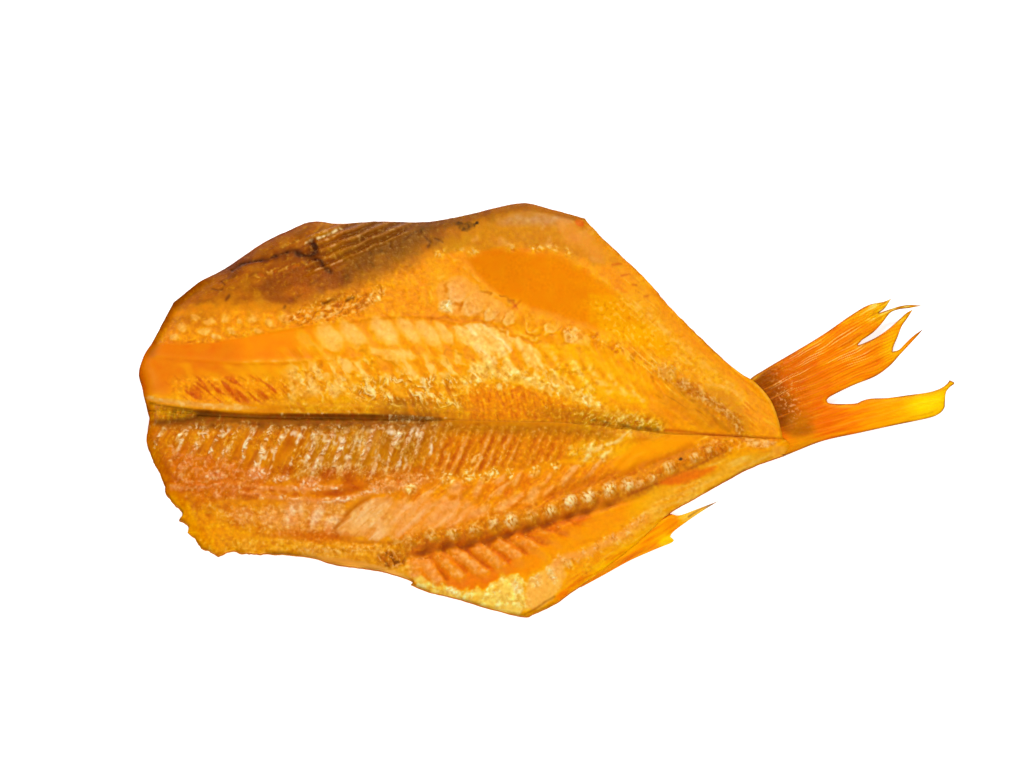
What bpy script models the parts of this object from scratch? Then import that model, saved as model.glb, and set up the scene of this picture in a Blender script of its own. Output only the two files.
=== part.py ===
"""A cold-smoked redfish without its head, split through the belly and laid open, flesh side up.

The fish is one solid: two fillets that still hang together along the back, the backbone in the
near fillet, the tail fin and the anal fin. +X runs from the head cut to the tail, +Y to the belly
edge of the far fillet, +Z up. The skin lies on z = 0, and the origin is the middle of the base.

Places are read from the photograph in its 1024 x 768 pixels, u to the right and v down, and
line_of_sight() turns them into metres. Every height and the overall length are real sizes.
"""

import math

import bmesh
import bpy
import numpy as np
from mathutils import Vector
from mathutils.geometry import delaunay_2d_cdt

MM = 0.001

# How the photograph was taken
OVERALL_LENGTH = 320 * MM
LENGTH_PX = 814.5
MIDDLE_PX = (546.7, 410.0)
FRAME_PX = (1024, 768)
FOCAL_PX = 85 / 36 * FRAME_PX[0]
VIEW_ELEVATION = math.radians(75)

# Mesh sizes
RIM_STEP = 2.7 * MM
RIM_RINGS = (1.1 * MM, 3.2 * MM)
TOP_STEP = 4.1 * MM
BASE_STEP = 10.0 * MM
FIN_RIM_STEP = 1.9 * MM
FIN_STEP = 3.6 * MM
CLEAR_STEP = 0.9 * MM

# Heights of the body
RIM_THICKNESS = 1.6 * MM
RIM_LIFT = 1.2 * MM
BASE_EDGE_WIDTH = 9.0 * MM
RELIEF_FADE = 4.0 * MM
LIP_HEIGHT = 0.6 * MM
PIN_BONE_HEIGHT = 0.5 * MM
COLUMN_HEIGHT = 1.8 * MM
COLUMN_TRENCH = 1.5 * MM
VERTEBRA_HEIGHT = 0.9 * MM
RIB_HEIGHT = 0.9 * MM
SEAM_HEIGHT = 0.6 * MM
FLAKE_HEIGHT = 0.3 * MM
CHAIN_HEIGHT = 0.8 * MM
BELLY_RIB_HEIGHT = 0.5 * MM
CRACK_DEPTH = 0.9 * MM

# Heights of the fins
TAIL_LIFT = 0.8 * MM
TAIL_RISE = 5.0 * MM
TAIL_ROOT_THICKNESS = 2.8 * MM
FIN_THICKNESS = 1.1 * MM
FIN_RAY_HEIGHT = 0.3 * MM
ANAL_LIFT = 1.0 * MM

# Outline of the body: smooth runs that meet in corners, clockwise from the near end of the head cut
BODY_RUNS_PX = (
    ((149.5, 418), (147.5, 411), (142, 387), (139.5, 376), (144.5, 357.5), (154, 341.5), (166, 317.5), (173.5, 303.5)),
    ((173.5, 303.5), (199, 283), (224.5, 269.5), (262.5, 244), (288, 231.5), (306, 223.7), (320, 222.3), (338.5, 224.5),
     (376.5, 222.3), (421, 223), (450.5, 219), (478.5, 213), (500, 207.5), (525, 204), (549, 209.7), (585, 219.3)),
    ((585, 219.3), (592.5, 229), (614, 250), (648.5, 283), (670, 308), (701.5, 339.5), (728.5, 364.5), (749, 379.5),
     (758, 387.5), (767, 397.5), (773, 408), (777, 419.5), (780, 431), (781.5, 438.5)),
    ((781.5, 438.5), (789, 446), (783.5, 455.5)),
    ((783.5, 455.5), (754, 466), (728.5, 479), (693, 499), (669, 513.5), (640, 541), (603, 570), (571, 592), (556, 603),
     (534, 613.5), (521.5, 616.3), (482, 606.5), (456.5, 598.5), (427, 591.5), (410.5, 584.5)),
    ((410.5, 584.5), (410.5, 580.5), (380, 571), (335, 564.5), (311, 557.5), (276.5, 554), (246, 553.5), (229.5, 552),
     (218, 555.5)),
    ((218, 555.5), (201, 547), (193.5, 537), (187, 532.5)),
    ((187, 532.5), (188, 527), (179.5, 520.5)),
    ((179.5, 520.5), (181.5, 511.5), (167, 496), (165, 487)),
    ((165, 487), (158, 470.5), (150.3, 454), (147, 442.5), (148.5, 427), (149.5, 418)),
)
FAR_EDGE_RUNS = slice(1, 3)
NEAR_EDGE_RUNS = slice(4, 7)

# Outline of the tail fin, from where it leaves the far fillet, lobe by lobe
TAIL_RUNS_PX = (
    ((744, 392), (749, 380), (765.5, 368.5), (796, 350.3), (824, 333), (849.5, 315.3), (867.5, 304.7), (883, 301.2),
     (890.8, 298)),
    ((890.8, 298), (884.5, 307.5), (878, 312.5)),
    ((878, 312.5), (891.5, 308), (900, 305.5), (909, 304.3), (921, 305)),
    ((921, 305), (909, 307.3), (899, 308.5), (890, 312), (882, 322), (873, 331.5), (861.5, 339.5)),
    ((861.5, 339.5), (858, 344.5), (874.7, 337.3), (887.3, 328.8), (898.6, 319), (905.6, 312.6), (912.5, 308.8)),
    ((912.5, 308.8), (907.3, 317), (901.4, 325.5), (897, 336.5), (893, 346), (892.2, 351)),
    ((892.2, 351), (898.6, 349), (905.6, 342), (914, 334.3), (923, 328.3)),
    ((923, 328.3), (914, 338.5), (905.6, 347.5), (898.6, 355), (890, 364.5), (874.7, 375.6), (852.3, 384.7),
     (831, 395.2), (826, 399.5)),
    ((826, 399.5), (830, 403), (853.7, 403), (862, 400), (870.5, 398), (887.3, 397.3), (908.4, 394.5), (928, 391.7),
     (939, 388.2), (946, 383.6), (949, 379.5)),
    ((949, 379.5), (954, 382.6), (949.5, 386.5), (945.5, 392), (944.5, 401), (943.5, 408), (938, 413.5),
     (926.6, 417.7), (893, 424.7), (861, 431.7), (824, 440), (796, 450.7), (783.5, 455.5)),
    ((783.5, 455.5), (768, 452), (762, 430), (744, 392)),
)
# The point that the tail's rays fan out from, the turns of the outer two, and their reach from it
TAIL_FAN_PX = (545.0, 507.0)
TAIL_TURNS = (math.radians(13.5), math.radians(32))
TAIL_RAYS = 12
TAIL_RAY_REACH_PX = (262, 405)

# Outline of the anal fin
ANAL_RUNS_PX = (
    ((655, 518), (668.8, 513.5), (679, 514.8), (697, 508.4), (718.6, 500.2)),
    ((718.6, 500.2), (699.4, 512), (681.6, 524.4), (672.7, 531.4), (669.5, 536)),
    ((669.5, 536), (672.7, 541), (655, 548.6), (629.3, 560), (603.8, 574.1), (580, 587)),
    ((580, 587), (592, 562), (620, 540), (655, 518)),
)

# Half-widths, in pixels, of the ridges and grooves that follow a line
LIP_WIDTH = 4
COLUMN_WIDTH = 8.5
TRENCH_WIDTH = 5.5
SEAM_WIDTH = 3.5
CHAIN_WIDTH = 9
CRACK_WIDTH = 3.5

# The fold along the back: the far fillet's lip, the near fillet's shoulder, and how deep it is (mm)
LIP_PX = ((140, 400), (165, 404), (200, 408), (250, 411), (300, 413), (400, 415), (450, 417.5), (520, 419), (560, 420),
          (600, 423), (640, 427), (665, 431), (700, 432.5), (740, 434), (783, 437))
SHOULDER_PX = ((140, 418), (165, 420), (200, 421), (250, 422.5), (300, 421.5), (400, 421.5), (450, 422), (520, 423.5),
               (560, 424.5), (600, 428), (640, 432), (665, 435.5), (700, 437), (740, 438.5), (783, 441.5))
FOLD_DEPTH = ((140, 3.6), (165, 2.2), (250, 1.9), (330, 1.7), (400, 1.5), (435, 1.0), (460, 0.2), (520, 0.1),
              (585, 0.15), (612, 0.9), (640, 0.9), (675, 0.5), (783, 0.5))
# How far its floor starts from the lip, and where the near fillet is level again, in gaps from lip to shoulder
FOLD_FLOOR = 0.25
FOLD_REACH = 2.3
FOLD_ENDS_PX = (142, 780)
LIP_ENDS_PX = (150, 470)
LIP_ABOVE = 6

# Pin bones in the near fillet: spacing, slant and how far they reach from the shoulder
PIN_SPACING = ((150, 19), (300, 15.5), (480, 10.8), (620, 10.8))
PIN_SLANT = ((150, 0.85), (300, 0.6), (480, 0.38), (620, 0.5))
PIN_REACH = ((150, 62), (420, 62), (520, 52), (620, 24))
PIN_ENDS_PX = (165, 605)

# Backbone and ribs
COLUMN_PX = ((300, 551), (360, 549), (400, 544), (428, 538), (451, 534), (473, 529), (493, 523), (511, 520), (530, 515),
             (551, 510), (570, 501.5), (589, 496.5), (610, 489), (629, 484), (651, 477), (668, 468), (693, 458),
             (715, 450), (748, 441))
COLUMN_ENDS_PX = (398, 738)
RIDGE_ENDS_PX = (415, 720)
VERTEBRA_ENDS_PX = (410, 690)
TRENCH_ENDS_PX = (410, 650)
VERTEBRA_PITCH = 20.0
VERTEBRA_PX = 428
TRENCH_BELOW = 14.0
RIB_START_PX = 391
RIB_SLANT = 1.05
RIB_REACH = ((400, 24), (450, 46), (520, 44), (575, 30))
RIB_ENDS_PX = (412, 565)

# Seams between the muscle blocks, all low crests, and how far beside them the flesh is level again
SEAM_FOOT = 5.0
SEAMS_PX = (
    ((172, 487), (199, 486), (224, 484.6), (250, 486), (288, 488.5), (330, 488), (352, 487)),
    ((228, 494), (250, 493.6), (275, 497), (307, 499.3), (333, 500), (355, 496), (377, 489.7), (395, 486)),
    ((156, 355), (180, 356.5), (210, 359), (240, 361), (285, 360), (320, 358.5), (350, 357), (388, 354.5)),
    ((158, 342.5), (180, 344.5), (210, 342), (240, 336), (270, 331), (300, 326), (340, 322), (376, 317),
     (425, 315.5), (459, 322.5), (480, 321)),
)

# Flakes and dents of the far fillet
FLAKE_SPACING = ((300, 26), (480, 21), (600, 14), (660, 13))
FLAKE_SLANT = 0.55
FLAKE_BAND_PX = (336, 392)
FLAKE_ENDS_PX = (305, 648)
CHAIN_PX = ((440, 292), (470, 302), (500, 312), (530, 322), (560, 331), (590, 341), (620, 350), (650, 361), (690, 380))
CHAIN_ENDS_PX = (450, 668)
CHAIN_PITCH = 22.0

# Belly lining of the far fillet: rib marks, and the crack beside them
LINING_SLOPE = 0.42
LINING_CENTRE_PX = (345, 240)
LINING_PITCH = 9.0
LINING_MARKS = 4
LINING_ENDS_PX = (312, 402)
CRACK_PX = ((232, 266), (250, 259), (270, 255), (285, 252), (300, 254), (312, 253), (322, 262), (330, 271))

# Thickness (mm) of each fillet from the fold (0) to its edge (1), and the share of it that is left
# from the head cut (0) to the tail (1)
FAR_ACROSS = ((0, 16.0), (0.12, 16.6), (0.3, 15.8), (0.5, 13.6), (0.75, 10.4), (1, 7.6))
FAR_ALONG = ((0, 0.92), (0.15, 1.0), (0.5, 0.94), (0.75, 0.72), (0.92, 0.5), (1, 0.42))
NEAR_ACROSS = ((0, 16.0), (0.1, 15.2), (0.35, 14.0), (0.55, 12.6), (0.8, 8.2), (1, 5.4))
NEAR_ALONG = ((0, 0.92), (0.15, 1.0), (0.5, 0.94), (0.75, 0.72), (0.92, 0.5), (1, 0.42))
# How far in from the edge the top rounds over (mm), from the head cut (0) to the tail (1)
FAR_ROUND = ((0, 7.0), (0.1, 14.0), (0.45, 12.0), (0.62, 6.0), (1, 3.0))
NEAR_ROUND = ((0, 6.0), (0.3, 7.0), (0.45, 6.0), (0.62, 7.0), (1, 4.0))


def camera_axes():
    """The photograph's line of sight and the directions of its width and height."""
    sight = np.array([0, math.cos(VIEW_ELEVATION), -math.sin(VIEW_ELEVATION)])
    right = np.array([1.0, 0, 0])
    up = np.array([0, math.sin(VIEW_ELEVATION), math.cos(VIEW_ELEVATION)])
    return sight, right, up


def camera_place():
    """Where the photograph was taken from, aiming at the middle of its frame."""
    scale = OVERALL_LENGTH / LENGTH_PX
    aim = np.array([
        (FRAME_PX[0] / 2 - MIDDLE_PX[0]) * scale,
        (MIDDLE_PX[1] - FRAME_PX[1] / 2) * scale / math.sin(VIEW_ELEVATION),
        0,
    ])
    return aim - camera_axes()[0] * scale * FOCAL_PX


def line_of_sight(places, height):
    """The points at that height, in metres, which the photograph shows at these pixels."""
    places = np.asarray(places, float)
    sight, right, up = camera_axes()
    start = camera_place()
    ways = (
        sight * FOCAL_PX
        + np.outer(places[:, 0] - FRAME_PX[0] / 2, right)
        + np.outer(FRAME_PX[1] / 2 - places[:, 1], up)
    )
    reach = (height - start[2]) / ways[:, 2]
    return (start + ways * reach[:, None])[:, :2]


def pixel_of(x, y, height):
    """The pixels, u and v, at which the photograph shows these points."""
    sight, right, up = camera_axes()
    from_camera = np.column_stack([x, y, height]) - camera_place()
    depth = from_camera @ sight
    u = FRAME_PX[0] / 2 + FOCAL_PX * (from_camera @ right) / depth
    v = FRAME_PX[1] / 2 - FOCAL_PX * (from_camera @ up) / depth
    return u, v


def smooth_line(knots, per_span=8):
    """Points on the Catmull-Rom curve through the knots."""
    knots = np.asarray(knots, float)
    ends = np.vstack([2 * knots[0] - knots[1], knots, 2 * knots[-1] - knots[-2]])
    t = np.linspace(0, 1, per_span, endpoint=False)[:, None]
    spans = [
        0.5 * (2 * b + (c - a) * t + (2 * a - 5 * b + 4 * c - d) * t**2 + (3 * b - a - 3 * c + d) * t**3)
        for a, b, c, d in zip(ends, ends[1:], ends[2:], ends[3:])
    ]
    return np.vstack([*spans, knots[-1:]])


def at(place, knots):
    """The value at a place on the smooth curve through (place, value) knots, level past its ends."""
    line = smooth_line(knots)
    return np.interp(place, line[:, 0], line[:, 1])


def ease(t):
    t = np.clip(t, 0, 1)
    return t * t * (3 - 2 * t)


def window(x, ends, soft):
    """1 between the two ends, falling to 0 over a soft width outside them."""
    low, high = ends
    return ease((x - low) / soft + 1) * ease((high - x) / soft + 1)


def hump(x, width):
    return np.exp(-((x / width) ** 2))


def wave(phase):
    """A wave whose crests lie at whole numbers."""
    return np.cos(2 * math.pi * phase)


def spaced(spacing):
    """Pixels along u, and how many ridges of this changing spacing lie before each."""
    u = np.arange(0.0, FRAME_PX[0])
    return u, np.cumsum(1 / at(u, spacing))


def evenly(line, step):
    """The line's points, the same distance apart, without its last one."""
    along = np.append(0, np.cumsum(np.linalg.norm(np.diff(line, axis=0), axis=1)))
    count = max(1, round(along[-1] / step))
    places = np.linspace(0, along[-1], count, endpoint=False)
    return np.column_stack([np.interp(places, along, line[:, 0]), np.interp(places, along, line[:, 1])])


def seen_on(places, height_of):
    """The points x and y of a surface, whose height is height_of(x, y), shown at these pixels."""
    plan = line_of_sight(places, 0)
    for _ in range(5):
        plan = line_of_sight(places, height_of(*plan.T))
    return plan


def outline(runs, height_of, step):
    """The closed outline through these runs, in metres, its corners kept."""
    return np.vstack([evenly(seen_on(smooth_line(run), height_of), step) for run in runs])


def distance_to(x, y, line):
    """How far each point is from the closed line."""
    nearest = np.full(np.shape(x), np.inf)
    for (ax, ay), (bx, by) in zip(line, np.roll(line, -1, axis=0)):
        dx, dy = bx - ax, by - ay
        t = np.clip(((x - ax) * dx + (y - ay) * dy) / (dx * dx + dy * dy), 0, 1)
        nearest = np.minimum(nearest, (x - ax - t * dx) ** 2 + (y - ay - t * dy) ** 2)
    return np.sqrt(nearest)


def inside(x, y, loop):
    """Which points the closed loop encloses."""
    found = np.zeros(np.shape(x), bool)
    for (ax, ay), (bx, by) in zip(loop, np.roll(loop, -1, axis=0)):
        if ay != by:
            crosses = (ay > y) != (by > y)
            found ^= crosses & (x < (bx - ax) * (y - ay) / (by - ay) + ax)
    return found


def edge_line(runs, height):
    """One edge of the body as a line that can be read at any x."""
    line = line_of_sight(np.vstack([smooth_line(run) for run in BODY_RUNS_PX[runs]]), height)
    return line[np.argsort(line[:, 0])]


def body_places(x, y):
    """How far along the body each point is, which fillet it is in, and how far across that fillet."""
    fold = line_of_sight(smooth_line(LIP_PX), 15 * MM)
    far_edge = edge_line(FAR_EDGE_RUNS, RIM_LIFT)
    near_edge = edge_line(NEAR_EDGE_RUNS, RIM_LIFT)
    middle = np.interp(x, fold[:, 0], fold[:, 1])
    far = y > middle
    edge = np.where(
        far,
        np.interp(x, far_edge[:, 0], far_edge[:, 1]),
        np.interp(x, near_edge[:, 0], near_edge[:, 1]),
    )
    across = np.clip(np.abs(y - middle) / np.maximum(np.abs(edge - middle), 6 * MM), 0, 1)
    along = np.clip((x - fold[0, 0]) / (fold[-1, 0] - fold[0, 0]), 0, 1)
    return along, far, across


def slab_height(x, y, rim):
    """The flesh's smooth upper side: each fillet's thickness, rounded over at the rim."""
    along, far, across = body_places(x, y)
    thickness = MM * np.where(
        far,
        at(across, FAR_ACROSS) * at(along, FAR_ALONG),
        at(across, NEAR_ACROSS) * at(along, NEAR_ALONG),
    )
    width = MM * np.where(far, at(along, FAR_ROUND), at(along, NEAR_ROUND))
    t = np.clip(distance_to(x, y, rim) / width, 0, 1)
    low = RIM_LIFT + RIM_THICKNESS
    return low + (thickness - low) * np.sqrt(1 - (1 - t) ** 2)


def fold_relief(u, v):
    """The fold along the back: a wall under the far lip, and a floor that rises gently to the near fillet."""
    lip = at(u, LIP_PX)
    t = (v - lip) / (at(u, SHOULDER_PX) - lip)
    wall = ease(t / FOLD_FLOOR)
    rise = ease((FOLD_REACH - t) / (FOLD_REACH - FOLD_FLOOR))
    lip_bead = LIP_HEIGHT * hump(v - lip + LIP_ABOVE, LIP_WIDTH) * window(u, LIP_ENDS_PX, 40)
    return lip_bead - MM * at(u, FOLD_DEPTH) * np.minimum(wall, rise)


def pin_bone_relief(u, v):
    """Fine slanting ridges in the near fillet, which stand closer together towards the tail."""
    below = v - at(u, SHOULDER_PX)
    top = u
    for _ in range(5):
        top = u + at(top, PIN_SLANT) * below
    zone = window(below, (8, 100), 6) * (1 - ease((below - at(top, PIN_REACH)) / 8 + 1))
    return PIN_BONE_HEIGHT * zone * window(top, PIN_ENDS_PX, 15) * wave(np.interp(top, *spaced(PIN_SPACING)))


def column_relief(u, v):
    """The backbone, a row of rounded vertebrae with a trench on its belly side."""
    off = v - at(u, COLUMN_PX)
    ridge = hump(off, COLUMN_WIDTH)
    beads = (0.5 + 0.5 * wave((u - VERTEBRA_PX) / VERTEBRA_PITCH)) * ridge * window(u, VERTEBRA_ENDS_PX, 15)
    trench = hump(off - TRENCH_BELOW, TRENCH_WIDTH) * window(u, TRENCH_ENDS_PX, 25)
    ridge_zone = window(u, RIDGE_ENDS_PX, 25)
    return COLUMN_HEIGHT * ridge * ridge_zone + VERTEBRA_HEIGHT * beads - COLUMN_TRENCH * trench


def rib_relief(u, v):
    """The rib cells beside the backbone, rounded lobes that slant towards the tail."""
    off = v - at(u, COLUMN_PX)
    phase = (u - RIB_SLANT * off - RIB_START_PX) / VERTEBRA_PITCH
    zone = ease((off - TRENCH_BELOW) / 8) * (1 - ease((off - at(u, RIB_REACH)) / 8 + 1))
    return RIB_HEIGHT * zone * window(u, RIB_ENDS_PX, 12) * (np.abs(np.sin(math.pi * phase)) ** 0.7 - 0.5)


def seam_relief(u, v):
    """The low crests along the seams between muscle blocks."""
    total = 0
    for seam in SEAMS_PX:
        total = total + hump(v - at(u, seam), SEAM_WIDTH) * window(u, (seam[0][0] + 8, seam[-1][0] - 8), 8)
    return SEAM_HEIGHT * total


def flake_relief(u, v):
    """Flakes of the far fillet, and the row of dents that the backbone pressed into it."""
    top = u - FLAKE_SLANT * (v - FLAKE_BAND_PX[0])
    flakes = wave(np.interp(top, *spaced(FLAKE_SPACING))) * window(v, FLAKE_BAND_PX, 10)
    off = v - at(u, CHAIN_PX)
    dents = hump(off, CHAIN_WIDTH) * (0.5 + 0.5 * wave((u - CHAIN_ENDS_PX[0]) / CHAIN_PITCH))
    return (
        FLAKE_HEIGHT * flakes * window(top, FLAKE_ENDS_PX, 15)
        + CHAIN_HEIGHT * dents * window(u, CHAIN_ENDS_PX, 15)
    )


def lining_relief(u, v):
    """The belly lining of the far fillet: rib marks beside a crack."""
    across = v - LINING_CENTRE_PX[1] + LINING_SLOPE * (u - LINING_CENTRE_PX[0])
    half = LINING_PITCH * LINING_MARKS / 2
    marks = wave(across / LINING_PITCH) * window(across, (-half, half), 4) * window(u, LINING_ENDS_PX, 12)
    crack_ends = (CRACK_PX[0][0], CRACK_PX[-1][0])
    crack = hump(v - at(u, CRACK_PX), CRACK_WIDTH) * window(u, crack_ends, 6)
    return BELLY_RIB_HEIGHT * marks - CRACK_DEPTH * crack


def flesh_height(x, y, rim):
    """The flesh's upper side with its relief, which fades out at the rim."""
    smooth = slab_height(x, y, rim)
    u, v = pixel_of(x, y, smooth)
    relief = (
        pin_bone_relief(u, v)
        + column_relief(u, v)
        + rib_relief(u, v)
        + seam_relief(u, v)
        + flake_relief(u, v)
        + lining_relief(u, v)
    )
    fade = ease(distance_to(x, y, rim) / RELIEF_FADE)
    return np.maximum(smooth + relief * fade + fold_relief(u, v), RIM_LIFT + RIM_THICKNESS)


def skin_height(x, y, rim):
    """The underside: flat where the fish rests, lifting towards the rim."""
    t = 1 - np.clip(distance_to(x, y, rim) / BASE_EDGE_WIDTH, 0, 1)
    return RIM_LIFT * t**2


def tail_base(x, y):
    """The tail fin's underside, which rises from the body to the tips."""
    root, tip = line_of_sight(((760, 420), (950, 360)), TAIL_LIFT)[:, 0]
    t = np.clip((x - root) / (tip - root), 0, 1)
    return TAIL_LIFT + TAIL_RISE * t**1.5


def tail_height(x, y):
    """The tail fin's upper side: a thick root, then rays that fan out."""
    under = tail_base(x, y)
    u, v = pixel_of(x, y, under)
    out = np.hypot(u - TAIL_FAN_PX[0], v - TAIL_FAN_PX[1])
    turn = np.arctan2(TAIL_FAN_PX[1] - v, u - TAIL_FAN_PX[0])
    phase = (turn - TAIL_TURNS[0]) / (TAIL_TURNS[1] - TAIL_TURNS[0]) * TAIL_RAYS
    thick = TAIL_ROOT_THICKNESS + (FIN_THICKNESS - TAIL_ROOT_THICKNESS) * ease((out - 255) / 70)
    return under + thick + FIN_RAY_HEIGHT * wave(phase) * ease((out - TAIL_RAY_REACH_PX[0]) / 30)


def tail_middle(x, y):
    return tail_base(x, y) + FIN_THICKNESS / 2


def anal_base(x, y):
    return np.full(np.shape(x), ANAL_LIFT)


def anal_height(x, y):
    return np.full(np.shape(x), ANAL_LIFT + FIN_THICKNESS)


def rim_base(x, y):
    return np.full(np.shape(x), RIM_LIFT)


def rows_beside(line, offsets, ends, step):
    """Rows of pixels that run along a line at these offsets below it."""
    u = np.arange(ends[0], ends[1] + 1, step)
    return [np.column_stack([u, at(u, line) + offset]) for offset in offsets]


def fold_rows():
    """Rows along the lip, where the floor starts, and across the floor's rise."""
    u = np.arange(*FOLD_ENDS_PX, 8.0)
    lip = at(u, LIP_PX)
    gap = at(u, SHOULDER_PX) - lip
    return [np.column_stack([u, lip + share * gap]) for share in (0, FOLD_FLOOR, 1, 1.6)]


def pin_bone_rows():
    """A row along each pin bone's crest, and one along each valley."""
    u, count = spaced(PIN_SPACING)
    first, last = np.interp(PIN_ENDS_PX, u, count)
    rows = []
    for half in np.arange(math.ceil(first * 2), last * 2):
        top = np.interp(half / 2, count, u)
        below = np.arange(8, at(top, PIN_REACH) + 1, 10.5)
        along = top - at(top, PIN_SLANT) * below
        rows.append(np.column_stack([along, at(along, SHOULDER_PX) + below]))
    return rows


def rib_rows():
    rows = []
    for half in range(-2, 18):
        off = np.arange(TRENCH_BELOW + 8, 46, 8.0)
        u = RIB_START_PX + half * VERTEBRA_PITCH / 2 + RIB_SLANT * off
        shown = (u > RIB_ENDS_PX[0] - 4) & (u < RIB_ENDS_PX[1] + 8) & (off < at(u, RIB_REACH) + 2)
        rows.append(np.column_stack([u, at(u, COLUMN_PX) + off])[shown])
    return [row for row in rows if len(row) > 1]


def flake_rows():
    u, count = spaced(FLAKE_SPACING)
    first, last = np.interp(FLAKE_ENDS_PX, u, count)
    v = np.linspace(*FLAKE_BAND_PX, 5)
    tops = np.interp(np.arange(math.ceil(first * 2), last * 2) / 2, count, u)
    return [np.column_stack([top + FLAKE_SLANT * (v - v[0]), v]) for top in tops]


def lining_rows():
    u = np.arange(*LINING_ENDS_PX, 14.0)
    middle = LINING_CENTRE_PX[1] - LINING_SLOPE * (u - LINING_CENTRE_PX[0])
    halves = np.arange(-LINING_MARKS, LINING_MARKS + 1) / 2
    marks = [np.column_stack([u, middle + half * LINING_PITCH]) for half in halves]
    return marks + rows_beside(CRACK_PX, (0,), (CRACK_PX[0][0], CRACK_PX[-1][0]), 7)


def relief_rows():
    """Rows of pixels along the crests and valleys of the relief, the most important first."""
    rows = fold_rows()
    rows += rows_beside(COLUMN_PX, (0, TRENCH_BELOW, -9, 7, 20), COLUMN_ENDS_PX, VERTEBRA_PITCH / 2)
    rows += rib_rows()
    for seam in SEAMS_PX:
        rows += rows_beside(seam, (0, -SEAM_FOOT, SEAM_FOOT), (seam[0][0], seam[-1][0]), 10)
    rows += pin_bone_rows()
    rows += rows_beside(CHAIN_PX, (0, 10, -10), CHAIN_ENDS_PX, CHAIN_PITCH / 2)
    return rows + flake_rows() + lining_rows()


def row_points(rim):
    """The relief's rows as points that keep clear of the rim and each other, and the edges along them."""
    rows = relief_rows()
    plan = seen_on(np.vstack(rows), lambda x, y: slab_height(x, y, rim))
    shown = inside(*plan.T, rim) & (distance_to(*plan.T, rim) > 2 * CLEAR_STEP)
    starts = np.cumsum([len(row) for row in rows])[:-1]
    points = np.empty((0, 2))
    edges = []
    for places, clear in zip(np.split(plan, starts), np.split(shown, starts)):
        if len(points):
            gaps = np.linalg.norm(places[:, None] - points[None], axis=2).min(axis=1)
            clear = clear & (gaps > CLEAR_STEP / 2)
        kept = np.flatnonzero(clear)
        first = len(points)
        edges += [(first + i, first + i + 1) for i, gap in enumerate(np.diff(kept)) if gap == 1]
        points = np.vstack([points, places[kept]])
    return points, edges


def lattice(loop, step, clear):
    """Points of a triangular lattice inside the loop, further than clear from it."""
    low, high = loop.min(axis=0), loop.max(axis=0)
    rows = np.arange(low[1], high[1], step * math.sqrt(3) / 2)
    x, y = np.meshgrid(np.arange(low[0], high[0], step), rows)
    x = (x + (np.arange(len(rows)) % 2)[:, None] * step / 2).ravel()
    y = y.ravel()
    found = inside(x, y, loop) & (distance_to(x, y, loop) > clear)
    return np.column_stack([x, y])[found]


def away_from(points, others, gap):
    """The points that are further than the gap from all the others."""
    return points[np.linalg.norm(points[:, None] - others[None], axis=2).min(axis=1) > gap]


def rings(loop, depths):
    """Rows of points that follow the clockwise loop at these depths inside it."""
    ways = np.roll(loop, -1, axis=0) - np.roll(loop, 1, axis=0)
    ways /= np.linalg.norm(ways, axis=1)[:, None]
    inward = np.column_stack([ways[:, 1], -ways[:, 0]])
    found = []
    for depth in depths:
        points = loop + inward * depth
        clear = distance_to(points[:, 0], points[:, 1], loop) > 0.93 * depth
        found.append(points[clear & inside(points[:, 0], points[:, 1], loop)])
    return np.vstack(found)


def triangles(loop, points, rows=()):
    """A triangle mesh of the loop, the points in it and the edges that join them in rows.

    Gives the places of its vertices, its faces, and which vertex each point of the loop is.
    """
    count = len(loop)
    edges = [(i, (i + 1) % count) for i in range(count)]
    edges += [(count + a, count + b) for a, b in rows]
    flat = [Vector(place) for place in np.vstack([loop, points])]
    made, _, faces, origins, _, _ = delaunay_2d_cdt(flat, edges, [], 1, 1e-7)
    places = np.array([tuple(place) for place in made])
    index = {source: i for i, sources in enumerate(origins) for source in sources}
    middles = places[np.array(faces)].mean(axis=1)
    shown = inside(middles[:, 0], middles[:, 1], loop)
    return places, np.array(faces)[shown], [index[i] for i in range(count)]


def slab(name, upper_side, lower_side, upper_height, lower_height):
    """A closed mesh between an upper and a lower side that share the loop as their rim."""
    model = bmesh.new()

    def add_side(side, height):
        places, faces, loop = side
        made = [model.verts.new((*place, z)) for place, z in zip(places, height(*places.T))]
        for face in faces:
            model.faces.new([made[i] for i in face])
        return [made[i] for i in loop]

    upper = add_side(upper_side, upper_height)
    lower = add_side(lower_side, lower_height)
    for i in range(len(upper)):
        model.faces.new((upper[i - 1], lower[i - 1], lower[i]))
        model.faces.new((upper[i - 1], lower[i], upper[i]))
    bmesh.ops.recalc_face_normals(model, faces=model.faces)
    bmesh.ops.delete(model, geom=[vertex for vertex in model.verts if not vertex.link_faces], context="VERTS")
    mesh = bpy.data.meshes.new(name)
    model.to_mesh(mesh)
    model.free()
    made = bpy.data.objects.new(name, mesh)
    bpy.context.scene.collection.objects.link(made)
    return made


def make_body():
    rim = outline(BODY_RUNS_PX, rim_base, RIM_STEP)
    ring = rings(rim, RIM_RINGS)
    row_places, row_edges = row_points(rim)
    ring = away_from(ring, row_places, CLEAR_STEP)
    plain = away_from(lattice(rim, TOP_STEP, RIM_RINGS[1] + 0.4 * TOP_STEP), row_places, 0.62 * TOP_STEP)
    top = triangles(rim, np.vstack([row_places, ring, plain]), row_edges)
    base_ring = rings(rim[::4], (BASE_EDGE_WIDTH / 2, BASE_EDGE_WIDTH))
    base = triangles(rim, np.vstack([base_ring, lattice(rim, BASE_STEP, 1.5 * BASE_EDGE_WIDTH)]))
    return slab("body", top, base, lambda x, y: flesh_height(x, y, rim), lambda x, y: skin_height(x, y, rim))


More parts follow.
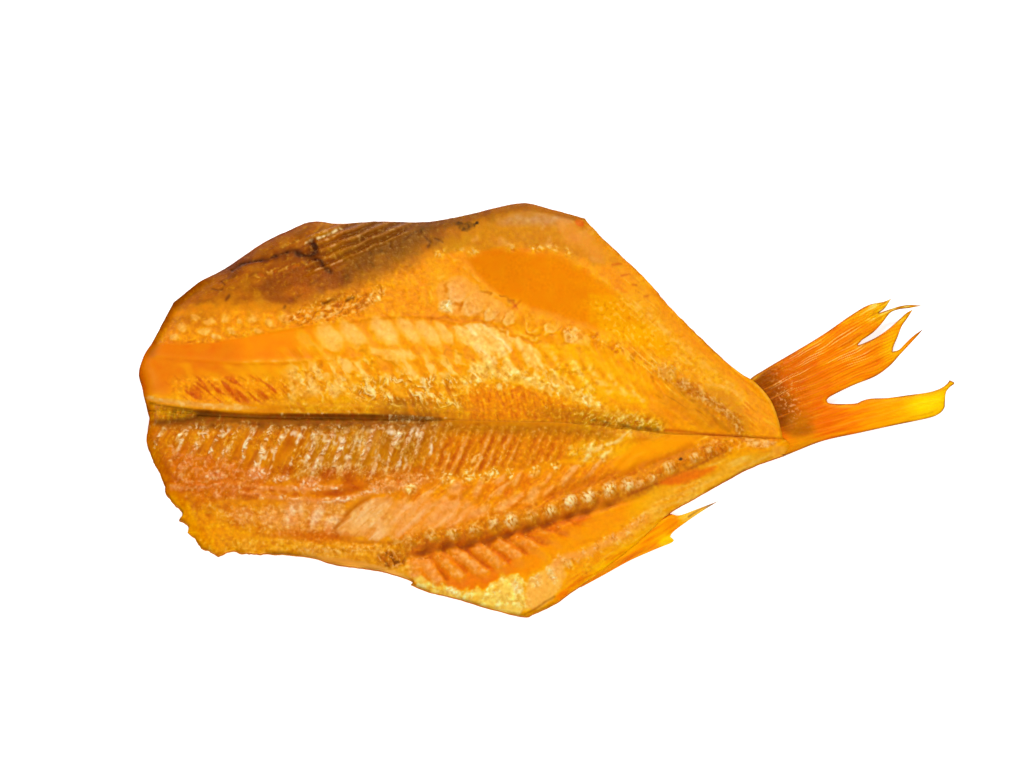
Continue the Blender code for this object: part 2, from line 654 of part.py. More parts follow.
def make_tail():
    """The tail fin, with rows of points along the crests and valleys of its rays."""
    rim = outline(TAIL_RUNS_PX, tail_middle, FIN_RIM_STEP)
    out, turn = np.meshgrid(np.arange(*TAIL_RAY_REACH_PX, 11.0), np.linspace(*TAIL_TURNS, 2 * TAIL_RAYS + 1))
    u = TAIL_FAN_PX[0] + out * np.cos(turn)
    v = TAIL_FAN_PX[1] - out * np.sin(turn)
    rays = seen_on(np.column_stack([u.ravel(), v.ravel()]), tail_middle)
    rays = rays[inside(*rays.T, rim) & (distance_to(*rays.T, rim) > CLEAR_STEP)]
    under = triangles(rim, lattice(rim, FIN_STEP, CLEAR_STEP))
    return slab("tail_fin", triangles(rim, rays), under, tail_height, tail_base)


def make_anal_fin():
    rim = outline(ANAL_RUNS_PX, anal_base, FIN_RIM_STEP)
    side = triangles(rim, lattice(rim, FIN_STEP, CLEAR_STEP))
    return slab("anal_fin", side, side, anal_height, anal_base)


def join(whole, parts):
    """Fuses the parts into the whole."""
    for part in parts:
        union = whole.modifiers.new("join " + part.name, "BOOLEAN")
        union.operation = "UNION"
        union.solver = "EXACT"
        union.object = part
        bpy.context.view_layer.objects.active = whole
        bpy.ops.object.modifier_apply(modifier=union.name)
        bpy.data.objects.remove(part)


def centre(obj):
    """Moves the mesh so that the origin is the middle of its base."""
    places = np.array([vertex.co for vertex in obj.data.vertices])
    low, high = places.min(axis=0), places.max(axis=0)
    shift = Vector((-(low[0] + high[0]) / 2, -(low[1] + high[1]) / 2, -low[2]))
    for vertex in obj.data.vertices:
        vertex.co += shift


def flesh_material():
    made = bpy.data.materials.new("smoked flesh")
    made.use_nodes = True
    shader = made.node_tree.nodes["Principled BSDF"]
    shader.inputs["Base Color"].default_value = (0.82, 0.27, 0.01, 1)
    shader.inputs["Roughness"].default_value = 0.35
    shader.inputs["Metallic"].default_value = 0
    return made


def main():
    for obj in list(bpy.data.objects):
        bpy.data.objects.remove(obj)
    fish = make_body()
    fish.name = "butterflied_redfish"
    join(fish, [make_tail(), make_anal_fin()])
    centre(fish)
    fish.data.materials.clear()
    fish.data.materials.append(flesh_material())


main()
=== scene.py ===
"""The looks of a cold-smoked redfish, split through the belly and laid open, flesh side up.

The two fillets, the skin under them, the tail fin and the anal fin are fine meshes that stand for
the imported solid. Places on the fish are read from the photograph in its 1024 x 768 pixels, u to the
right and v down, and line_of_sight() turns them into metres. Heights are real sizes. Each region of
the flesh has a function that gives its relief and its colour together.
"""

import math

import bpy
import numpy as np
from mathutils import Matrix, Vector
from mathutils.geometry import delaunay_2d_cdt


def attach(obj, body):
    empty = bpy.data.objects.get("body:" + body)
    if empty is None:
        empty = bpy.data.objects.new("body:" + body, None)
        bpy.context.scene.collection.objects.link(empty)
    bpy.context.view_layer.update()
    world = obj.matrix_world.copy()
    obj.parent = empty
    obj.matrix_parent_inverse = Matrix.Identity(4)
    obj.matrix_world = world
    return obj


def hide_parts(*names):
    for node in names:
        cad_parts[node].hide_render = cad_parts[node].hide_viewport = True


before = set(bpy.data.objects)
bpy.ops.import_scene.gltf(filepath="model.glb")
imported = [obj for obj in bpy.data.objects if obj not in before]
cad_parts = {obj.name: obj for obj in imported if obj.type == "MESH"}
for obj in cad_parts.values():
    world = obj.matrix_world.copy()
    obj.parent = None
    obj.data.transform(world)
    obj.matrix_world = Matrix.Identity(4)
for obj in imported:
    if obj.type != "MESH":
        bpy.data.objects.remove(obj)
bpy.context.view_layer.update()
NODE = "butterflied_redfish"

MM = 0.001

# How the photograph was taken
OVERALL_LENGTH = 320 * MM
LENGTH_PX = 814.5
MIDDLE_PX = (546.7, 410.0)
FRAME_PX = (1024, 768)
LENS_MM = 85
SENSOR_MM = 36
FOCAL_PX = LENS_MM / SENSOR_MM * FRAME_PX[0]
VIEW_ELEVATION = math.radians(75)
FRAMING = np.array([-0.18, 0.27]) * MM

# Mesh sizes
RIM_STEP = 0.55 * MM
FLESH_STEP = 0.46 * MM
FOLD_ROW_STEP_PX = 1.2
INNER_STEP = 5.0 * MM
SKIN_STEP = 0.75 * MM
FIN_STEP = 0.33 * MM

# Heights of the body
RIM_THICKNESS = 1.6 * MM
RIM_LIFT = 1.2 * MM
FLAP_RISE = 1.9 * MM
BASE_EDGE_WIDTH = 9.0 * MM
RELIEF_FADE = 2.5 * MM
SKIN_THICKNESS = 0.8 * MM
SKIN_SUNK = 0.3 * MM
FLESH_INSET = 0.25 * MM
SCALE_HEIGHT = 0.16 * MM
LIP_HEIGHT = 0.6 * MM
PIN_BONE_HEIGHT = 0.5 * MM
COLUMN_HEIGHT = 1.8 * MM
COLUMN_TRENCH = 1.5 * MM
VERTEBRA_HEIGHT = 0.9 * MM
SEAM_HEIGHT = 0.5 * MM
FLAKE_HEIGHT = 0.3 * MM
CHAIN_HEIGHT = 0.8 * MM
BELLY_RIB_HEIGHT = 0.5 * MM
CRACK_DEPTH = 0.6 * MM

# Heights of the fins
TAIL_LIFT = 0.8 * MM
TAIL_RISE = 5.0 * MM
TAIL_ROOT_THICKNESS = 2.8 * MM
FIN_THICKNESS = 1.1 * MM
FIN_EDGE_THICKNESS = 0.45 * MM
FIN_RAY_HEIGHT = 0.3 * MM
ANAL_LIFT = 1.0 * MM
ANAL_ROOT_THICKNESS = 1.9 * MM

# Outline of the body: smooth runs that meet in corners, clockwise from the near end of the head cut
BODY_RUNS_PX = (
    (
        (149.5, 418), (147.5, 411), (142, 387), (139.5, 376), (144.5, 357.5), (154, 341.5), (166, 317.5),
        (173.5, 303.5),
    ),
    (
        (173.5, 303.5), (199, 283), (224.5, 269.5), (262.5, 244), (288, 231.5), (306, 223.7), (320, 222.3),
        (338.5, 224.5), (376.5, 222.3), (421, 223), (450.5, 219), (478.5, 213), (500, 207.5), (525, 204),
        (549, 209.7), (585, 219.3),
    ),
    (
        (585, 219.3), (592.5, 229), (614, 250), (648.5, 283), (670, 308), (701.5, 339.5), (728.5, 364.5),
        (749, 379.5), (758, 387.5), (767, 397.5), (773, 408), (777, 419.5), (780, 431), (781.5, 438.5),
    ),
    ((781.5, 438.5), (789, 446), (783.5, 455.5)),
    (
        (783.5, 455.5), (754, 466), (728.5, 479), (693, 499), (669, 513.5), (640, 541), (603, 570),
        (571, 592), (556, 603), (534, 613.5), (521.5, 616.3), (482, 606.5), (456.5, 598.5), (427, 591.5),
        (410.5, 584.5),
    ),
    (
        (410.5, 584.5), (410.5, 580.5), (380, 571), (335, 564.5), (311, 557.5), (276.5, 554), (246, 553.5),
        (229.5, 552), (218, 555.5),
    ),
    ((218, 555.5), (201, 547), (193.5, 537), (187, 532.5)), ((187, 532.5), (188, 527), (179.5, 520.5)),
    ((179.5, 520.5), (181.5, 511.5), (167, 496), (165, 487)),
    ((165, 487), (158, 470.5), (150.3, 454), (147, 442.5), (148.5, 427), (149.5, 418)),
)
FAR_EDGE_RUNS = slice(1, 3)
NEAR_EDGE_RUNS = slice(4, 7)

# Outline of the tail fin, from where it leaves the far fillet, lobe by lobe
TAIL_RUNS_PX = (
    (
        (744, 392), (749, 380), (765.5, 368.5), (796, 350.3), (824, 333), (849.5, 315.3), (867.5, 304.7),
        (883, 301.2), (890.8, 298),
    ),
    ((890.8, 298), (884.5, 307.5), (878, 312.5)),
    ((878, 312.5), (891.5, 308), (900, 305.5), (909, 304.3), (921, 305)),
    ((921, 305), (909, 307.3), (899, 308.5), (890, 312), (882, 322), (873, 331.5), (861.5, 339.5)),
    (
        (861.5, 339.5), (858, 344.5), (874.7, 337.3), (887.3, 328.8), (898.6, 319), (905.6, 312.6),
        (912.5, 308.8),
    ),
    ((912.5, 308.8), (907.3, 317), (901.4, 325.5), (897, 336.5), (893, 346), (892.2, 351)),
    ((892.2, 351), (898.6, 349), (905.6, 342), (914, 334.3), (923, 328.3)),
    (
        (923, 328.3), (914, 338.5), (905.6, 347.5), (898.6, 355), (890, 364.5), (874.7, 375.6),
        (852.3, 384.7), (831, 395.2), (826, 399.5),
    ),
    (
        (826, 399.5), (830, 403), (853.7, 403), (862, 400), (870.5, 398), (887.3, 397.3), (908.4, 394.5),
        (928, 391.7), (939, 388.2), (946, 383.6), (949, 379.5),
    ),
    (
        (949, 379.5), (954, 382.6), (949.5, 386.5), (945.5, 392), (944.5, 401), (943.5, 408), (938, 413.5),
        (926.6, 417.7), (893, 424.7), (861, 431.7), (824, 440), (796, 450.7), (783.5, 455.5),
    ),
    ((783.5, 455.5), (768, 452), (762, 430), (744, 392)),
)
# The point that the tail's rays fan out from, the turns of the outer two, and their reach from it
TAIL_FAN_PX = (545.0, 507.0)
TAIL_TURNS = (math.radians(13.5), math.radians(32))
TAIL_RAYS = 12
TAIL_RAY_START_PX = 262

# Outline of the anal fin, and the point that its rays fan out from
ANAL_RUNS_PX = (
    ((655, 518), (668.8, 513.5), (679, 514.8), (697, 508.4), (718.6, 500.2)),
    ((718.6, 500.2), (699.4, 512), (681.6, 524.4), (672.7, 531.4), (669.5, 536)),
    ((669.5, 536), (672.7, 541), (655, 548.6), (629.3, 560), (603.8, 574.1), (580, 587)),
    ((580, 587), (592, 562), (620, 540), (655, 518)),
)
ANAL_FAN_PX = (330.0, 712.0)
ANAL_ROOT_PX = 14

# The fold along the back: the far fillet's lip, the near fillet's shoulder, and how deep it is (mm)
LIP_PX = (
    (140, 400), (165, 404), (200, 408), (250, 411), (300, 413), (400, 415), (450, 417.5), (520, 419),
    (560, 420), (600, 423), (640, 427), (665, 431), (700, 432.5), (740, 434), (783, 437),
)
SHOULDER_PX = (
    (140, 418), (165, 420), (200, 421), (250, 422.5), (300, 421.5), (400, 421.5), (450, 422), (520, 423.5),
    (560, 424.5), (600, 428), (640, 432), (665, 435.5), (700, 437), (740, 438.5), (783, 441.5),
)
FOLD_DEPTH = (
    (140, 3.6), (165, 2.2), (250, 1.9), (330, 1.7), (400, 1.5), (435, 1.0), (460, 0.2), (520, 0.1),
    (585, 0.15), (612, 0.9), (640, 0.9), (675, 0.5), (783, 0.5),
)
FOLD_FLOOR = 0.25
FOLD_REACH = 2.3
FOLD_SEAM = 0.4
# The painted brown shade in the fold: where it starts and ends, and how deep it is
SHADE_TOP_PX = (
    (165, 416), (185, 410.5), (200, 409), (230, 411.6), (260, 413), (300, 413), (350, 413), (400, 414),
    (425, 416), (445, 417),
)
SHADE_FOOT_PX = (
    (165, 422), (200, 422.5), (230, 420.5), (260, 423), (300, 423.5), (350, 423.5), (400, 421.5),
    (445, 421.5),
)
SHADE_DEPTH = (
    (170, 0.7), (185, 0.9), (200, 0.95), (220, 0.4), (255, 0.2), (285, 0.55), (310, 0.65), (350, 0.6),
    (400, 0.6), (430, 0.1),
)

# Pin bones in the near fillet: spacing, slant and how far they reach from the shoulder
PIN_SPACING = ((150, 19), (300, 15.5), (480, 10.8), (620, 10.8))
PIN_SLANT = ((150, 0.5), (300, 0.4), (480, 0.42), (620, 0.5))
PIN_REACH = ((150, 62), (420, 62), (520, 52), (620, 24))

# Backbone and ribs
COLUMN_PX = (
    (300, 551), (360, 549), (400, 544), (428, 538), (451, 534), (473, 529), (493, 523), (511, 520),
    (530, 515), (551, 510), (570, 501.5), (589, 496.5), (610, 489), (629, 484), (651, 477), (668, 468),
    (693, 458), (715, 450), (748, 441),
)
TRENCH_BELOW = 14.0

# Seams between the muscle blocks
SEAMS_PX = (
    ((172, 487), (199, 486), (224, 484.6), (250, 486), (288, 488.5), (330, 488), (352, 487)),
    ((228, 494), (250, 493.6), (275, 497), (307, 499.3), (333, 500), (355, 496), (377, 489.7), (395, 486)),
    ((156, 355), (180, 356.5), (210, 359), (240, 361), (285, 360), (320, 358.5), (350, 357), (388, 354.5)),
    ((158, 342.5), (180, 344.5), (210, 342), (240, 336), (270, 331), (300, 326), (340, 322), (376, 317),
     (425, 315.5), (459, 322.5), (480, 321)),
)

# Flakes and dents of the far fillet
FLAKE_SPACING = ((300, 26), (480, 21), (600, 14), (660, 13))
FLAKE_SLANT = 0.55
FLAKE_BAND_PX = (336, 392)
FLAKE_ENDS_PX = (305, 648)
CHAIN_PX = (
    (440, 292), (470, 302), (500, 312), (530, 322), (560, 331), (590, 341), (620, 350), (650, 361),
    (690, 380),
)
CHAIN_ENDS_PX = (450, 668)
CHAIN_PITCH = 22.0

# Pale patches, scallops, lines and stripes of the far fillet: middles, radii, turns, and so on
BLOTCHES_PX = (
    ((305, 340), (16, 7), 0.85, 0.45), ((329, 337), (19, 11), 0.8, 0.85), ((352, 334), (20, 10), 0.8, 0.85),
    ((384, 331), (20, 12), 0.8, 0.95), ((407, 330), (19, 8), 0.85, 0.85), ((427, 333), (19, 9), 0.85, 0.9),
    ((444, 333), (16, 6), 0.9, 0.9), ((392, 354), (28, 6), 0.1, 0.7), ((432, 359), (18, 5), 0.5, 0.4),
    ((345, 365), (24, 8), 0.3, 0.7), ((308, 366), (15, 6), 0.5, 0.6), ((312, 384), (10, 6), 0.2, 0.6),
    ((340, 380), (18, 6), 0.3, 0.5), ((530, 358), (16, 8), 0.8, 0.6), ((548, 352), (12, 7), 0.8, 0.6),
    ((574, 336), (11, 8), 0.3, 0.7), ((520, 345), (12, 6), 0.5, 0.5), ((500, 372), (16, 7), 0.7, 0.7),
)
SMEARS_PX = (
    ((190, 372), (14, 4), 0.5, 0.8), ((214, 377), (15, 5), 0.55, 0.9), ((238, 375), (14, 5), 0.6, 0.8),
    ((262, 374), (15, 6), 0.6, 1.0), ((284, 378), (12, 5), 0.7, 0.9), ((252, 386), (10, 3), 0.5, 0.7),
    ((176, 384), (9, 3), 0.3, 0.5), ((204, 389), (10, 3), 0.4, 0.6), ((298, 388), (10, 4), 0.7, 0.8),
    ((276, 392), (8, 3), 0.6, 0.6), ((226, 366), (9, 3), 0.3, 0.5),
)
FINE_LINES_PX = (
    ((360, 350), (375, 356), (395, 364), (402, 372)), ((443, 347), (460, 354), (480, 362), (496, 371)),
    ((497, 318), (510, 332), (525, 338), (545, 341)), ((448, 365), (444, 352), (450, 345)),
)
SCALLOPS_PX = (
    ((457.5, 290), (10, 11), 0.3, (249, 172, 92)), ((474, 303), (15, 9), -0.85, (250, 178, 88)),
    ((492, 311), (11, 5.5), -0.95, (250, 186, 92)), ((511, 317), (10, 5.5), -0.8, (252, 190, 88)),
    ((533, 325), (8, 9), 0.2, (248, 160, 24)), ((552, 326), (9, 6), -0.7, (250, 180, 76)),
    ((572, 334), (9, 7), -0.6, (251, 188, 88)),
)
CHAIN_LINES_PX = (
    (
        (
            (448, 257), (459, 263), (469, 273), (480, 281), (492, 291.5), (499, 295), (510, 300),
            (525, 305.5),
        ),
        2.6, (252, 186, 96), 0.2,
    ),
    (((478, 290.5), (490, 293)), 1.2, (176, 88, 12), -0.1),
    (((501, 294), (513, 301)), 1.2, (176, 88, 12), -0.1),
    (
        (
            (430, 318), (448, 317), (464, 321.5), (479.5, 318), (485, 325), (494, 327), (503.5, 331),
            (510, 335), (527.5, 340), (540, 342),
        ),
        1.6, (214, 112, 6), -0.2,
    ),
    (((440, 262), (437, 275), (434, 288)), 1.5, (253, 186, 80), 0.1),
    (((522, 334), (534, 338), (546, 333)), 1.8, (253, 200, 104), 0.15),
    (((430, 300), (434, 284), (446, 272)), 1.4, (252, 192, 90), 0.1),
)
STRIPES_PX = (
    ((553, 354), (567, 384), 3.4), ((573, 360), (590, 387), 3.4), ((590, 367), (609, 391), 3.9),
    ((609, 376), (628, 397), 3.9), ((630, 386), (645, 402), 3.0), ((536, 350), (552, 376), 3.8),
)
GOLDEN_STREAKS_PX = (
    (((517, 338), (523, 352), (531, 366), (537, 378)), 2.6), (((500, 344), (507, 358), (512, 370)), 2.4),
    (((486, 360), (494, 371), (506, 379)), 2.2), (((528, 344), (536, 357), (544, 370)), 2.0),
    (((512, 366), (522, 376), (536, 384)), 1.8),
)
LINING_CRACKS_PX = (
    (((389, 247), (391, 240), (396, 235), (403, 231)), 1.1), (((404, 238), (412, 233), (420, 231)), 1.0),
    (((418, 229), (424, 236), (429, 239), (436, 238), (442, 242)), 1.1), (((428, 245), (431, 241)), 1.1),
    (((212, 289), (219, 289), (224, 284), (221, 281)), 1.0), (((224, 300), (228, 296)), 1.2),
    (((283, 309), (287, 302)), 1.4), (((322, 303), (330, 300), (336, 297)), 1.2),
    (((346, 300), (353, 297)), 1.2),
)

# Muscle lobes, knots, vertebrae, rib lobes and glints of the near fillet
FEATHERS_PX = (
    ((456, 488), (8, 7), 0.0), ((477, 488), (11, 5), -1.1), ((502, 488), (11, 4), -1.1),
    ((532, 495), (13, 6), -0.8), ((548, 489), (9, 4), -0.9), ((480, 511), (14, 8), -0.5),
    ((505, 505), (14, 6), -0.7), ((410, 490), (8, 6), 0.0), ((517, 478), (9, 3.5), -0.95),
    ((499, 478), (8, 3.5), -1.0), ((566, 480), (9, 3.5), -0.85), ((516, 497), (10, 4), -0.8),
)
GLINTS_PX = (
    ((301, 441), (7, 5), 0.6), ((334, 439), (8, 5), 0.2), ((402, 463), (5, 7), 0.4),
    ((379, 452), (4, 4), 0.0), ((415, 430), (4, 7), 0.4), ((366, 427), (5, 5), 0.0),
    ((292, 432), (5, 4), 0.0), ((252, 424), (4, 7), 0.4), ((348, 452), (4, 7), 0.4),
    ((318, 463), (4, 6), 0.4), ((432, 447), (3, 8), 0.4), ((389, 433), (3, 7), 0.4),
    ((270, 455), (4, 7), 0.4), ((226, 430), (4, 7), 0.4),
)
KNOTS_PX = (
    ((447, 479), 6), ((467.5, 475.5), 6.5), ((483, 476.5), 4.5), ((492, 470.5), 4.5), ((535, 470), 5),
    ((556, 464), 4.5), ((572.5, 452), 4.5), ((587.5, 452), 6.5), ((602.5, 455), 5), ((410, 489), 5),
    ((509, 472), 4),
)
KNOBS_PX = (
    ((409, 541), 6, 0.3), ((431, 535), 6.5, 0.55), ((453, 533.5), 6.5, 0.6), ((474, 530), 7, 0.6),
    ((494, 523.5), 7, 0.8), ((511, 520.5), 7.5, 1.0), ((531, 515.5), 7.5, 0.4), ((550.5, 511), 7, 0.9),
    ((570, 501.5), 8, 1.0), ((588.5, 497), 8, 1.0), ((609.5, 489.5), 8.5, 1.0), ((628, 485), 8, 0.95),
    ((639.5, 484), 5, 0.6), ((652, 479), 5, 0.6), ((669, 467), 6.5, 0.7), ((694, 457.5), 5, 0.6),
    ((709, 451), 5, 0.6),
)
# Hollows below the vertebrae that get painted shade: middle and strength
HOLLOW_SHADES_PX = (
    ((424, 550), 0.7), ((446, 545), 0.75), ((469, 543.5), 0.8), ((490.5, 538.5), 0.75), ((509, 533), 0.7),
    ((530, 527), 0.8), ((548, 521.5), 0.75), ((570, 515), 0.7), ((586.5, 510.5), 0.6),
    ((610.5, 503.5), 0.5),
)
RIB_LINES_PX = (
    (((428.7, 556.8), (437, 567), (444.8, 579.8)), 0.9), (((442.5, 550), (454, 560), (464.3, 571.8)), 0.95),
    (((456.3, 544.2), (472, 556), (487.2, 567.2)), 1.0),
    (((480.4, 540.8), (494, 550), (506.8, 560.3)), 1.0), (((501, 536.2), (513, 544), (525, 553.4)), 1.0),
    (((520.5, 532.7), (533, 538.5), (547, 545.4)), 0.85), (((541, 526), (552, 531), (564, 536)), 0.6),
    (((562, 519), (572, 523), (584, 527)), 0.35),
)
BELLY_GLINTS_PX = (
    ((551.5, 574), (9, 3.4), 1.1, 1.0), ((566.5, 563), (7, 4), 0.6, 0.8), ((535, 580), (6, 7), 0.0, 0.6),
    ((516, 586), (7, 4), 1.1, 1.0), ((452, 590), (7, 3.5), 0.3, 1.0), ((586, 570), (4, 7), 0.4, 0.7),
)

# Pale lumps in the granular band of the far fillet
PEARLS_PX = (
    ((195, 318), (5, 3.5)), ((209, 322), (5, 4)), ((225, 317.6), (4, 4.5)), ((239, 321), (4, 4)),
    ((252, 318), (5.5, 4.5)), ((268, 323), (5, 3.5)), ((284, 318), (7, 5)), ((203, 331), (7, 4)),
    ((182, 327), (6, 4)), ((230, 331), (6, 3.5)), ((176, 338), (6, 3)), ((258, 330), (5, 3)),
    ((216, 337), (6, 3)), ((342, 308), (7, 4)), ((360, 309), (6, 4)),
)

# Belly lining of the far fillet: rib marks, and the crack beside them
LINING_SLOPE = 0.42
LINING_CENTRE_PX = (345, 240)
LINING_PITCH = 9.0
LINING_MARKS = 4
LINING_ENDS_PX = (312, 402)
CRACK_PX = (
    (232, 269), (248, 261), (263, 259), (278, 255), (287, 251), (297, 252), (308, 256), (315, 251),
    (312, 243),
)
CRACK_BRANCH_PX = ((312, 256), (322, 264), (329, 271))

# Places in the fold
LUMP_PX = ((147, 404), (165, 406), (185, 409), (196, 412), (188, 416), (165, 419), (148, 418))
LUMP_TOP_PX = ((150, 402.5), (162, 404.5), (178, 407), (192, 409))
LUMP_SHADOW_PX = ((156, 421), (168, 420.5), (182, 419.5), (196, 416), (206, 413))
SLIT_PX = ((590, 419), (612, 423), (636, 426.5), (664, 429.5))
FLAP_LINE_PX = ((664, 429.5), (683, 430.5), (713, 434), (741, 436), (778, 438))

# Places on the near fillet
AMBER_FOOT_PX = ((150, 400, 520, 620, 700), (486, 486, 470, 446, 440))
HEAD_CORNER_PX = ((170, 498), (200, 505), (232, 520), (250, 540), (240, 556), (200, 552), (175, 525))
STRAW_SHADE_PX = ((412, 438), (26, 15), 0, 1.2)
STRAW_SHINE_PX = ((368, 440), (16, 12), 0, 1.2)
SEAM_BAND_PX = (
    (166, 484), (200, 486), (240, 489), (290, 490), (340, 488), (385, 482), (430, 480), (465, 478),
)
SEAM_LINE_PX = ((206, 484.5), (240, 487), (270, 489.5), (300, 493.5), (325, 494), (342, 489), (368, 484))
SEAM_SHADE_SPOTS_PX = (
    ((221, 494), (9, 5)), ((336, 493), (12, 4)), ((352, 488), (10, 4)), ((246, 497), (8, 3)),
    ((326, 474), (8, 6)), ((349, 477), (7, 6)), ((286, 470), (9, 5)),
)
ROSY_FLESH_PX = (
    (168, 452), (190, 450), (240, 462), (268, 476), (245, 487), (225, 500), (200, 500), (178, 488),
)
SEAM_LUMPS_PX = (
    ((215, 475), (11, 4)), ((257, 472), (11, 6)), ((280, 478), (9, 4)), ((310, 481), (11, 5)),
    ((382, 486), (14, 6)), ((412, 482), (12, 8)), ((342, 499), (9, 3)),
)
SEAM_KNOTS_PX = ((372, 484), (400, 474), (440, 472), (452, 482), (440, 494), (405, 498), (380, 494))
KNOT_SHADE_PX = ((404, 497), (16, 5), -0.1, 1.2)
SWELLING_GROUND_PX = (
    (172, 492), (200, 500), (240, 500), (290, 502), (340, 500), (345, 532), (300, 538), (240, 532),
    (195, 520),
)
SWELLS_PX = (
    ((243, 515), (13, 9), 0.2), ((268, 516), (11, 10), 0.4), ((293, 513), (9, 14), 0.45),
    ((316, 514), (6, 15), 0.35), ((333, 524), (10, 9), -0.5),
)
PEACH_PATCH_PX = (
    (334, 530), (348, 512), (366, 499), (410, 496), (450, 498), (470, 505), (466, 518), (450, 530),
    (420, 538), (385, 539), (352, 538),
)
PATCH_SHINE_PX = ((362, 515), (17, 11), -0.5, 1.3)
PATCH_CREASE_PX = (
    (368, 497), (352, 508), (342, 520), (333, 532), (345, 541), (375, 543), (410, 541), (440, 535),
)
# Swellings further along than this get a painted highlight on top
HIGHLIT_SWELLS_FROM_PX = 285
STRIP_TOP_PX = ((170, 195, 260, 330, 400, 440), (524, 532, 535, 534, 545, 556))
RUSTY_LINE_PX = ((318, 536), (36, 6), 0.05, 1.2)
LEDGE_PX = (
    (300, 553), (335, 557), (365, 561), (392, 570), (409, 577), (412, 588), (380, 575), (335, 568),
    (300, 560),
)
TANGLE_PX = ((391, 558), (13, 8.5), 0.1, 0.8)
TORN_CORNER_PX = ((166, 495), (185, 500), (215, 520), (240, 532), (215, 550), (195, 536), (178, 515))

# Places between the near fillet's pin bones and its backbone
FEATHER_TOP_PX = ((400, 440, 520, 600, 660), (488, 476, 468, 452, 446))
SLANTING_FLESH_PX = ((390, 506), (420, 499), (450, 498), (474, 504), (470, 522), (440, 531), (395, 536))
FEATHER_DOTS_PX = ((487, 486), (508, 491), (526, 484.5))
GOLDEN_FLESH_PX = (
    (566, 446), (585, 438), (610, 432), (632, 430), (630, 440), (608, 452), (585, 462), (568, 460),
)
FEATHER_GLINT_STREAKS_PX = (
    (((596, 449), (608, 442.5), (618, 437), (630, 432)), 2.6), (((602, 457), (610, 451)), 2.4),
    (((586, 458), (588, 452), (590, 446)), 3.6),
)
GOLDEN_HIGHLIGHT_PX = ((620, 451), (15, 5), -0.5, 1.3)
FEATHER_DASHES_PX = ((567, 484), (582, 478), (622, 465))

# Places along the backbone and the ribs
ABOVE_COLUMN_PX = (
    (552, 494), (565, 489.5), (594, 479.5), (624, 473.5), (646, 463.5), (669, 456.5), (690, 448),
)
COLUMN_SHADE = ((400, 440, 590, 625, 660), (0.3, 0.8, 0.8, 0.4, 0))
COLUMN_TUBE_PX = ((300, 549), (340, 549), (380, 546), (405, 542))
COLUMN_LOW_LINE_PX = ((628, 494), (648, 486), (663, 480.5), (682, 472), (698, 464.5), (718, 454))
RUSTY_STREAK_PX = ((656, 484), (676, 473), (700, 468), (716, 466), (700, 476), (678, 484))
COLUMN_GLOW_PX = ((648, 500), (22, 7), -0.5, 1.2)
BLACK_DOT_PX = ((680, 459), (1.9, 1.6))
RIB_GROUND_PX = (
    (408, 552), (425, 546), (470, 540), (520, 530), (560, 518), (590, 514), (575, 536), (530, 558),
    (486, 580), (440, 590), (412, 582),
)
RIB_TRIANGLE_PX = ((408, 556), (424, 556), (436, 572), (442, 582), (424, 582), (408, 574))

# Places along the near fillet's lower edge and at its tail end
VALLEY_PX = (
    (438, 588), (460, 581), (485, 576), (515, 562), (545, 544), (580, 524), (615, 508), (650, 494),
    (655, 506), (625, 528), (590, 546), (560, 558), (525, 572), (495, 584), (465, 592),
)
PALE_RIM_PX = (
    (411, 577), (425, 579), (440, 585), (465, 588), (490, 585), (500, 578), (510, 572), (524, 578),
    (528, 596), (524, 616), (495, 613), (460, 603), (420, 592),
)
WEDGE_PX = ((525, 584), (540, 570), (556, 562), (566, 574), (558, 596), (536, 610), (525, 602))
FIN_BASE_PX = (
    (556, 600), (566, 578), (600, 556), (630, 538), (655, 514), (680, 500), (700, 498), (672, 524),
    (636, 552), (602, 576), (575, 594),
)
FIN_CREST_PX = (
    (556, 562), (567, 556), (583, 554), (597, 546), (624, 533), (640, 519.5), (663, 504.5), (698, 485),
    (715, 476),
)
FIN_BASE_SHINE_PX = ((684, 508), (20, 8), -0.55, 1.2)
FIN_BASE_GLOW_PX = ((632, 538), (24, 9), -0.55, 1.2)
FIN_SEAM_PX = ((524, 613.5), (535, 608), (545, 601), (554, 596))
FIN_BASE_ORANGE_PX = ((562, 595), (7, 4), -0.6, 1.0)
HEM_PX = ((411, 582), (417, 588), (440, 595), (467, 602), (495, 612), (522, 616))
TAIL_ARC_PX = (
    (612, 462), (636, 446), (660, 437), (684, 436), (694, 441), (672, 450), (645, 462), (620, 474),
)
TAIL_PALE_LINE_PX = ((672, 498), (700, 484), (730, 470), (760, 458))
TAIL_ROSY_PX = ((694, 446), (712, 438), (736, 438), (750, 440), (736, 448), (712, 458), (698, 456))
TAIL_PATCH_PX = ((738, 437), (758, 438), (776, 440), (768, 447), (748, 446))
TAIL_END_SHINE_PX = ((688, 510), (20, 9), -0.55, 1.2)
TAIL_END_GOLD_PX = ((650, 494), (22, 8), -0.5, 1.2)
TAIL_TIP_PX = ((770, 446), (782, 444), (788, 448), (782, 456), (768, 456))

# Places on the belly lining and the tan band
LINING_FOOT_PX = (
    (165, 200, 240, 270, 295, 315, 335, 352, 376, 407, 430, 450, 480, 520),
    (308, 302, 298, 303, 302, 297, 291, 285, 275, 262, 247, 234, 219, 206),
)
RUST_CLOUD_PX = ((262, 276), (290, 262), (320, 256), (340, 262), (338, 282), (310, 290), (275, 296))
RUST_SPOT_PX = ((298, 291), (16, 7), -0.2, 1.2)
RUST_FOOT_PX = ((283, 299), (14, 4), 0.05, 1.2)
WARM_SPOT_PX = ((222, 288), (18, 12), -0.3, 1.2)
LINING_EDGE_PX = (
    (150, 352), (162, 326), (176, 303), (200, 285), (225, 271), (262, 247), (288, 234), (308, 226),
)
WHITE_GLINT_PX = ((304, 242), (318, 238), (330, 233), (340, 228.5))
LONG_SINEW_PX = ((256, 277), (270, 271), (290, 267), (310, 263))
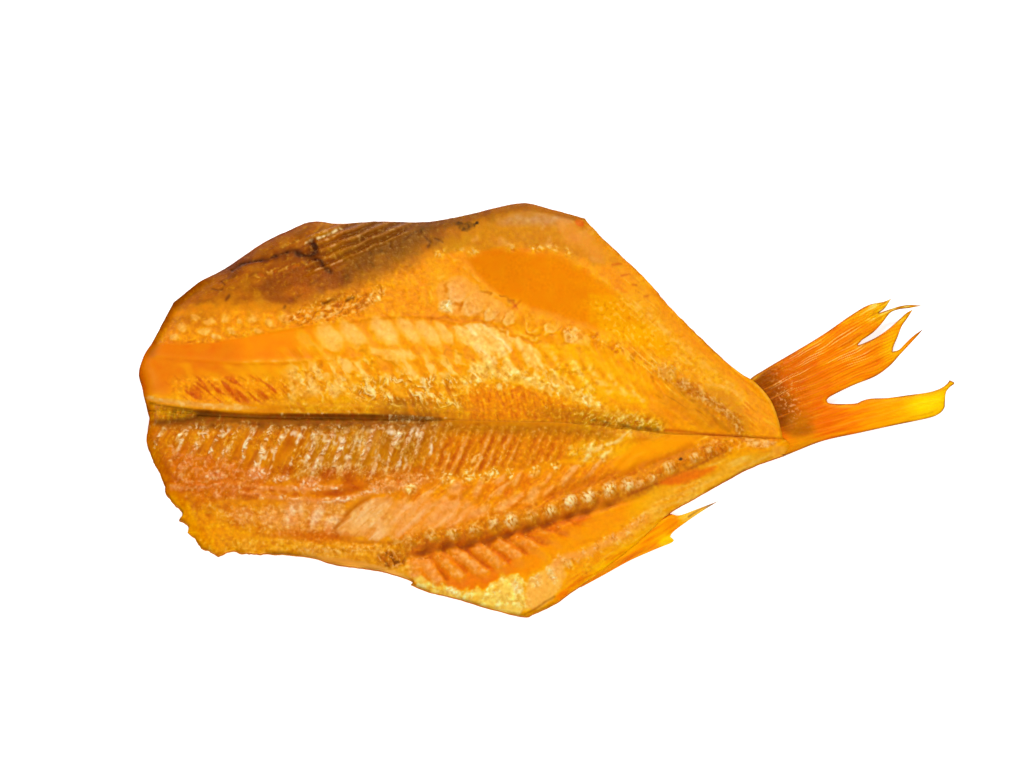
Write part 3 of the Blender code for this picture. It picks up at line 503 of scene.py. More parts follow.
SHORT_SINEW_PX = ((282, 247), (290, 243), (300, 241))
CRACK_KNOT_PX = ((314, 245), (3.4, 3), 0.4, 1.0)
DARK_BLOT_PX = ((455, 224), (466, 221), (474, 223), (470, 229), (461, 229))
BLOT_TIP_PX = ((476.5, 222.3), (1.8, 1.6))
LINING_LEAF_PX = ((258, 296), (8, 4.5), 1.1, 0.8)
TAN_BAND_PX = (
    (428, 250), (445, 234), (475, 222), (505, 210), (530, 206), (560, 212), (584, 220), (600, 240),
    (618, 262), (600, 262), (575, 256), (550, 248), (520, 246), (480, 250),
)
PEACHY_END_PX = ((556, 222), (575, 226), (592, 240), (606, 256), (600, 264), (580, 250), (560, 238))
RIM_EDGE_PX = ((455, 480, 500, 520, 545, 575), (222, 214, 209.5, 206.5, 209.5, 217))
RED_TIP_PX = ((579, 222), (5, 3.5), 0.6)
OLIVE_END_PX = ((432, 246), (448, 236), (470, 234), (466, 244), (445, 252))
TAN_GLINT_BORDER_PX = (
    (430, 256), (440, 253), (465, 252), (486, 251), (505, 249), (524, 248), (552, 248), (566, 252),
)

# Places in the far fillet's middle
LENS_PX = (
    (466, 260), (476, 255), (490, 251), (503, 249), (517, 252), (533, 254), (555, 256), (571, 264),
    (596, 280), (620, 300), (650, 328), (676, 354), (650, 352), (620, 338), (590, 326), (560, 317),
    (528, 307), (510, 301), (490, 288), (474, 272),
)
BAND_FOOT_PX = ((150, 186, 213, 241, 269, 291, 320), (343.5, 343.5, 341.7, 337, 331.5, 327.8, 322))
BAND_TOP_PX = ((160, 200, 295, 315, 335, 352, 400), (318, 309, 308, 301, 293, 284, 262))
CRUMBLY_PX = (
    (284, 320), (292, 310), (310, 300), (332, 294), (352, 292), (372, 296), (366, 308), (344, 316),
    (322, 324), (298, 326),
)
GEM_PX = ((366, 300), (374, 286), (381, 284), (385, 292), (378, 300), (370, 305))
REDDISH_PX = ((202, 364), (7, 4), 0.2, 1.2)
REDDISH_END_PX = ((216, 366), (6, 3), 0, 1.2)
HEAD_GLOW_PX = ((170, 382), (16, 12), 0, 1.3)
BLOTCH_GAPS_PX = (
    (300, 326), (340, 322), (400, 320), (450, 322), (520, 340), (560, 350), (540, 372), (480, 376),
    (400, 374), (330, 372), (296, 352),
)
PALE_BLOCK_PX = (
    (452, 328), (470, 323), (492, 326), (508, 334), (512, 346), (504, 358), (488, 362), (474, 352),
    (460, 342),
)
BLOCK_EDGE_PX = ((449, 322), (455, 336), (468, 350))
BLOCK_FOOT_PX = ((466, 357), (22, 12), 0.3, 1.2)
BAND_GLOW_PX = ((402, 370), (22, 9), 0.2, 1.2)
HEAD_BAND_GLOW_PX = ((302, 388), (16, 9), 0.2, 1.2)
ROSY_DENTS_PX = (
    (434, 290), (446, 276), (462, 274), (480, 286), (496, 298), (512, 308), (516, 320), (496, 324),
    (476, 318), (452, 316), (438, 308),
)
DENT_PITS_PX = ((595, 335), (613, 347), (632, 356), (652, 378), (559, 328))
GLINTING_KNOB_PX = ((447, 306), (7.5, 7), 0, 0.8)
CROSS_DOWN_PX = ((511, 300), (517, 308))
CROSS_UP_PX = ((520, 300), (512, 308))
STRIPE_GROUND_PX = (
    (540, 346), (575, 348), (610, 358), (640, 374), (652, 392), (640, 404), (600, 396), (560, 376),
)
BRIGHT_BORDER_PX = (
    (484, 366), (505, 364), (530, 366), (552, 372), (575, 386), (596, 400), (580, 402), (548, 392),
    (520, 384), (490, 382),
)
STRIPE_BORDER_PX = (
    (466, 380), (484, 374), (505, 376), (525, 380), (548, 386), (572, 396), (592, 404), (614, 413),
    (640, 421),
)
STRIATED_PX = (
    (448, 412), (456, 400), (470, 390), (500, 387), (530, 388), (556, 396), (580, 406), (606, 420),
    (590, 424), (540, 421), (480, 419), (452, 418),
)

# Places by the fold and at the far fillet's tail end
FOLD_REDS_PX = (
    ((196, 394), (11, 4)), ((238, 396), (15, 5)), ((262, 394), (8, 3)), ((394, 402), (5, 8)),
    ((412, 407), (9, 5)), ((402, 404), (16, 8)), ((431, 403), (5, 6)),
)
FOLD_BLOT_PX = ((410, 410), (31, 10), 0.1, 1.0)
STRANDS_GLOW_PX = ((306, 390), (18, 9), 0.1, 1.3)
POCKED_PX = ((585, 300), (640, 300), (700, 352), (745, 390), (730, 400), (690, 372), (640, 346), (600, 330))
OLIVE_HOLLOW_PX = (
    (708, 386), (722, 390), (736, 398), (744, 410), (752, 430), (738, 426), (726, 410), (714, 398),
)
HOLLOW_RIM_PX = ((706, 384), (722, 386), (736, 392), (742, 400))
LOWER_END_PX = (
    (655, 392), (680, 394), (700, 404), (722, 418), (736, 430), (712, 430), (688, 418), (664, 404),
)
STRAND_LUMP_PX = ((665, 374), (11, 7), 0.5, 0.9)
STRAND_GLOW_PX = ((690, 396), (20, 8), 0.5, 1.3)
STRAND_PX = ((680, 383), (693, 390), (706, 398), (720, 408), (733, 419), (740, 430))
STRAND_LINE_PX = ((682, 381), (694, 384), (708, 394), (722, 404), (736, 416))
STRAND_DITCH_PX = ((678, 388), (690, 398), (704, 408), (716, 419), (728, 430))
FAR_EDGE_LINE_PX = ((579, 265), (595, 275), (612, 286), (640, 307), (665, 330), (700, 360), (742, 392))
EDGE_BAND_PX = ((592, 240), (612, 258), (640, 286), (665, 314), (700, 348))
OUTER_BAND_PX = ((662, 308), (690, 338), (724, 368), (752, 392), (770, 418))
EDGE_NICKS_PX = (
    ((612, 264), (620, 263)), ((621, 275), (629, 273.5)), ((632, 284), (636, 284.5)),
    ((644, 296), (648, 295)),
)
FLAP_EDGE_PX = ((750, 381), (760, 390.5), (768, 400.5), (774, 412), (778, 424), (780, 436))
FLAP_GLOW_PX = ((766, 431), (16, 7), 0.1, 1.2)

# Places on the skin and the fins
FAR_LATERAL_LINE_PX = ((160, 365), (300, 352), (450, 352), (600, 372), (760, 425))
NEAR_LATERAL_LINE_PX = ((170, 470), (300, 480), (450, 478), (600, 462), (760, 446))
TAIL_NOTCH_PX = ((892, 344), (10, 16), 0.4, 1.2)
TAIL_GLOW_PX = ((926, 403), (20, 8), -0.2, 1.0)
ROOT_REACH_PX = ((0, 12), (250, 272))
ROOT_SHADOW_PX = ((375, 400, 440), (770, 784, 786))
TAIL_GREY_PX = ((797, 424), (12, 12), 0.3, 1.2)
TAIL_BROWN_PX = ((803, 432), (10, 6), -0.4, 1.3)
TAIL_SCALES_PX = ((786, 394), (11, 26), -0.35, 1.2)
TAIL_JOINT_PX = ((798, 446), (20, 9), -0.25, 1.2)
TAIL_STAIN_PX = ((842, 346), (850, 341), (858, 335))
ANAL_GLOW_PX = ((666, 540), (9, 6), -0.5, 1.0)
ANAL_FIN_CRACK_PX = ((688, 516), (700, 508), (712, 503))

# Thickness (mm) of each fillet from the fold (0) to its edge (1), and the share of it that is left
# from the head cut (0) to the tail (1)
FAR_ACROSS = ((0, 16.0), (0.12, 16.6), (0.3, 15.8), (0.5, 13.6), (0.75, 10.4), (1, 7.6))
FAR_ALONG = ((0, 0.92), (0.15, 1.0), (0.5, 0.94), (0.75, 0.72), (0.92, 0.5), (1, 0.42))
NEAR_ACROSS = ((0, 16.0), (0.1, 15.2), (0.35, 14.0), (0.55, 12.6), (0.8, 8.2), (1, 5.4))
NEAR_ALONG = ((0, 0.92), (0.15, 1.0), (0.5, 0.94), (0.75, 0.72), (0.92, 0.5), (1, 0.42))
# How far in from the edge the top rounds over (mm), from the head cut (0) to the tail (1)
FAR_ROUND = ((0, 7.0), (0.1, 14.0), (0.45, 12.0), (0.62, 6.0), (1, 3.0))
NEAR_ROUND = ((0, 6.0), (0.3, 7.0), (0.45, 6.0), (0.62, 7.0), (1, 4.0))

# Colours, as red, green and blue from 0 to 255
ORANGE = (248, 152, 10)
BRIGHT_ORANGE = (253, 140, 2)
GOLD = (247, 165, 24)
AMBER = (214, 120, 6)
# The red-brown of the painted shade along the line under the far flap
FLAP_LINE_SHADE = (192, 88, 2)
# The cream of the painted highlights on wet threads
HIGHLIGHT_CREAM = (255, 232, 190)
THREAD_SHADOW = (150, 68, 4)
ANAL_ORANGE = (253, 152, 14)
FIN_ORANGE = (249, 138, 6)
SKIN_GOLD = (226, 138, 42)
SKIN_COPPER = (188, 92, 28)


def camera_axes():
    """The photograph's line of sight and the directions of its width and height."""
    sight = np.array([0, math.cos(VIEW_ELEVATION), -math.sin(VIEW_ELEVATION)])
    right = np.array([1.0, 0, 0])
    up = np.array([0, math.sin(VIEW_ELEVATION), math.cos(VIEW_ELEVATION)])
    return sight, right, up


def camera_place():
    """Where the photograph was taken from, aiming at the middle of its frame."""
    scale = OVERALL_LENGTH / LENGTH_PX
    aim = np.array([
        (FRAME_PX[0] / 2 - MIDDLE_PX[0]) * scale,
        (MIDDLE_PX[1] - FRAME_PX[1] / 2) * scale / math.sin(VIEW_ELEVATION),
        0,
    ])
    return aim - camera_axes()[0] * scale * FOCAL_PX


def line_of_sight(places, height):
    """The points at that height, in metres, which the photograph shows at these pixels."""
    places = np.asarray(places, float)
    sight, right, up = camera_axes()
    start = camera_place()
    ways = (
        sight * FOCAL_PX
        + np.outer(places[:, 0] - FRAME_PX[0] / 2, right)
        + np.outer(FRAME_PX[1] / 2 - places[:, 1], up)
    )
    reach = (height - start[2]) / ways[:, 2]
    return (start + ways * reach[:, None])[:, :2]


def pixel_of(x, y, height):
    """The pixels, u and v, at which the photograph shows these points."""
    sight, right, up = camera_axes()
    from_camera = np.column_stack([x, y, height]) - camera_place()
    depth = from_camera @ sight
    u = FRAME_PX[0] / 2 + FOCAL_PX * (from_camera @ right) / depth
    v = FRAME_PX[1] / 2 - FOCAL_PX * (from_camera @ up) / depth
    return u, v


def smooth_line(knots, per_span=8):
    """Points on the Catmull-Rom curve through the knots."""
    knots = np.asarray(knots, float)
    ends = np.vstack([2 * knots[0] - knots[1], knots, 2 * knots[-1] - knots[-2]])
    t = np.linspace(0, 1, per_span, endpoint=False)[:, None]
    spans = [
        0.5 * (2 * b + (c - a) * t + (2 * a - 5 * b + 4 * c - d) * t**2 + (3 * b - a - 3 * c + d) * t**3)
        for a, b, c, d in zip(ends, ends[1:], ends[2:], ends[3:])
    ]
    return np.vstack([*spans, knots[-1:]])


def at(place, knots):
    """The value at a place on the smooth curve through (place, value) knots, level past its ends."""
    line = smooth_line(knots)
    return np.interp(place, line[:, 0], line[:, 1])


def ease(t):
    """A smooth step from 0 to 1 as t goes from 0 to 1."""
    t = np.clip(t, 0, 1)
    return t * t * (3 - 2 * t)


def window(x, ends, soft):
    """1 between the two ends, falling to 0 over a soft width outside them."""
    low, high = ends
    return ease((x - low) / soft + 1) * ease((high - x) / soft + 1)


def hump(x, width):
    """A smooth bump: 1 at x = 0, and next to nothing a few widths away."""
    return np.exp(-((x / width) ** 2))


def wave(phase):
    """A wave whose crests lie at whole numbers."""
    return np.cos(2 * math.pi * phase)


def spaced(spacing):
    """Pixels along u, and how many ridges of this changing spacing lie before each."""
    u = np.arange(0.0, FRAME_PX[0])
    return u, np.cumsum(1 / at(u, spacing))


def distance_to(x, y, line, closed=True):
    """How far each point is from the line."""
    nearest = np.full(np.shape(x), np.inf)
    ends = np.roll(line, -1, axis=0) if closed else line[1:]
    for (ax, ay), (bx, by) in zip(line, ends):
        dx, dy = bx - ax, by - ay
        t = np.clip(((x - ax) * dx + (y - ay) * dy) / (dx * dx + dy * dy), 0, 1)
        nearest = np.minimum(nearest, (x - ax - t * dx) ** 2 + (y - ay - t * dy) ** 2)
    return np.sqrt(nearest)


def inside(x, y, loop):
    """Which points the closed loop encloses."""
    found = np.zeros(np.shape(x), bool)
    for (ax, ay), (bx, by) in zip(loop, np.roll(loop, -1, axis=0)):
        if ay != by:
            crosses = (ay > y) != (by > y)
            found ^= crosses & (x < (bx - ax) * (y - ay) / (by - ay) + ax)
    return found


def noise(u, v, size, seed, stretch=1.0, turn=0.0):
    """Smooth random hills, about -1 to 1, of this size, drawn out along a direction."""
    count = 128
    slopes = np.random.default_rng(seed).uniform(0, 2 * math.pi, (count, count))
    along = (u * math.cos(turn) + v * math.sin(turn)) / (size * stretch)
    across = (v * math.cos(turn) - u * math.sin(turn)) / size
    cell_a, cell_b = np.floor(along).astype(int), np.floor(across).astype(int)
    total = 0
    for step_a in (0, 1):
        for step_b in (0, 1):
            slope = slopes[(cell_a + step_a) % count, (cell_b + step_b) % count]
            off_a, off_b = along - cell_a - step_a, across - cell_b - step_b
            share = ease(1 - np.abs(off_a)) * ease(1 - np.abs(off_b))
            total = total + share * (np.cos(slope) * off_a + np.sin(slope) * off_b)
    return 1.6 * total


def rough(u, v, size, seed, layers=3, **drawn):
    """Noise in layers, each half the size and strength of the one before."""
    parts = [noise(u, v, size / 2**i, seed + 31 * i, **drawn) / 2**i for i in range(layers)]
    return sum(parts)


def veins(u, v, size, seed, width=0.1, **drawn):
    """A web of thin curving lines, 1 on them and 0 between."""
    return hump(noise(u, v, size, seed, **drawn), width)


def bent(u, v, size, seed, amount=0.5):
    """The places shifted by smooth random ways, so that patterns read there bend."""
    return u + amount * size * noise(u, v, size, seed), v + amount * size * noise(u, v, size, seed + 1)


def boxed(u, v, line, margin):
    """Which points lie in the line's box, widened by the margin."""
    low, high = line.min(axis=0) - margin, line.max(axis=0) + margin
    return (u > low[0]) & (u < high[0]) & (v > low[1]) & (v < high[1])


def stroke(u, v, knots, width):
    """1 along the smooth line through the knots, falling to 0 over the width beside it."""
    line = smooth_line(knots, 5)
    near = boxed(u, v, line, 3 * width)
    found = np.zeros(len(u))
    found[near] = hump(distance_to(u[near], v[near], line, closed=False), width)
    return found


def region(u, v, knots, soft=6.0, ragged=0.0, size=8.0, seed=1):
    """1 inside the smooth closed outline through the knots, with a soft and ragged edge."""
    wrapped = smooth_line([*knots[-2:], *knots, *knots[:2]], 5)
    loop = wrapped[10:-10]
    near = boxed(u, v, loop, soft + 1.5 * ragged)
    found = np.zeros(len(u))
    p, q = u[near], v[near]
    depth = np.where(inside(p, q, loop), 1, -1) * distance_to(p, q, loop)
    found[near] = ease((depth + ragged * rough(p, q, size, seed, 2)) / soft + 0.5)
    return found


def oval(u, v, centre, radii, turn=0.0, soft=0.5):
    """1 in an oval patch, falling to 0 over its edge."""
    du, dv = u - centre[0], v - centre[1]
    a = (du * math.cos(turn) + dv * math.sin(turn)) / radii[0]
    b = (dv * math.cos(turn) - du * math.sin(turn)) / radii[1]
    return 1 - ease((np.hypot(a, b) - 1 + soft / 2) / soft)


class Surface:
    """Points of the fish, where the photograph shows them, with their relief and looks."""

    def __init__(self, u, v, colour):
        self.u = u
        self.v = v
        self.relief = np.zeros(len(u))
        self.tint = np.tile(np.array(colour, float) / 255, (len(u), 1))
        self.gloss = np.full(len(u), 0.45)
        self.grit = np.full(len(u), 0.35)

    def paint(self, colour, share):
        share = np.clip(share, 0, 1)[:, None]
        self.tint += (np.array(colour) / 255 - self.tint) * share

    def mottle(self, share, pattern, *tones):
        """Paints tones by a pattern's height: each a colour, a gain, a start and how strong it is."""
        for colour, gain, start, strength in tones:
            self.paint(colour, share * ease(pattern * gain + start) * strength)

    def patch(self, colour, share, *form):
        """Paints the region of this form, and gives how far each point is in it."""
        found = region(self.u, self.v, *form)
        self.paint(colour, share * found)
        return found

    def line(self, colour, share, *form):
        """Paints the stroke of this form, and gives how far each point is on it."""
        found = stroke(self.u, self.v, *form)
        self.paint(colour, share * found)
        return found

    def spot(self, colour, share, *form):
        """Paints the oval of this form, and gives how far each point is in it."""
        found = oval(self.u, self.v, *form)
        self.paint(colour, share * found)
        return found

    def shade(self, factor):
        """Makes the tint darker and redder, or lighter and yellower."""
        self.tint *= np.asarray(factor)[:, None] ** np.array([0.6, 1.3, 2.0])

    def finish(self, share, gloss=None, grit=None):
        share = np.clip(share, 0, 1)
        if gloss is not None:
            self.gloss += (gloss - self.gloss) * share
        if grit is not None:
            self.grit += (grit - self.grit) * share


def painted_glint_threads(top, share, size, seed, colour=HIGHLIGHT_CREAM, strength=0.85, width=0.15, shadow=0.5, **drawn):
    """Fine raised threads of membrane, each with a painted highlight along it and a painted shadow line
    below it.
    """
    u, v = bent(top.u, top.v, 2 * size, seed + 3)
    line = veins(u, v, size, seed, width, **drawn)
    under = veins(u, v - 1.7, size, seed, width, **drawn)
    share = np.clip(share, 0, 1)
    # Painted shadow a little below each thread, then the painted highlight on the thread.
    top.paint(THREAD_SHADOW, shadow * share * under * (1 - line))
    top.paint(colour, strength * share * line)
    top.relief += 0.16 * MM * share * line
    top.finish(share, gloss=0.95, grit=0.8)


def glint_specks(top, share, size, seed, colour=(255, 228, 154), strength=0.8, pits=0.5, **drawn):
    """Small uneven pale specks of wet tissue, mostly painted glints, with painted shade in the lower pits
    between them.
    """
    u, v = bent(top.u, top.v, 1.6 * size, seed + 5, 0.45)
    pattern = rough(u, v, size, seed, 2, **drawn)
    share = np.clip(share, 0, 1)
    # Painted shade in the pits, and the pale specks, mostly painted glints, on the raised places.
    top.paint((190, 92, 14), pits * share * ease(-pattern * 2.2 - 0.3))
    top.paint(colour, strength * share * ease(pattern * 2.4 - 0.3))
    top.relief += 0.2 * MM * share * pattern
    top.finish(share, gloss=0.95, grit=0.85)


# The fold

def fold_share(u, v):
    """How far down the fold each pixel is: 0 at the far lip, 1 at the near shoulder."""
    lip = at(u, LIP_PX)
    return (v - lip) / (at(u, SHOULDER_PX) - lip)


def fold_relief(u, v):
    """A wall under the far lip, and a floor that rises gently to the near fillet."""
    lip = at(u, LIP_PX)
    t = fold_share(u, v)
    wall = ease(t / FOLD_FLOOR)
    rise = ease((FOLD_REACH - t) / (FOLD_REACH - FOLD_FLOOR))
    lip_bead = LIP_HEIGHT * hump(v - lip + 6, 4) * window(u, (150, 470), 40)
    return lip_bead - MM * at(u, FOLD_DEPTH) * np.minimum(wall, rise)


def fold_shade(top):
    """Painted shade under the lip: brown, darkest at its top, with pale specks, and dull olive towards the
    tail.
    """
    u, v = top.u, top.v
    speck = rough(u, v, 5, 501, 3)
    ragged = 1.6 * noise(u, v, 7, 507) + 0.8 * noise(u, v, 3, 508)
    start = at(u, SHADE_TOP_PX)
    end = at(u, SHADE_FOOT_PX)
    between = ease((v - start) / 2.5 + 0.5) * (1 - ease((v - end - 1.5 + ragged) / 5 + 0.5))
    shade = between * window(u, (168, 424), 26)
    top.paint((146, 80, 16), 0.95 * shade)
    top.mottle(shade, speck, ((162, 64, 6), 2, 0, 0.6))
    sway = 0.4 * noise(u, v / 2, 13, 510) + 0.25 * noise(u, v, 5, 511)
    deep = shade * (1 - ease(((v - start) / (end - start) - 0.12 + sway) / 0.6))
    patchy = 0.75 + 0.5 * noise(u, v / 3, 9, 512)
    top.paint((104, 50, 8), deep * at(u, SHADE_DEPTH) * patchy * (1 - 0.6 * ease(speck * 2.4)))
    glint_specks(top, shade * ease(noise(u, v, 6, 515) * 2 - 0.4), 3.0, 516, (206, 138, 84), 0.55, 0)
    olive = shade * ease((u - 375) / 20)
    top.paint((158, 112, 58), 0.6 * olive)
    glint_specks(top, olive, 2.8, 509, (236, 206, 150), 0.6, 0.3, stretch=2, turn=1.9)


def fold_lump(top):
    """The mustard lump in the head end of the fold, with a painted shadow along its foot."""
    u, v = top.u, top.v
    speck = rough(u, v, 5, 501, 3)
    lump = region(u, v, LUMP_PX, 4, 2)
    top.paint((222, 142, 20), lump * (0.85 + 0.3 * speck))
    top.paint((160, 106, 16), lump * ease((u - 158) / 16) * ease(0.8 + speck * 1.5) * 0.9)
    glint_specks(top, lump, 3.2, 514, (226, 160, 44), 0.5, 0.5)
    top.line((120, 70, 10), 0.6, LUMP_TOP_PX, 1.0)
    top.relief += 1.0 * MM * lump
    # Painted shadow along the foot of the lump.
    top.line((112, 56, 6), 0.75, LUMP_SHADOW_PX, 2.6)


def fold_fringe(top):
    """The foot of the fold: muddy brown, ragged bites of painted shade, and pale specks painted as glints,
    some just under the lip.
    """
    u, v = top.u, top.v
    start = at(u, SHADE_TOP_PX)
    end = at(u, SHADE_FOOT_PX)
    fringe = hump(v - end - 3, 4) * window(u, (168, 450), 20)
    top.paint((172, 100, 36), 0.6 * fringe)
    # Painted shade: brown bites that make the foot of the shade ragged.
    bites = hump(v - end - 1, 4.5) * window(u, (200, 430), 15) * ease(noise(u, v, 8, 517) * 2.2 + 0.25)
    top.paint((126, 64, 10), 0.7 * bites)
    glint_specks(top, fringe * ease(0.35 + 1.3 * noise(u, v, 12, 502)), 3.4, 503, (250, 220, 172), 0.8, 0.3)
    # Painted glints: pale specks just under the lip.
    specks = hump(v - start, 1.1) * window(u, (255, 450), 15) * ease(noise(u, v / 2, 4.5, 504) * 3 - 0.9)
    top.paint((255, 230, 180), 0.7 * specks)


def fold_slit(top):
    """The narrow slit that the fold becomes, with painted shade in it, and painted shade along the line
    under the far flap.
    """
    u, v = top.u, top.v
    dull = hump(v - at(u, SHOULDER_PX) - 4.5, 7) * window(u, (450, 600), 30)
    top.paint((190, 114, 28), 0.75 * dull)
    slit_fuzz = hump(v - at(u, LIP_PX) + 4, 8) * window(u, (585, 655), 18)
    top.paint((196, 138, 30), slit_fuzz * 0.7)
    glint_specks(top, slit_fuzz, 2.6, 505, (252, 214, 120), 0.75, 0.7, stretch=3.0, turn=-0.75)
    # Painted shade in the slit.
    slit = stroke(u, v, SLIT_PX, 1.5)
    top.paint((96, 60, 12), 0.6 * slit * ease(0.7 + noise(u, v, 7, 506)))
    # Painted shade along the line under the far flap.
    line = stroke(u, v, FLAP_LINE_PX, 1.5)
    top.paint(FLAP_LINE_SHADE, 0.75 * line * (1 - 0.6 * ease((u - 735) / 30)))


# The near fillet

def paint_near_ground(top):
    """The near fillet's flesh: amber by the fold, orange below the seam."""
    u, v = top.u, top.v
    upper = 1 - ease((v - np.interp(u, *AMBER_FOOT_PX)) / 14 + 0.5)
    mottle = rough(u, v, 26, 21, 3)
    top.paint((222, 128, 10), 0.8 * upper)
    top.paint(AMBER, upper * ease(0.4 + mottle) * window(u, (140, 470), 50))
    top.paint(GOLD, ease(mottle) * (1 - upper) * 0.5)
    head_edge = ease((182 - u + 6 * mottle) / 20) * ease((510 - v) / 20)
    top.paint((212, 112, 20), 0.75 * head_edge)
    top.patch((238, 148, 12), 1, HEAD_CORNER_PX, 14, 4)
    top.shade(1 + 0.05 * rough(u, v, 7, 22, 3))


def near_ridges(top):
    """Pin bones with the muscle between them, irregular and sinewy at the head end."""
    u, v = top.u, top.v
    below = v - at(u, SHOULDER_PX)
    crown = u.copy()
    for _ in range(5):
        crown = u + at(crown, PIN_SLANT) * below
    fringe = 6 * noise(crown, below / 9, 9, 31)
    zone = window(below, (5, 120), 5) * (1 - ease((below - at(crown, PIN_REACH) + fringe) / 9 + 1))
    zone = zone * window(crown, (156, 608), 14)
    wild = 1 - ease((crown - 400) / 70)
    sway = (0.05 + 0.24 * wild) * rough(crown, below / 2.2, 15, 32, 2)
    phase = np.interp(crown, *spaced(PIN_SPACING)) + sway
    crest = 0.5 + 0.5 * wave(phase)
    strength = 0.75 + 0.55 * noise(crown, below / 2.5, 17, 33)
    grain = noise(crown, below / 6, 3.0, 34)
    bumps = wave(phase) * (0.6 + 0.4 * wild) + (0.3 + 0.25 * wild) * grain
    top.relief += PIN_BONE_HEIGHT * zone * strength * bumps
    neat = zone * (1 - wild)
    neat_ridges(top, neat, crown, below, crest, grain)
    lobes = zone * wild
    straw = lobes * window(crown, (335, 440), 40)
    lobe_ground(top, lobes, straw, crown, below)
    lobe_threads(top, lobes, straw, crown, below, crest)
    lobe_glints(top, lobes, crown, below)
    top.finish(neat, gloss=0.65, grit=0.65)


def neat_ridges(top, neat, crown, below, crest, grain):
    """The regular pin bones: pale crests and rust-red valleys, partly the flesh's colour and partly painted
    light and shade, with painted glints.
    """
    patchy = ease(0.65 + 1.2 * noise(crown, below / 2, 12, 47)) * (1 - 0.6 * ease((crown - 512) / 50))
    top.paint((226, 124, 12), neat * 0.8)
    # Darker in the valleys and paler on the crests: partly painted shade and light.
    top.paint((196, 86, 6), neat * ease((1 - crest) * 1.9 - 0.9 + 0.4 * grain) * patchy * 0.85)
    top.paint((238, 156, 78), neat * ease(crest * 2 - 0.9 + 0.6 * grain) * (0.4 + 0.6 * patchy) * 0.9)
    wet = neat * ease(noise(top.u, top.v, 16, 48) * 1.5)
    glint_specks(top, wet, 3.6, 49, (252, 206, 140), 0.6, 0.4, stretch=2.4, turn=1.95)


def lobe_ground(top, lobes, straw, crown, below):
    """The colours under the sinewy lobes: amber, with a straw patch and rust along their feet."""
    u, v = top.u, top.v
    top.paint((208, 112, 4), lobes * 0.75)
    top.paint((232, 140, 16), lobes * ease(noise(crown, below / 2, 14, 35)) * 0.7)
    top.paint((180, 78, 2), lobes * ease(-noise(crown, below / 3, 11, 36) * 1.6) * 0.6)
    top.paint((190, 118, 34), 0.65 * straw)
    top.paint((164, 94, 26), 0.6 * lobes * oval(u, v, *STRAW_SHADE_PX))
    top.paint((216, 150, 74), 0.5 * lobes * oval(u, v, *STRAW_SHINE_PX))
    low = lobes * hump(below - 52, 9) * ease(noise(u, v, 13, 37) * 2)
    top.paint((170, 66, 4), 0.7 * low)


def lobe_threads(top, lobes, straw, crown, below, crest):
    """The pale membrane over the lobes and its threads, with painted highlights on the threads and painted
    shadow lines below them.
    """
    u, v = top.u, top.v
    sheet = ease(crest * 1.9 - 1.05 + 0.95 * noise(crown, below / 2, 12, 38)) * lobes
    hairs = noise(crown, below / 7, 2.6, 46)
    top.mottle(lobes, hairs, ((240, 158, 50), 1.6, -0.2, 0.5), ((186, 84, 4), -1.6, -0.4, 0.5))
    top.paint((230, 156, 96), (0.55 + 0.2 * straw) * sheet)
    painted_glint_threads(top, sheet, 4.8, 39, (255, 234, 190), 0.95, 0.17, 0.6, stretch=1.5, turn=1.95)
    straw_threads = 0.6 * straw * ease(0.4 + 1.4 * noise(u, v, 14, 613))
    painted_glint_threads(top, straw_threads, 4.4, 612, (250, 226, 160), 0.8, 0.13, 0.9, stretch=3.6, turn=1.95)
    long_threads = lobes * ease(0.25 + 1.5 * noise(u, v, 24, 40)) * 0.8
    bare = long_threads * (1 - sheet)
    painted_glint_threads(top, bare, 6.5, 41, (255, 206, 120), 0.6, 0.06, stretch=2.6, turn=1.95)


def lobe_glints(top, lobes, crown, below):
    """Specks of light under the fold, on the lobes and along their feet."""
    u, v = top.u, top.v
    under_fold = hump(below - 9, 9) * window(u, (180, 470), 25) * ease(0.35 + 1.6 * noise(u, v, 13, 42))
    glint_specks(top, under_fold, 3.8, 43, (255, 228, 180), 0.7, 0.3, stretch=1.5, turn=1.9)
    glints = lobes * ease(noise(u, v, 15, 44) * 3 - 1.1) * hump(below - 26, 22)
    top.paint((255, 240, 204), 0.7 * glints * ease(0.5 + noise(u, v, 3.5, 45) * 1.5))
    for centre, radii, turn in GLINTS_PX:
        broken = ease(0.35 + 1.9 * noise(u, v, 3.6, 616, stretch=2.2, turn=1.9))
        glint = oval(u, v, centre, radii, turn, 1.3) * broken
        top.paint((255, 238, 208), 0.8 * glint)
        top.relief += 0.2 * MM * glint
    foot = hump(below - 48, 8) * window(crown, (330, 420), 25) * ease(0.5 + 1.2 * noise(u, v, 12, 614))
    top.paint((232, 164, 88), 0.6 * foot)
    glint_specks(top, foot, 4.0, 615, (255, 226, 170), 0.7, 0.4, stretch=1.5, turn=1.9)


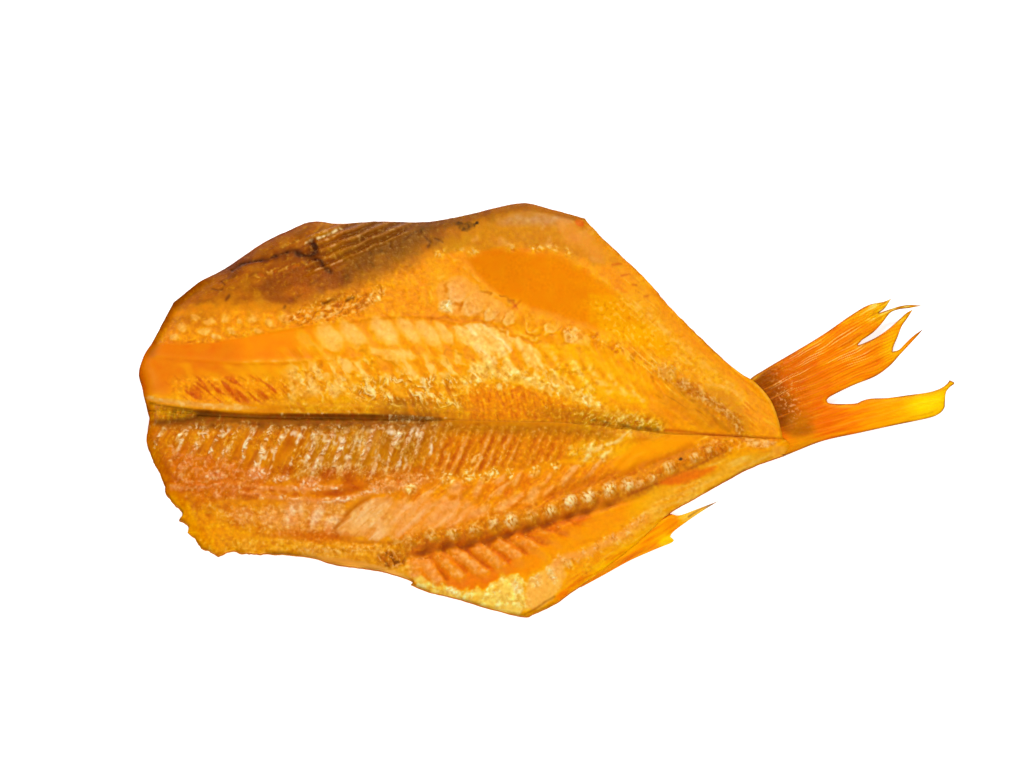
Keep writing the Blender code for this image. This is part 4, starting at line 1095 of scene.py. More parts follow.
def near_seams(top):
    """The double seam across the near fillet: rosy crinkled crests with painted glints, red between them,
    and spots of painted shade.
    """
    u, v = top.u, top.v
    band = stroke(u, v, SEAM_BAND_PX, 11)
    band = band * window(u, (180, 430), 30)
    top.paint((216, 108, 18), 0.75 * band)
    crinkle = rough(u, v, 7, 52, 2, stretch=2.0, turn=0.15)
    top.mottle(band, crinkle, ((236, 146, 70), 2, -0.1, 0.75), ((188, 70, 6), -2, -0.35, 0.75))
    top.relief += 0.25 * MM * band * crinkle
    for number, seam in enumerate(SEAMS_PX[:2]):
        crest = stroke(u, v, seam, 3.6)
        top.relief += SEAM_HEIGHT * crest * (0.75 + 0.35 * noise(u, v, 7, 51 + number))
        top.paint((238, 150, 84), 0.75 * crest)
        wet = crest * ease(0.5 + 1.2 * noise(u, v, 9, 53 + number))
        glint_specks(top, wet, 3.6, 55 + number, (255, 226, 180), 0.85, 0.3, stretch=1.6)
    line = stroke(u, v, SEAM_LINE_PX, 1.7)
    top.paint((196, 76, 6), 0.55 * line * ease(0.45 + 1.2 * noise(u, v, 9, 65)))
    # Spots of painted shade beside the seam.
    for centre, radii in SEAM_SHADE_SPOTS_PX:
        top.paint((182, 70, 6), 0.6 * oval(u, v, centre, radii, 0, 1.2))


def rosy_flesh(top):
    """Rosy flesh at the head end of the seam, and the pale lumps and knots along it, with painted glints
    and a painted shade below the knots.
    """
    u, v = top.u, top.v
    rosy = region(u, v, ROSY_FLESH_PX, 14, 5, 7, 57)
    top.paint((224, 120, 48), 0.75 * rosy)
    glint_specks(top, rosy, 4.4, 58, (238, 154, 96), 0.55, 0.35, stretch=1.7, turn=-0.7)
    for number, (centre, radii) in enumerate(SEAM_LUMPS_PX):
        lump = oval(u, v, centre, radii, -0.1, 1.0)
        top.paint((240, 156, 96), 0.7 * lump)
        top.relief += 0.25 * MM * lump
        glint_specks(top, lump, 3.8, 600 + number, (255, 230, 190), 0.8, 0.5)
    knots = top.patch((236, 146, 64), 0.6, SEAM_KNOTS_PX, 8, 5, 7, 59)
    glint_specks(top, knots * ease(0.5 + noise(u, v, 10, 60)), 4.2, 64, (254, 214, 150), 0.75, 0.7)
    top.spot((198, 104, 24), 0.5, *KNOT_SHADE_PX)


def near_swellings(top):
    """Glossy swellings below the seam, the ones further from the head with painted highlights on their
    tops.
    """
    u, v = top.u, top.v
    drift = rough(u, v, 16, 61, 3)
    left = region(u, v, SWELLING_GROUND_PX, 10, 3)
    pink = ease((u - 255) / 30)
    top.paint((228, 136, 40), 0.8 * left)
    top.paint((200, 92, 8), left * ease(-drift * 1.8) * (0.7 - 0.3 * pink))
    top.mottle(left, drift, ((240, 152, 48), 1.6, 0, 0.6))
    top.paint((242, 168, 96), 0.45 * left * pink)
    for centre, radii, turn in SWELLS_PX:
        swell = oval(u, v, centre, radii, turn, 0.9)
        top.relief += 0.45 * MM * swell
        highlit = centre[0] > HIGHLIT_SWELLS_FROM_PX
        top.paint((246, 160, 82), (0.7 + 0.2 * highlit) * swell)
        # A painted highlight on the top of each swelling further from the head.
        pale = oval(u, v, (centre[0] + 1, centre[1] - 1), (radii[0] * 0.75, radii[1] * 0.85), turn, 1.4)
        broken = ease(0.6 + 0.9 * rough(u, v, 9, 62, 2, stretch=2, turn=1.6))
        top.paint((255, 214, 166), 0.9 * pale * broken * highlit)
        top.finish(swell, gloss=0.75, grit=0.7)
    glint_specks(top, 0.45 * left * ease((v - 498) / 8), 4, 63, (252, 206, 140), 0.7, 0.6)


def peach_patch(top):
    """The large peach patch with its slanting hairs, a painted shine and painted glints, and the sunken
    crease round it, darkened with painted shade.
    """
    u, v = top.u, top.v
    patch = top.patch((243, 167, 86), 0.95, PEACH_PATCH_PX, 6, 3, 10, 64)
    top.paint((253, 196, 128), patch * ease(noise(u, v, 13, 65, stretch=2, turn=-0.8) * 1.7 + 0.1) * 0.7)
    top.paint((228, 134, 46), patch * ease(-noise(u, v, 8, 66, stretch=2.5, turn=-0.8) * 1.8) * 0.6)
    hairs = noise(u, v, 2.6, 79, stretch=5, turn=-0.75)
    top.mottle(patch, hairs, ((255, 214, 158), 2, -0.5, 0.6), ((222, 124, 44), -2, -0.6, 0.5))
    top.paint((251, 198, 128), 0.7 * oval(u, v, *PATCH_SHINE_PX) * ease(0.8 + hairs))
    top.relief += MM * patch * (0.25 + 0.12 * rough(u, v, 4.5, 67, 2))
    glint_specks(top, 0.5 * patch * ease(0.5 + noise(u, v, 18, 68)), 3.0, 69, (255, 214, 156), 0.6, 0.1)
    top.finish(patch, gloss=0.5, grit=0.35)
    # The sunken crease, darkened with painted shade.
    crease = top.line((184, 84, 14), 0.7, PATCH_CREASE_PX, 2.6)
    top.relief -= 0.3 * MM * crease


def belly_strip(top):
    """The granular strip along the belly edge, with a pale ledge below it."""
    u, v = top.u, top.v
    edge_rows = np.interp(u, *STRIP_TOP_PX)
    strip = ease((v - edge_rows + 3 * noise(u, v, 9, 70)) / 6) * window(u, (205, 408), 14)
    top.paint((250, 172, 60), 0.9 * strip)
    top.paint((230, 134, 14), strip * ease(rough(u, v, 11, 76, 2) * 1.6) * 0.6)
    glint_specks(top, 0.5 * strip, 4.0, 71, (252, 190, 90), 0.6, 0.5)
    top.spot((202, 84, 20), 0.55, *RUSTY_LINE_PX)
    ledge = region(u, v, LEDGE_PX, 3, 1, 6, 72)
    top.relief -= 0.5 * MM * ledge
    top.paint((253, 182, 88), 0.95 * ledge)
    top.finish(ledge, gloss=0.4, grit=0.2)


def belly_corners(top):
    """The dark tangle beside the ribs, and the orange torn corner at the head end."""
    u, v = top.u, top.v
    tangle = oval(u, v, *TANGLE_PX)
    curls = ease(rough(u, v, 6, 73, 2) * 2.4)
    top.paint((190, 98, 20), 0.7 * tangle)
    top.paint((104, 50, 8), 0.75 * tangle * curls)
    top.relief += MM * tangle * (0.35 - 0.5 * curls)
    glint_specks(top, tangle, 4.5, 74, (250, 190, 130), 0.7, 0.6)
    corner = top.patch((246, 152, 20), 0.85, TORN_CORNER_PX, 10, 4)
    top.paint((253, 176, 40), corner * ease(rough(u, v, 14, 77, 2) * 1.5) * 0.5)
    top.paint((222, 120, 6), corner * ease(-rough(u, v, 10, 78, 2, stretch=2, turn=1.2) * 1.6) * 0.5)
    glint_specks(top, 0.25 * corner, 4.0, 75, (252, 184, 70), 0.6, 0.4)


def near_feathers(top):
    """Curved muscle blocks that sweep down from the pin bones to the backbone."""
    u, v = top.u, top.v
    off = at(u, COLUMN_PX) - v
    p, q = bent(u, v, 18, 81, 0.14)
    lean = p + 1.15 * (q - 474)
    zone = window(off, (9, 999), 5) * ease((v - np.interp(u, *FEATHER_TOP_PX)) / 9)
    zone = zone * window(u, (405, 640), 20)
    top.paint((240, 138, 14), 0.85 * zone)
    phase = (lean - 478) / 17 + 0.16 * noise(u, v, 30, 82)
    saw = phase % 1
    blocks = zone * ease(0.75 + noise(u, v, 16, 83))
    top.relief += 0.25 * MM * zone * np.sin(2 * math.pi * saw)
    top.paint((248, 164, 86), blocks * hump(saw - 0.35, 0.27) * 0.95)
    top.paint((251, 186, 112), blocks * hump(saw - 0.28, 0.12) * ease(0.3 + noise(u, v, 8, 89)) * 0.7)
    broken = ease(0.5 + 1.4 * noise(u, v, 9, 77))
    top.paint((218, 104, 6), zone * (hump(saw - 0.96, 0.1) + hump(saw + 0.04, 0.1)) * 0.65 * broken)
    fine = noise(lean, v / 3, 2.6, 84)
    top.mottle(zone, fine, ((218, 108, 8), 1.8, -0.2, 0.5), ((250, 168, 60), -1.8, -0.4, 0.4))
    top.finish(zone, gloss=0.55, grit=0.5)


def slanting_flesh(top):
    """Pale slanting flesh between the peach patch and the muscle blocks, their lobes, each with a painted
    shadow below it, and knots with painted glints.
    """
    u, v = top.u, top.v
    p, q = bent(u, v, 18, 81, 0.14)
    left = top.patch((247, 164, 84), 0.9, SLANTING_FLESH_PX, 12, 4, 9, 80)
    slant = noise(p, q, 5, 79, stretch=4, turn=-0.75)
    top.mottle(left, slant, ((240, 140, 40), 2, -0.3, 0.55), ((255, 196, 134), -2, -0.2, 0.5))
    glint_specks(top, 0.35 * left, 4.2, 78, (255, 206, 140), 0.6, 0.4)
    top.finish(left, gloss=0.5, grit=0.2)
    for centre, radii, turn in FEATHERS_PX:
        # A painted shadow below and to the right of each lobe.
        top.paint((208, 98, 10), 0.55 * oval(p, q, (centre[0] + 2, centre[1] + 2.5), radii, turn, 0.8))
        lobe = oval(p, q, centre, radii, turn, 0.9)
        top.paint((248, 160, 76), 0.7 * lobe)
        top.paint((253, 190, 118), 0.45 * oval(p, q, centre, (0.7 * radii[0], 0.5 * radii[1]), turn, 1.2))
        top.relief += 0.25 * MM * lobe
    for centre in FEATHER_DOTS_PX:
        top.paint((232, 112, 0), 0.6 * oval(p, q, centre, (4, 7), 0.5, 1.2))
    for centre, radius in KNOTS_PX:
        knot = oval(p, q, centre, (radius, 1.15 * radius), 0.3, 1.0)
        top.paint((250, 178, 74), 0.6 * knot)
        top.relief += 0.3 * MM * knot
        glint_specks(top, 1.2 * knot, 4.0, 85, (255, 236, 160), 0.9)


def golden_flesh(top):
    """Golden flesh with painted glints, and streaks and a patch of painted highlight at the tail end of the
    muscle blocks.
    """
    u, v = top.u, top.v
    p, q = bent(u, v, 18, 81, 0.14)
    golden = region(u, v, GOLDEN_FLESH_PX, 10, 3, 8, 86)
    top.paint((248, 172, 40), 0.7 * golden)
    wet = 0.6 * golden * ease(0.6 + noise(u, v, 12, 87))
    glint_specks(top, wet, 3.4, 88, (255, 228, 130), 0.8, 0.5, stretch=1.8, turn=-0.5)
    # Painted highlights: bright streaks.
    for knots, width in FEATHER_GLINT_STREAKS_PX:
        streak = stroke(p, q, knots, width) * ease(0.8 + noise(u, v, 3.4, 76, stretch=2, turn=-0.6))
        top.paint((255, 222, 140), 0.85 * streak)
        top.relief += 0.2 * MM * streak
    # Painted highlight: a soft pale patch.
    top.paint((251, 186, 66), 0.7 * oval(p, q, *GOLDEN_HIGHLIGHT_PX))
    for centre in FEATHER_DASHES_PX:
        top.paint((206, 116, 50), 0.5 * oval(p, q, centre, (9, 3), -0.75, 1.3))


def backbone(top):
    """The backbone's rusty ground, its trench and the shade beside it."""
    u, v = top.u, top.v
    p, q = bent(u, v, 9, 91, 0.2)
    off = v - at(u, COLUMN_PX)
    shown = window(u, (404, 720), 14)
    core = hump(off, 8) * shown
    trench = hump(off - TRENCH_BELOW, 5.5) * window(u, (410, 640), 25)
    top.relief += 0.75 * COLUMN_HEIGHT * core - 0.8 * COLUMN_TRENCH * trench
    above = top.line((208, 106, 12), 0.75, ABOVE_COLUMN_PX, 5)
    top.relief -= 0.3 * MM * above
    fibres = rough(p, q, 3.6, 92, 2, stretch=1.8, turn=1.2)
    top.paint((214, 112, 14), 0.9 * core)
    top.mottle(core, fibres, ((232, 146, 50), 1.6, -0.1, 0.6), ((176, 84, 6), -1.8, -0.3, 0.6))
    below = hump(off - TRENCH_BELOW + 3, 6.5) * np.interp(u, *COLUMN_SHADE)
    top.paint((206, 100, 10), 0.8 * below)
    top.finish(core, gloss=0.95, grit=0.9)


def vertebrae(top):
    """The vertebrae, knobbly and pale on top, partly painted highlight, with painted shade on their lower
    right sides and in the hollows below them.
    """
    u, v = top.u, top.v
    p, q = bent(u, v, 9, 91, 0.2)
    fibres = rough(p, q, 3.6, 92, 2, stretch=1.8, turn=1.2)
    # Painted shade in the hollows below the vertebrae.
    for centre, strength in HOLLOW_SHADES_PX:
        hollow = oval(p, q, centre, (8, 3.2), -0.45, 1.7)
        top.paint((146, 58, 4), 0.95 * strength * hollow)
        top.relief -= 0.5 * MM * hollow
    for centre, radius, pale in KNOBS_PX:
        knob = oval(p, q, centre, (1.15 * radius, 1.2 * radius), 0.4, 0.9)
        top.paint((230, 142, 46), 0.7 * knob)
        heart = oval(p, q, (centre[0] - 0.5, centre[1] - 0.5), (0.78 * radius, 0.88 * radius), 0.4, 1.2)
        top.relief += VERTEBRA_HEIGHT * heart + 0.3 * MM * heart * fibres
        spokes = noise(p, q, 2.3, 94 + round(centre[0]), stretch=1.6, turn=1.3)
        # Pale top of each knob, partly painted highlight.
        top.paint((255, 222, 156), pale * heart * ease(0.72 + 1.5 * spokes))
        top.paint((196, 110, 16), 0.55 * heart * ease(-2 * spokes - 0.35))
        # Painted shade on the lower right side of each knob.
        shaded_side_middle = (centre[0] + 0.7 * radius, centre[1] + 0.55 * radius)
        side = oval(p, q, shaded_side_middle, (0.6 * radius, 0.5 * radius), 0.4, 1.2)
        top.paint((188, 104, 12), 0.5 * side)


def backbone_ends(top):
    """The pale tube before the vertebrae, with painted glints, and the streaks and a painted glow behind
    them.
    """
    tube = top.line((228, 146, 56), 0.5, COLUMN_TUBE_PX, 4)
    glint_specks(top, 0.8 * tube, 4, 93, (252, 206, 130), 0.6)
    top.relief += 0.35 * MM * tube
    top.line((176, 80, 8), 0.6, COLUMN_LOW_LINE_PX, 1.6)
    top.patch((238, 106, 0), 0.85, RUSTY_STREAK_PX, 5, 1)
    top.spot((250, 178, 56), 0.6, *COLUMN_GLOW_PX)
    top.spot((44, 16, 6), 0.9, *BLACK_DOT_PX)


def rib_cells(top):
    """Rounded lobes between the ribs, which slant from the backbone to the belly edge, with a painted
    highlight along each lobe and painted shade in the gaps and creases between them.
    """
    u, v = top.u, top.v
    ground = top.patch((240, 118, 4), 0.95, RIB_GROUND_PX, 8, 2)
    top.paint((228, 98, 0), ground * ease(noise(u, v, 14, 101) * 1.6) * 0.5)
    p, q = bent(u, v, 10, 103, 0.14)
    speck = 0.85 + 0.25 * rough(u, v, 4, 104, 2)
    triangle = region(p, q, RIB_TRIANGLE_PX, 7, 2)
    top.paint((250, 168, 96), 0.85 * triangle * speck)
    for line, strength in RIB_LINES_PX:
        deep = stroke(p, q, [(a - 8.5, b + 11) for a, b in line], 3.4)
        top.paint((240, 112, 2), 0.6 * strength * deep)
        pale = stroke(p, q, [(a - 4.2, b + 5.8) for a, b in line], 5.6)
        top.paint((245, 152, 66), strength * ease(1.6 * pale) * speck)
        # Painted highlight along each lobe.
        shine = stroke(p, q, [(a - 3, b + 4) for a, b in line], 3.6)
        top.paint((253, 188, 118), 0.65 * strength * shine * ease(0.5 + 1.3 * noise(u, v, 6, 107)))
        # Painted shade in the gap and the crease beside each rib.
        gap = stroke(p, q, [(a + 3.2, b - 4.2) for a, b in line], 3.4)
        top.paint((230, 100, 0), 0.9 * strength * gap)
        dark = stroke(p, q, [(a + 0.8, b - 1) for a, b in line], 2.0)
        top.paint((186, 76, 4), 0.9 * strength * dark)
        top.relief += MM * strength * (0.7 * pale - 0.5 * dark - 0.15 * deep)
    top.finish(ground, gloss=0.55, grit=0.45)
    roots = hump(v - at(u, COLUMN_PX) - 19, 4) * window(u, (412, 560), 12)
    glint_specks(top, roots * ease(noise(u, v, 7, 105) * 2), 3.6, 106, (252, 190, 130), 0.7, 0.5)


def near_valley(top):
    """The smooth orange valley between the ribs and the lower edge."""
    u, v = top.u, top.v
    valley = top.patch((254, 152, 8), 0.92, VALLEY_PX, 10, 3, 12, 111)
    top.paint((240, 114, 0), valley * ease((555 - u) / 80) * 0.85)
    top.relief -= 0.4 * MM * valley
    arcs = noise(u + 0.4 * v, v, 5, 112, stretch=6, turn=-0.25)
    top.paint((236, 130, 8), valley * ease(arcs * 1.5 - 0.3) * ease((u - 530) / 30) * 0.55)
    top.finish(valley, gloss=0.45, grit=0.25)


def belly_rim(top):
    """The pale yellow rim of the belly, its wedge beside the anal fin, and their glints."""
    u, v = top.u, top.v
    rim = top.patch((255, 212, 94), 0.95, PALE_RIM_PX, 7, 4, 8, 113)
    top.paint((252, 178, 56), rim * ease(noise(u, v, 9, 121) * 2) * 0.5)
    top.paint((253, 210, 108), rim * ease((u - 478) / 20) * 0.3)
    glint_specks(top, rim * ease(0.65 + noise(u, v, 11, 114)), 5.2, 115, (255, 238, 150), 0.85, 0.15)
    top.patch((255, 186, 88), 0.9, WEDGE_PX, 8, 2)
    for centre, radii, turn, strength in BELLY_GLINTS_PX:
        glint = oval(u, v, centre, radii, turn, 1.1)
        top.paint((253, 206, 126), 0.7 * strength * glint)
        glint_specks(top, strength * glint, 3.6, 116, (255, 240, 178), 0.9, 0.2)


def fin_base(top):
    """The anal fin's fibrous base, with a painted shine and glow, and the pale crest above it, with painted
    glints.
    """
    u, v = top.u, top.v
    skirt = region(u, v, FIN_BASE_PX, 8, 3, 10, 117)
    fibres = noise(u, v, 3.0, 118, stretch=9, turn=-0.6)
    top.paint((255, 162, 26), 0.95 * skirt)
    top.mottle(skirt, fibres, ((236, 116, 0), 1.8, -0.2, 0.75), ((255, 190, 60), -1.8, -0.2, 0.7))
    hairs = noise(u, v, 1.9, 122, stretch=14, turn=-0.55)
    top.mottle(skirt, hairs, ((214, 100, 4), 2, -0.6, 0.6), ((255, 204, 104), -2, -0.6, 0.6))
    top.relief += 0.14 * MM * skirt * (fibres + 0.6 * hairs)
    crest = stroke(u, v, FIN_CREST_PX, 7.5)
    crest = crest * window(u, (550, 690), 20)
    top.paint((248, 164, 82), 0.85 * crest)
    wet = 0.8 * crest * ease(0.5 + noise(u, v, 9, 119))
    glint_specks(top, wet, 3.4, 120, (255, 214, 156), 0.8, 0.5, stretch=1.5, turn=1.1)
    top.relief += 0.3 * MM * crest
    top.paint((250, 198, 92), 0.8 * oval(u, v, *FIN_BASE_SHINE_PX) * ease(0.8 + fibres))
    top.spot((255, 190, 70), 0.45, *FIN_BASE_GLOW_PX)
    top.line((160, 88, 20), 0.6, FIN_SEAM_PX, 1.2)
    top.spot((250, 118, 0), 0.7, *FIN_BASE_ORANGE_PX)
    top.line((190, 120, 40), 0.55, HEM_PX, 1.6)


def near_tail_end(top):
    """Towards the tail: long streaks that converge, a pink patch by the fold's end with painted glints, and
    a painted shine.
    """
    u, v = top.u, top.v
    shown = ease((u - 628) / 40)
    streaks = noise(u, v, 3.6, 131, stretch=10, turn=-0.42)
    top.paint((246, 162, 34), 0.55 * shown)
    top.paint((252, 184, 70), 0.6 * shown * ease((v - 446) / 14))
    top.mottle(shown, streaks, ((242, 138, 12), 1.5, 0, 0.5), ((255, 200, 92), -1.7, -0.15, 0.65))
    top.relief += 0.16 * MM * shown * streaks
    arc = region(u, v, TAIL_ARC_PX, 10, 2, 9, 132)
    top.paint((254, 158, 14), 0.85 * arc)
    top.finish(arc, gloss=0.35, grit=0.2)
    top.line((251, 180, 68), 0.5, TAIL_PALE_LINE_PX, 5)
    rosy = top.patch((236, 140, 44), 0.65, TAIL_ROSY_PX, 8, 2)
    patch = top.patch((248, 172, 84), 0.9, TAIL_PATCH_PX, 5, 1)
    glint_specks(top, 0.8 * np.maximum(patch, rosy), 4, 133, (254, 204, 140), 0.6, 0.5)
    top.spot((248, 200, 100), 0.85, *TAIL_END_SHINE_PX)
    top.spot((238, 160, 40), 0.75, *TAIL_END_GOLD_PX)
    top.patch((250, 168, 62), 0.9, TAIL_TIP_PX, 5, 1)


# The far fillet

def paint_far_ground(top):
    """The far fillet's flesh: bright orange with golden mottling, tan along the upper edge."""
    u, v = top.u, top.v
    mottle = rough(u, v, 30, 201, 3)
    top.paint(GOLD, ease(mottle + 0.15) * 0.7)
    top.paint(BRIGHT_ORANGE, ease(-mottle - 0.1) * window(u, (140, 330), 60) * 0.6)
    top.shade(1 + 0.04 * rough(u, v, 12, 202, 3))


def lining(top):
    """The brown belly lining with its rib marks, black crack and small torn places."""
    brown = lining_ground(top)
    marks = lining_marks(top)
    lining_sinews(top)
    lining_crack(top)
    lining_blot(top)
    top.finish(brown, gloss=0.75, grit=0.5)
    top.finish(marks, gloss=0.95, grit=0.6)


def lining_ground(top):
    """The lining's browns: rusty in its middle, grey towards the tail and warm at the head end."""
    u, v = top.u, top.v
    border = np.interp(u, *LINING_FOOT_PX)
    depth = border - v + 5 * rough(u, v, 14, 211, 3)
    brown = ease(depth / (22 + 10 * ease((u - 340) / 30)) + 0.3)
    clouds = rough(u, v, 20, 212, 3, stretch=1.6, turn=-0.4)
    top.paint((206, 124, 14), ease(depth / 14 + 1.2) * 0.6)
    top.paint((172, 92, 6), brown)
    top.mottle(brown, clouds, ((192, 118, 14), 1.5, 0, 0.8), ((132, 58, 2), -1.5, 0, 0.75))
    top.patch((146, 64, 0), 0.75, RUST_CLOUD_PX, 20, 5, 12, 213)
    top.spot((190, 98, 0), 0.7, *RUST_SPOT_PX)
    top.spot((140, 60, 0), 0.6, *RUST_FOOT_PX)
    grey = brown * ease((u - 318) / 50)
    top.paint((126, 74, 24), 0.85 * grey)
    top.paint((100, 64, 24), grey * ease(rough(u, v, 8, 214, 2) * 1.4 - 0.4) * 0.6)
    warm = brown * ease((215 - u) / 40)
    top.paint((184, 96, 6), 0.85 * warm)
    top.spot((176, 92, 6), 0.5, *WARM_SPOT_PX)
    drawn = noise(u, v, 5, 218, stretch=4, turn=-0.5)
    top.mottle(brown, drawn, ((112, 52, 4), 2, -0.5, 0.45), ((206, 132, 40), -2, -0.7, 0.4))
    top.line((150, 88, 14), 0.45, LINING_EDGE_PX, 5)
    return brown


def lining_marks(top):
    """The marks that the ribs left on the lining, darker in their grooves and paler on their crests, partly
    painted shade and light, with painted highlights on some crests.
    """
    u, v = top.u, top.v
    across = v - LINING_CENTRE_PX[1] + LINING_SLOPE * (u - LINING_CENTRE_PX[0]) + 1.2 * noise(u, v, 14, 215)
    half = LINING_PITCH * LINING_MARKS / 2
    marks = window(across, (-half, half), 4) * window(u, LINING_ENDS_PX, 12)
    crest = 0.5 + 0.5 * wave(across / LINING_PITCH)
    top.relief += BELLY_RIB_HEIGHT * marks * (2 * crest - 1)
    # Partly painted shade in the grooves, partly painted light on the crests.
    top.paint((118, 58, 6), marks * (1 - crest) ** 2 * 0.6)
    top.paint((190, 126, 60), marks * crest**3 * 0.5)
    shiny = marks * crest**4 * ease(0.1 + 1.5 * noise(u, v, 7, 216)) * window(u, (316, 352), 12)
    top.paint((236, 186, 140), 0.6 * shiny)
    return marks


def lining_sinews(top):
    """A painted white highlight along a rib mark, and two bright sinews with painted glints."""
    u, v = top.u, top.v
    p, q = bent(u, v, 9, 217, 0.18)
    # Painted white highlight along a raised rib mark.
    white = stroke(p, q, WHITE_GLINT_PX, 1.5) * ease(0.75 + noise(u, v, 4, 219))
    top.paint((255, 240, 190), 0.9 * white)
    top.relief += 0.3 * MM * white
    bright = stroke(p, q, LONG_SINEW_PX, 3.5)
    bright += stroke(p, q, SHORT_SINEW_PX, 3)
    glint_specks(top, bright, 4, 220, (236, 184, 90), 0.6, 0.8, stretch=1.8, turn=-0.3)


def lining_crack(top):
    """The black crack with its branch, and small cracks in other places."""
    u, v = top.u, top.v
    p, q = bent(u, v, 9, 217, 0.18)
    around = stroke(p, q, CRACK_PX, 5.5) * ease(0.6 + noise(u, v, 7, 224))
    top.paint((110, 46, 6), 0.75 * around)
    ragged = ease(0.55 + 1.1 * noise(u, v, 4.5, 221))
    thin = stroke(p, q, CRACK_PX[:7], 1.7) * (0.35 + 0.65 * ragged)
    crack = np.maximum(thin, stroke(p, q, CRACK_PX[5:], 2.4))
    branch = stroke(p, q, CRACK_BRANCH_PX, 2.6) * (0.4 + 0.5 * ragged)
    knot = oval(p, q, *CRACK_KNOT_PX)
    top.paint((56, 16, 6), 0.9 * np.maximum(np.maximum(crack, knot), branch))
    top.relief -= CRACK_DEPTH * np.maximum(crack, 0.6 * branch)
    for knots, width in LINING_CRACKS_PX:
        mark = stroke(p, q, knots, 1.2 * width) * ease(0.65 + noise(u, v, 5, 225))
        top.paint((92, 42, 8), 0.65 * mark)
        top.relief -= 0.15 * MM * mark


def lining_blot(top):
    """A dark blot by the tan band, and a pale leaf-shaped mark by the head end."""
    u, v = top.u, top.v
    p, q = bent(u, v, 9, 217, 0.18)
    blot = region(p, q, DARK_BLOT_PX, 3, 2.5, 5, 222)
    tangle = 0.55 + 0.45 * ease(noise(u, v, 3.5, 223) * 3)
    top.paint((84, 52, 16), 0.85 * blot * tangle)
    top.spot((30, 16, 8), 0.8, *BLOT_TIP_PX)
    top.spot((212, 146, 40), 0.5, *LINING_LEAF_PX)


def upper_rim(top):
    """The tan band along the upper edge, with its thin brown rim, and pale painted glints along its lower
    border.
    """
    u, v = top.u, top.v
    tan = top.patch((212, 136, 38), 0.92, TAN_BAND_PX, 12, 4, 12, 231)
    top.paint((228, 156, 76), tan * ease(rough(u, v, 15, 232, 2) * 1.6) * 0.7)
    top.paint((206, 134, 16), tan * ease(-rough(u, v, 20, 233, 2)) * 0.6)
    rosy = 0.95 * tan * ease((230 - v) / 14) * ease((585 - u) / 30) * ease((u - 470) / 20)
    top.paint((206, 152, 104), rosy)
    top.shade(1 + 0.07 * tan * rough(u, v, 5, 236, 2))
    top.patch((236, 152, 64), 0.8, PEACHY_END_PX, 12, 3)
    top.finish(tan, gloss=0.4, grit=0.25)
    edge = np.interp(u, *RIM_EDGE_PX)
    rim = ease((edge - v + 5.0) / 4) * window(u, (440, 575), 25)
    top.paint((150, 88, 44), 0.85 * rim)
    top.spot((226, 96, 4), 0.85, *RED_TIP_PX)
    top.patch((206, 142, 20), 0.7, OLIVE_END_PX, 8, 2)
    # Pale painted glints along the tan band's lower border.
    border = stroke(u, v, TAN_GLINT_BORDER_PX, 4.5)
    patchy = ease(0.3 + 1.6 * noise(u, v, 12, 234))
    top.paint((250, 184, 84), 0.5 * border * patchy)
    glint_specks(top, border * patchy, 4.2, 235, (254, 220, 136), 0.8, 0.3, stretch=1.6, turn=1.2)


def orange_lens(top):
    """The smooth saturated hollow above the row of dents."""
    u, v = top.u, top.v
    lens = top.patch((240, 138, 0), 0.97, LENS_PX, 9, 1.5, 16, 241)
    top.paint((230, 130, 0), lens * ease((555 - u) / 50) * ease((300 - v) / 30) * 0.7)
    drift = noise(u, v, 22, 242, stretch=2.5, turn=0.45)
    top.paint((248, 154, 0), lens * ease((u - 570) / 40) * 0.8)
    top.paint((228, 126, 0), lens * ease(drift) * 0.4)
    pores = noise(u, v, 2.8, 243) * ease(0.6 + noise(u, v, 18, 244))
    top.shade(1 + 0.05 * lens * pores)
    top.relief -= 0.35 * MM * lens
    top.finish(lens, gloss=0.08, grit=0.08)


def granular_band(top):
    """The granular band left of the lining, with its pale lumps, each with a painted shadow below it, and
    painted glints along its lower seam.
    """
    u, v = top.u, top.v
    lower = np.interp(u, *BAND_FOOT_PX)
    upper = np.interp(u, *BAND_TOP_PX)
    gran = ease((v - upper) / 8 + 0.3) * ease((lower - v) / 3 + 0.3) * window(u, (158, 420), 20)
    crumbs = rough(u, v, 9, 251, 3)
    top.paint((248, 154, 18), 0.85 * gran)
    top.mottle(gran, crumbs, ((252, 178, 62), 1.7, -0.2, 0.4), ((238, 136, 8), -1.7, -0.1, 0.35))
    top.relief += 0.2 * MM * gran * crumbs
    top.paint((202, 112, 12), 0.75 * gran * ease((232 - u) / 34) * ease((334 - v) / 16))
    top.finish(gran, gloss=0.6, grit=0.5)
    p, q = bent(u, v, 9, 262, 0.3)
    for centre, radii in PEARLS_PX:
        pearl = oval(p, q, centre, radii, 0.2, 0.9)
        # A painted shadow a little below each lump, then the lump.
        top.paint((226, 124, 10), 0.45 * oval(p, q, (centre[0] + 1, centre[1] + 2.5), radii, 0.2, 0.8))
        top.paint((254, 192, 96), 0.8 * pearl)
        top.relief += 0.35 * MM * pearl
    lower_seam = hump(v - lower + 3, 4) * window(u, (160, 300), 12)
    glint_specks(top, lower_seam * ease(0.3 + 1.5 * noise(u, v, 12, 252)), 4, 253, (254, 208, 120), 0.6, 0.3)


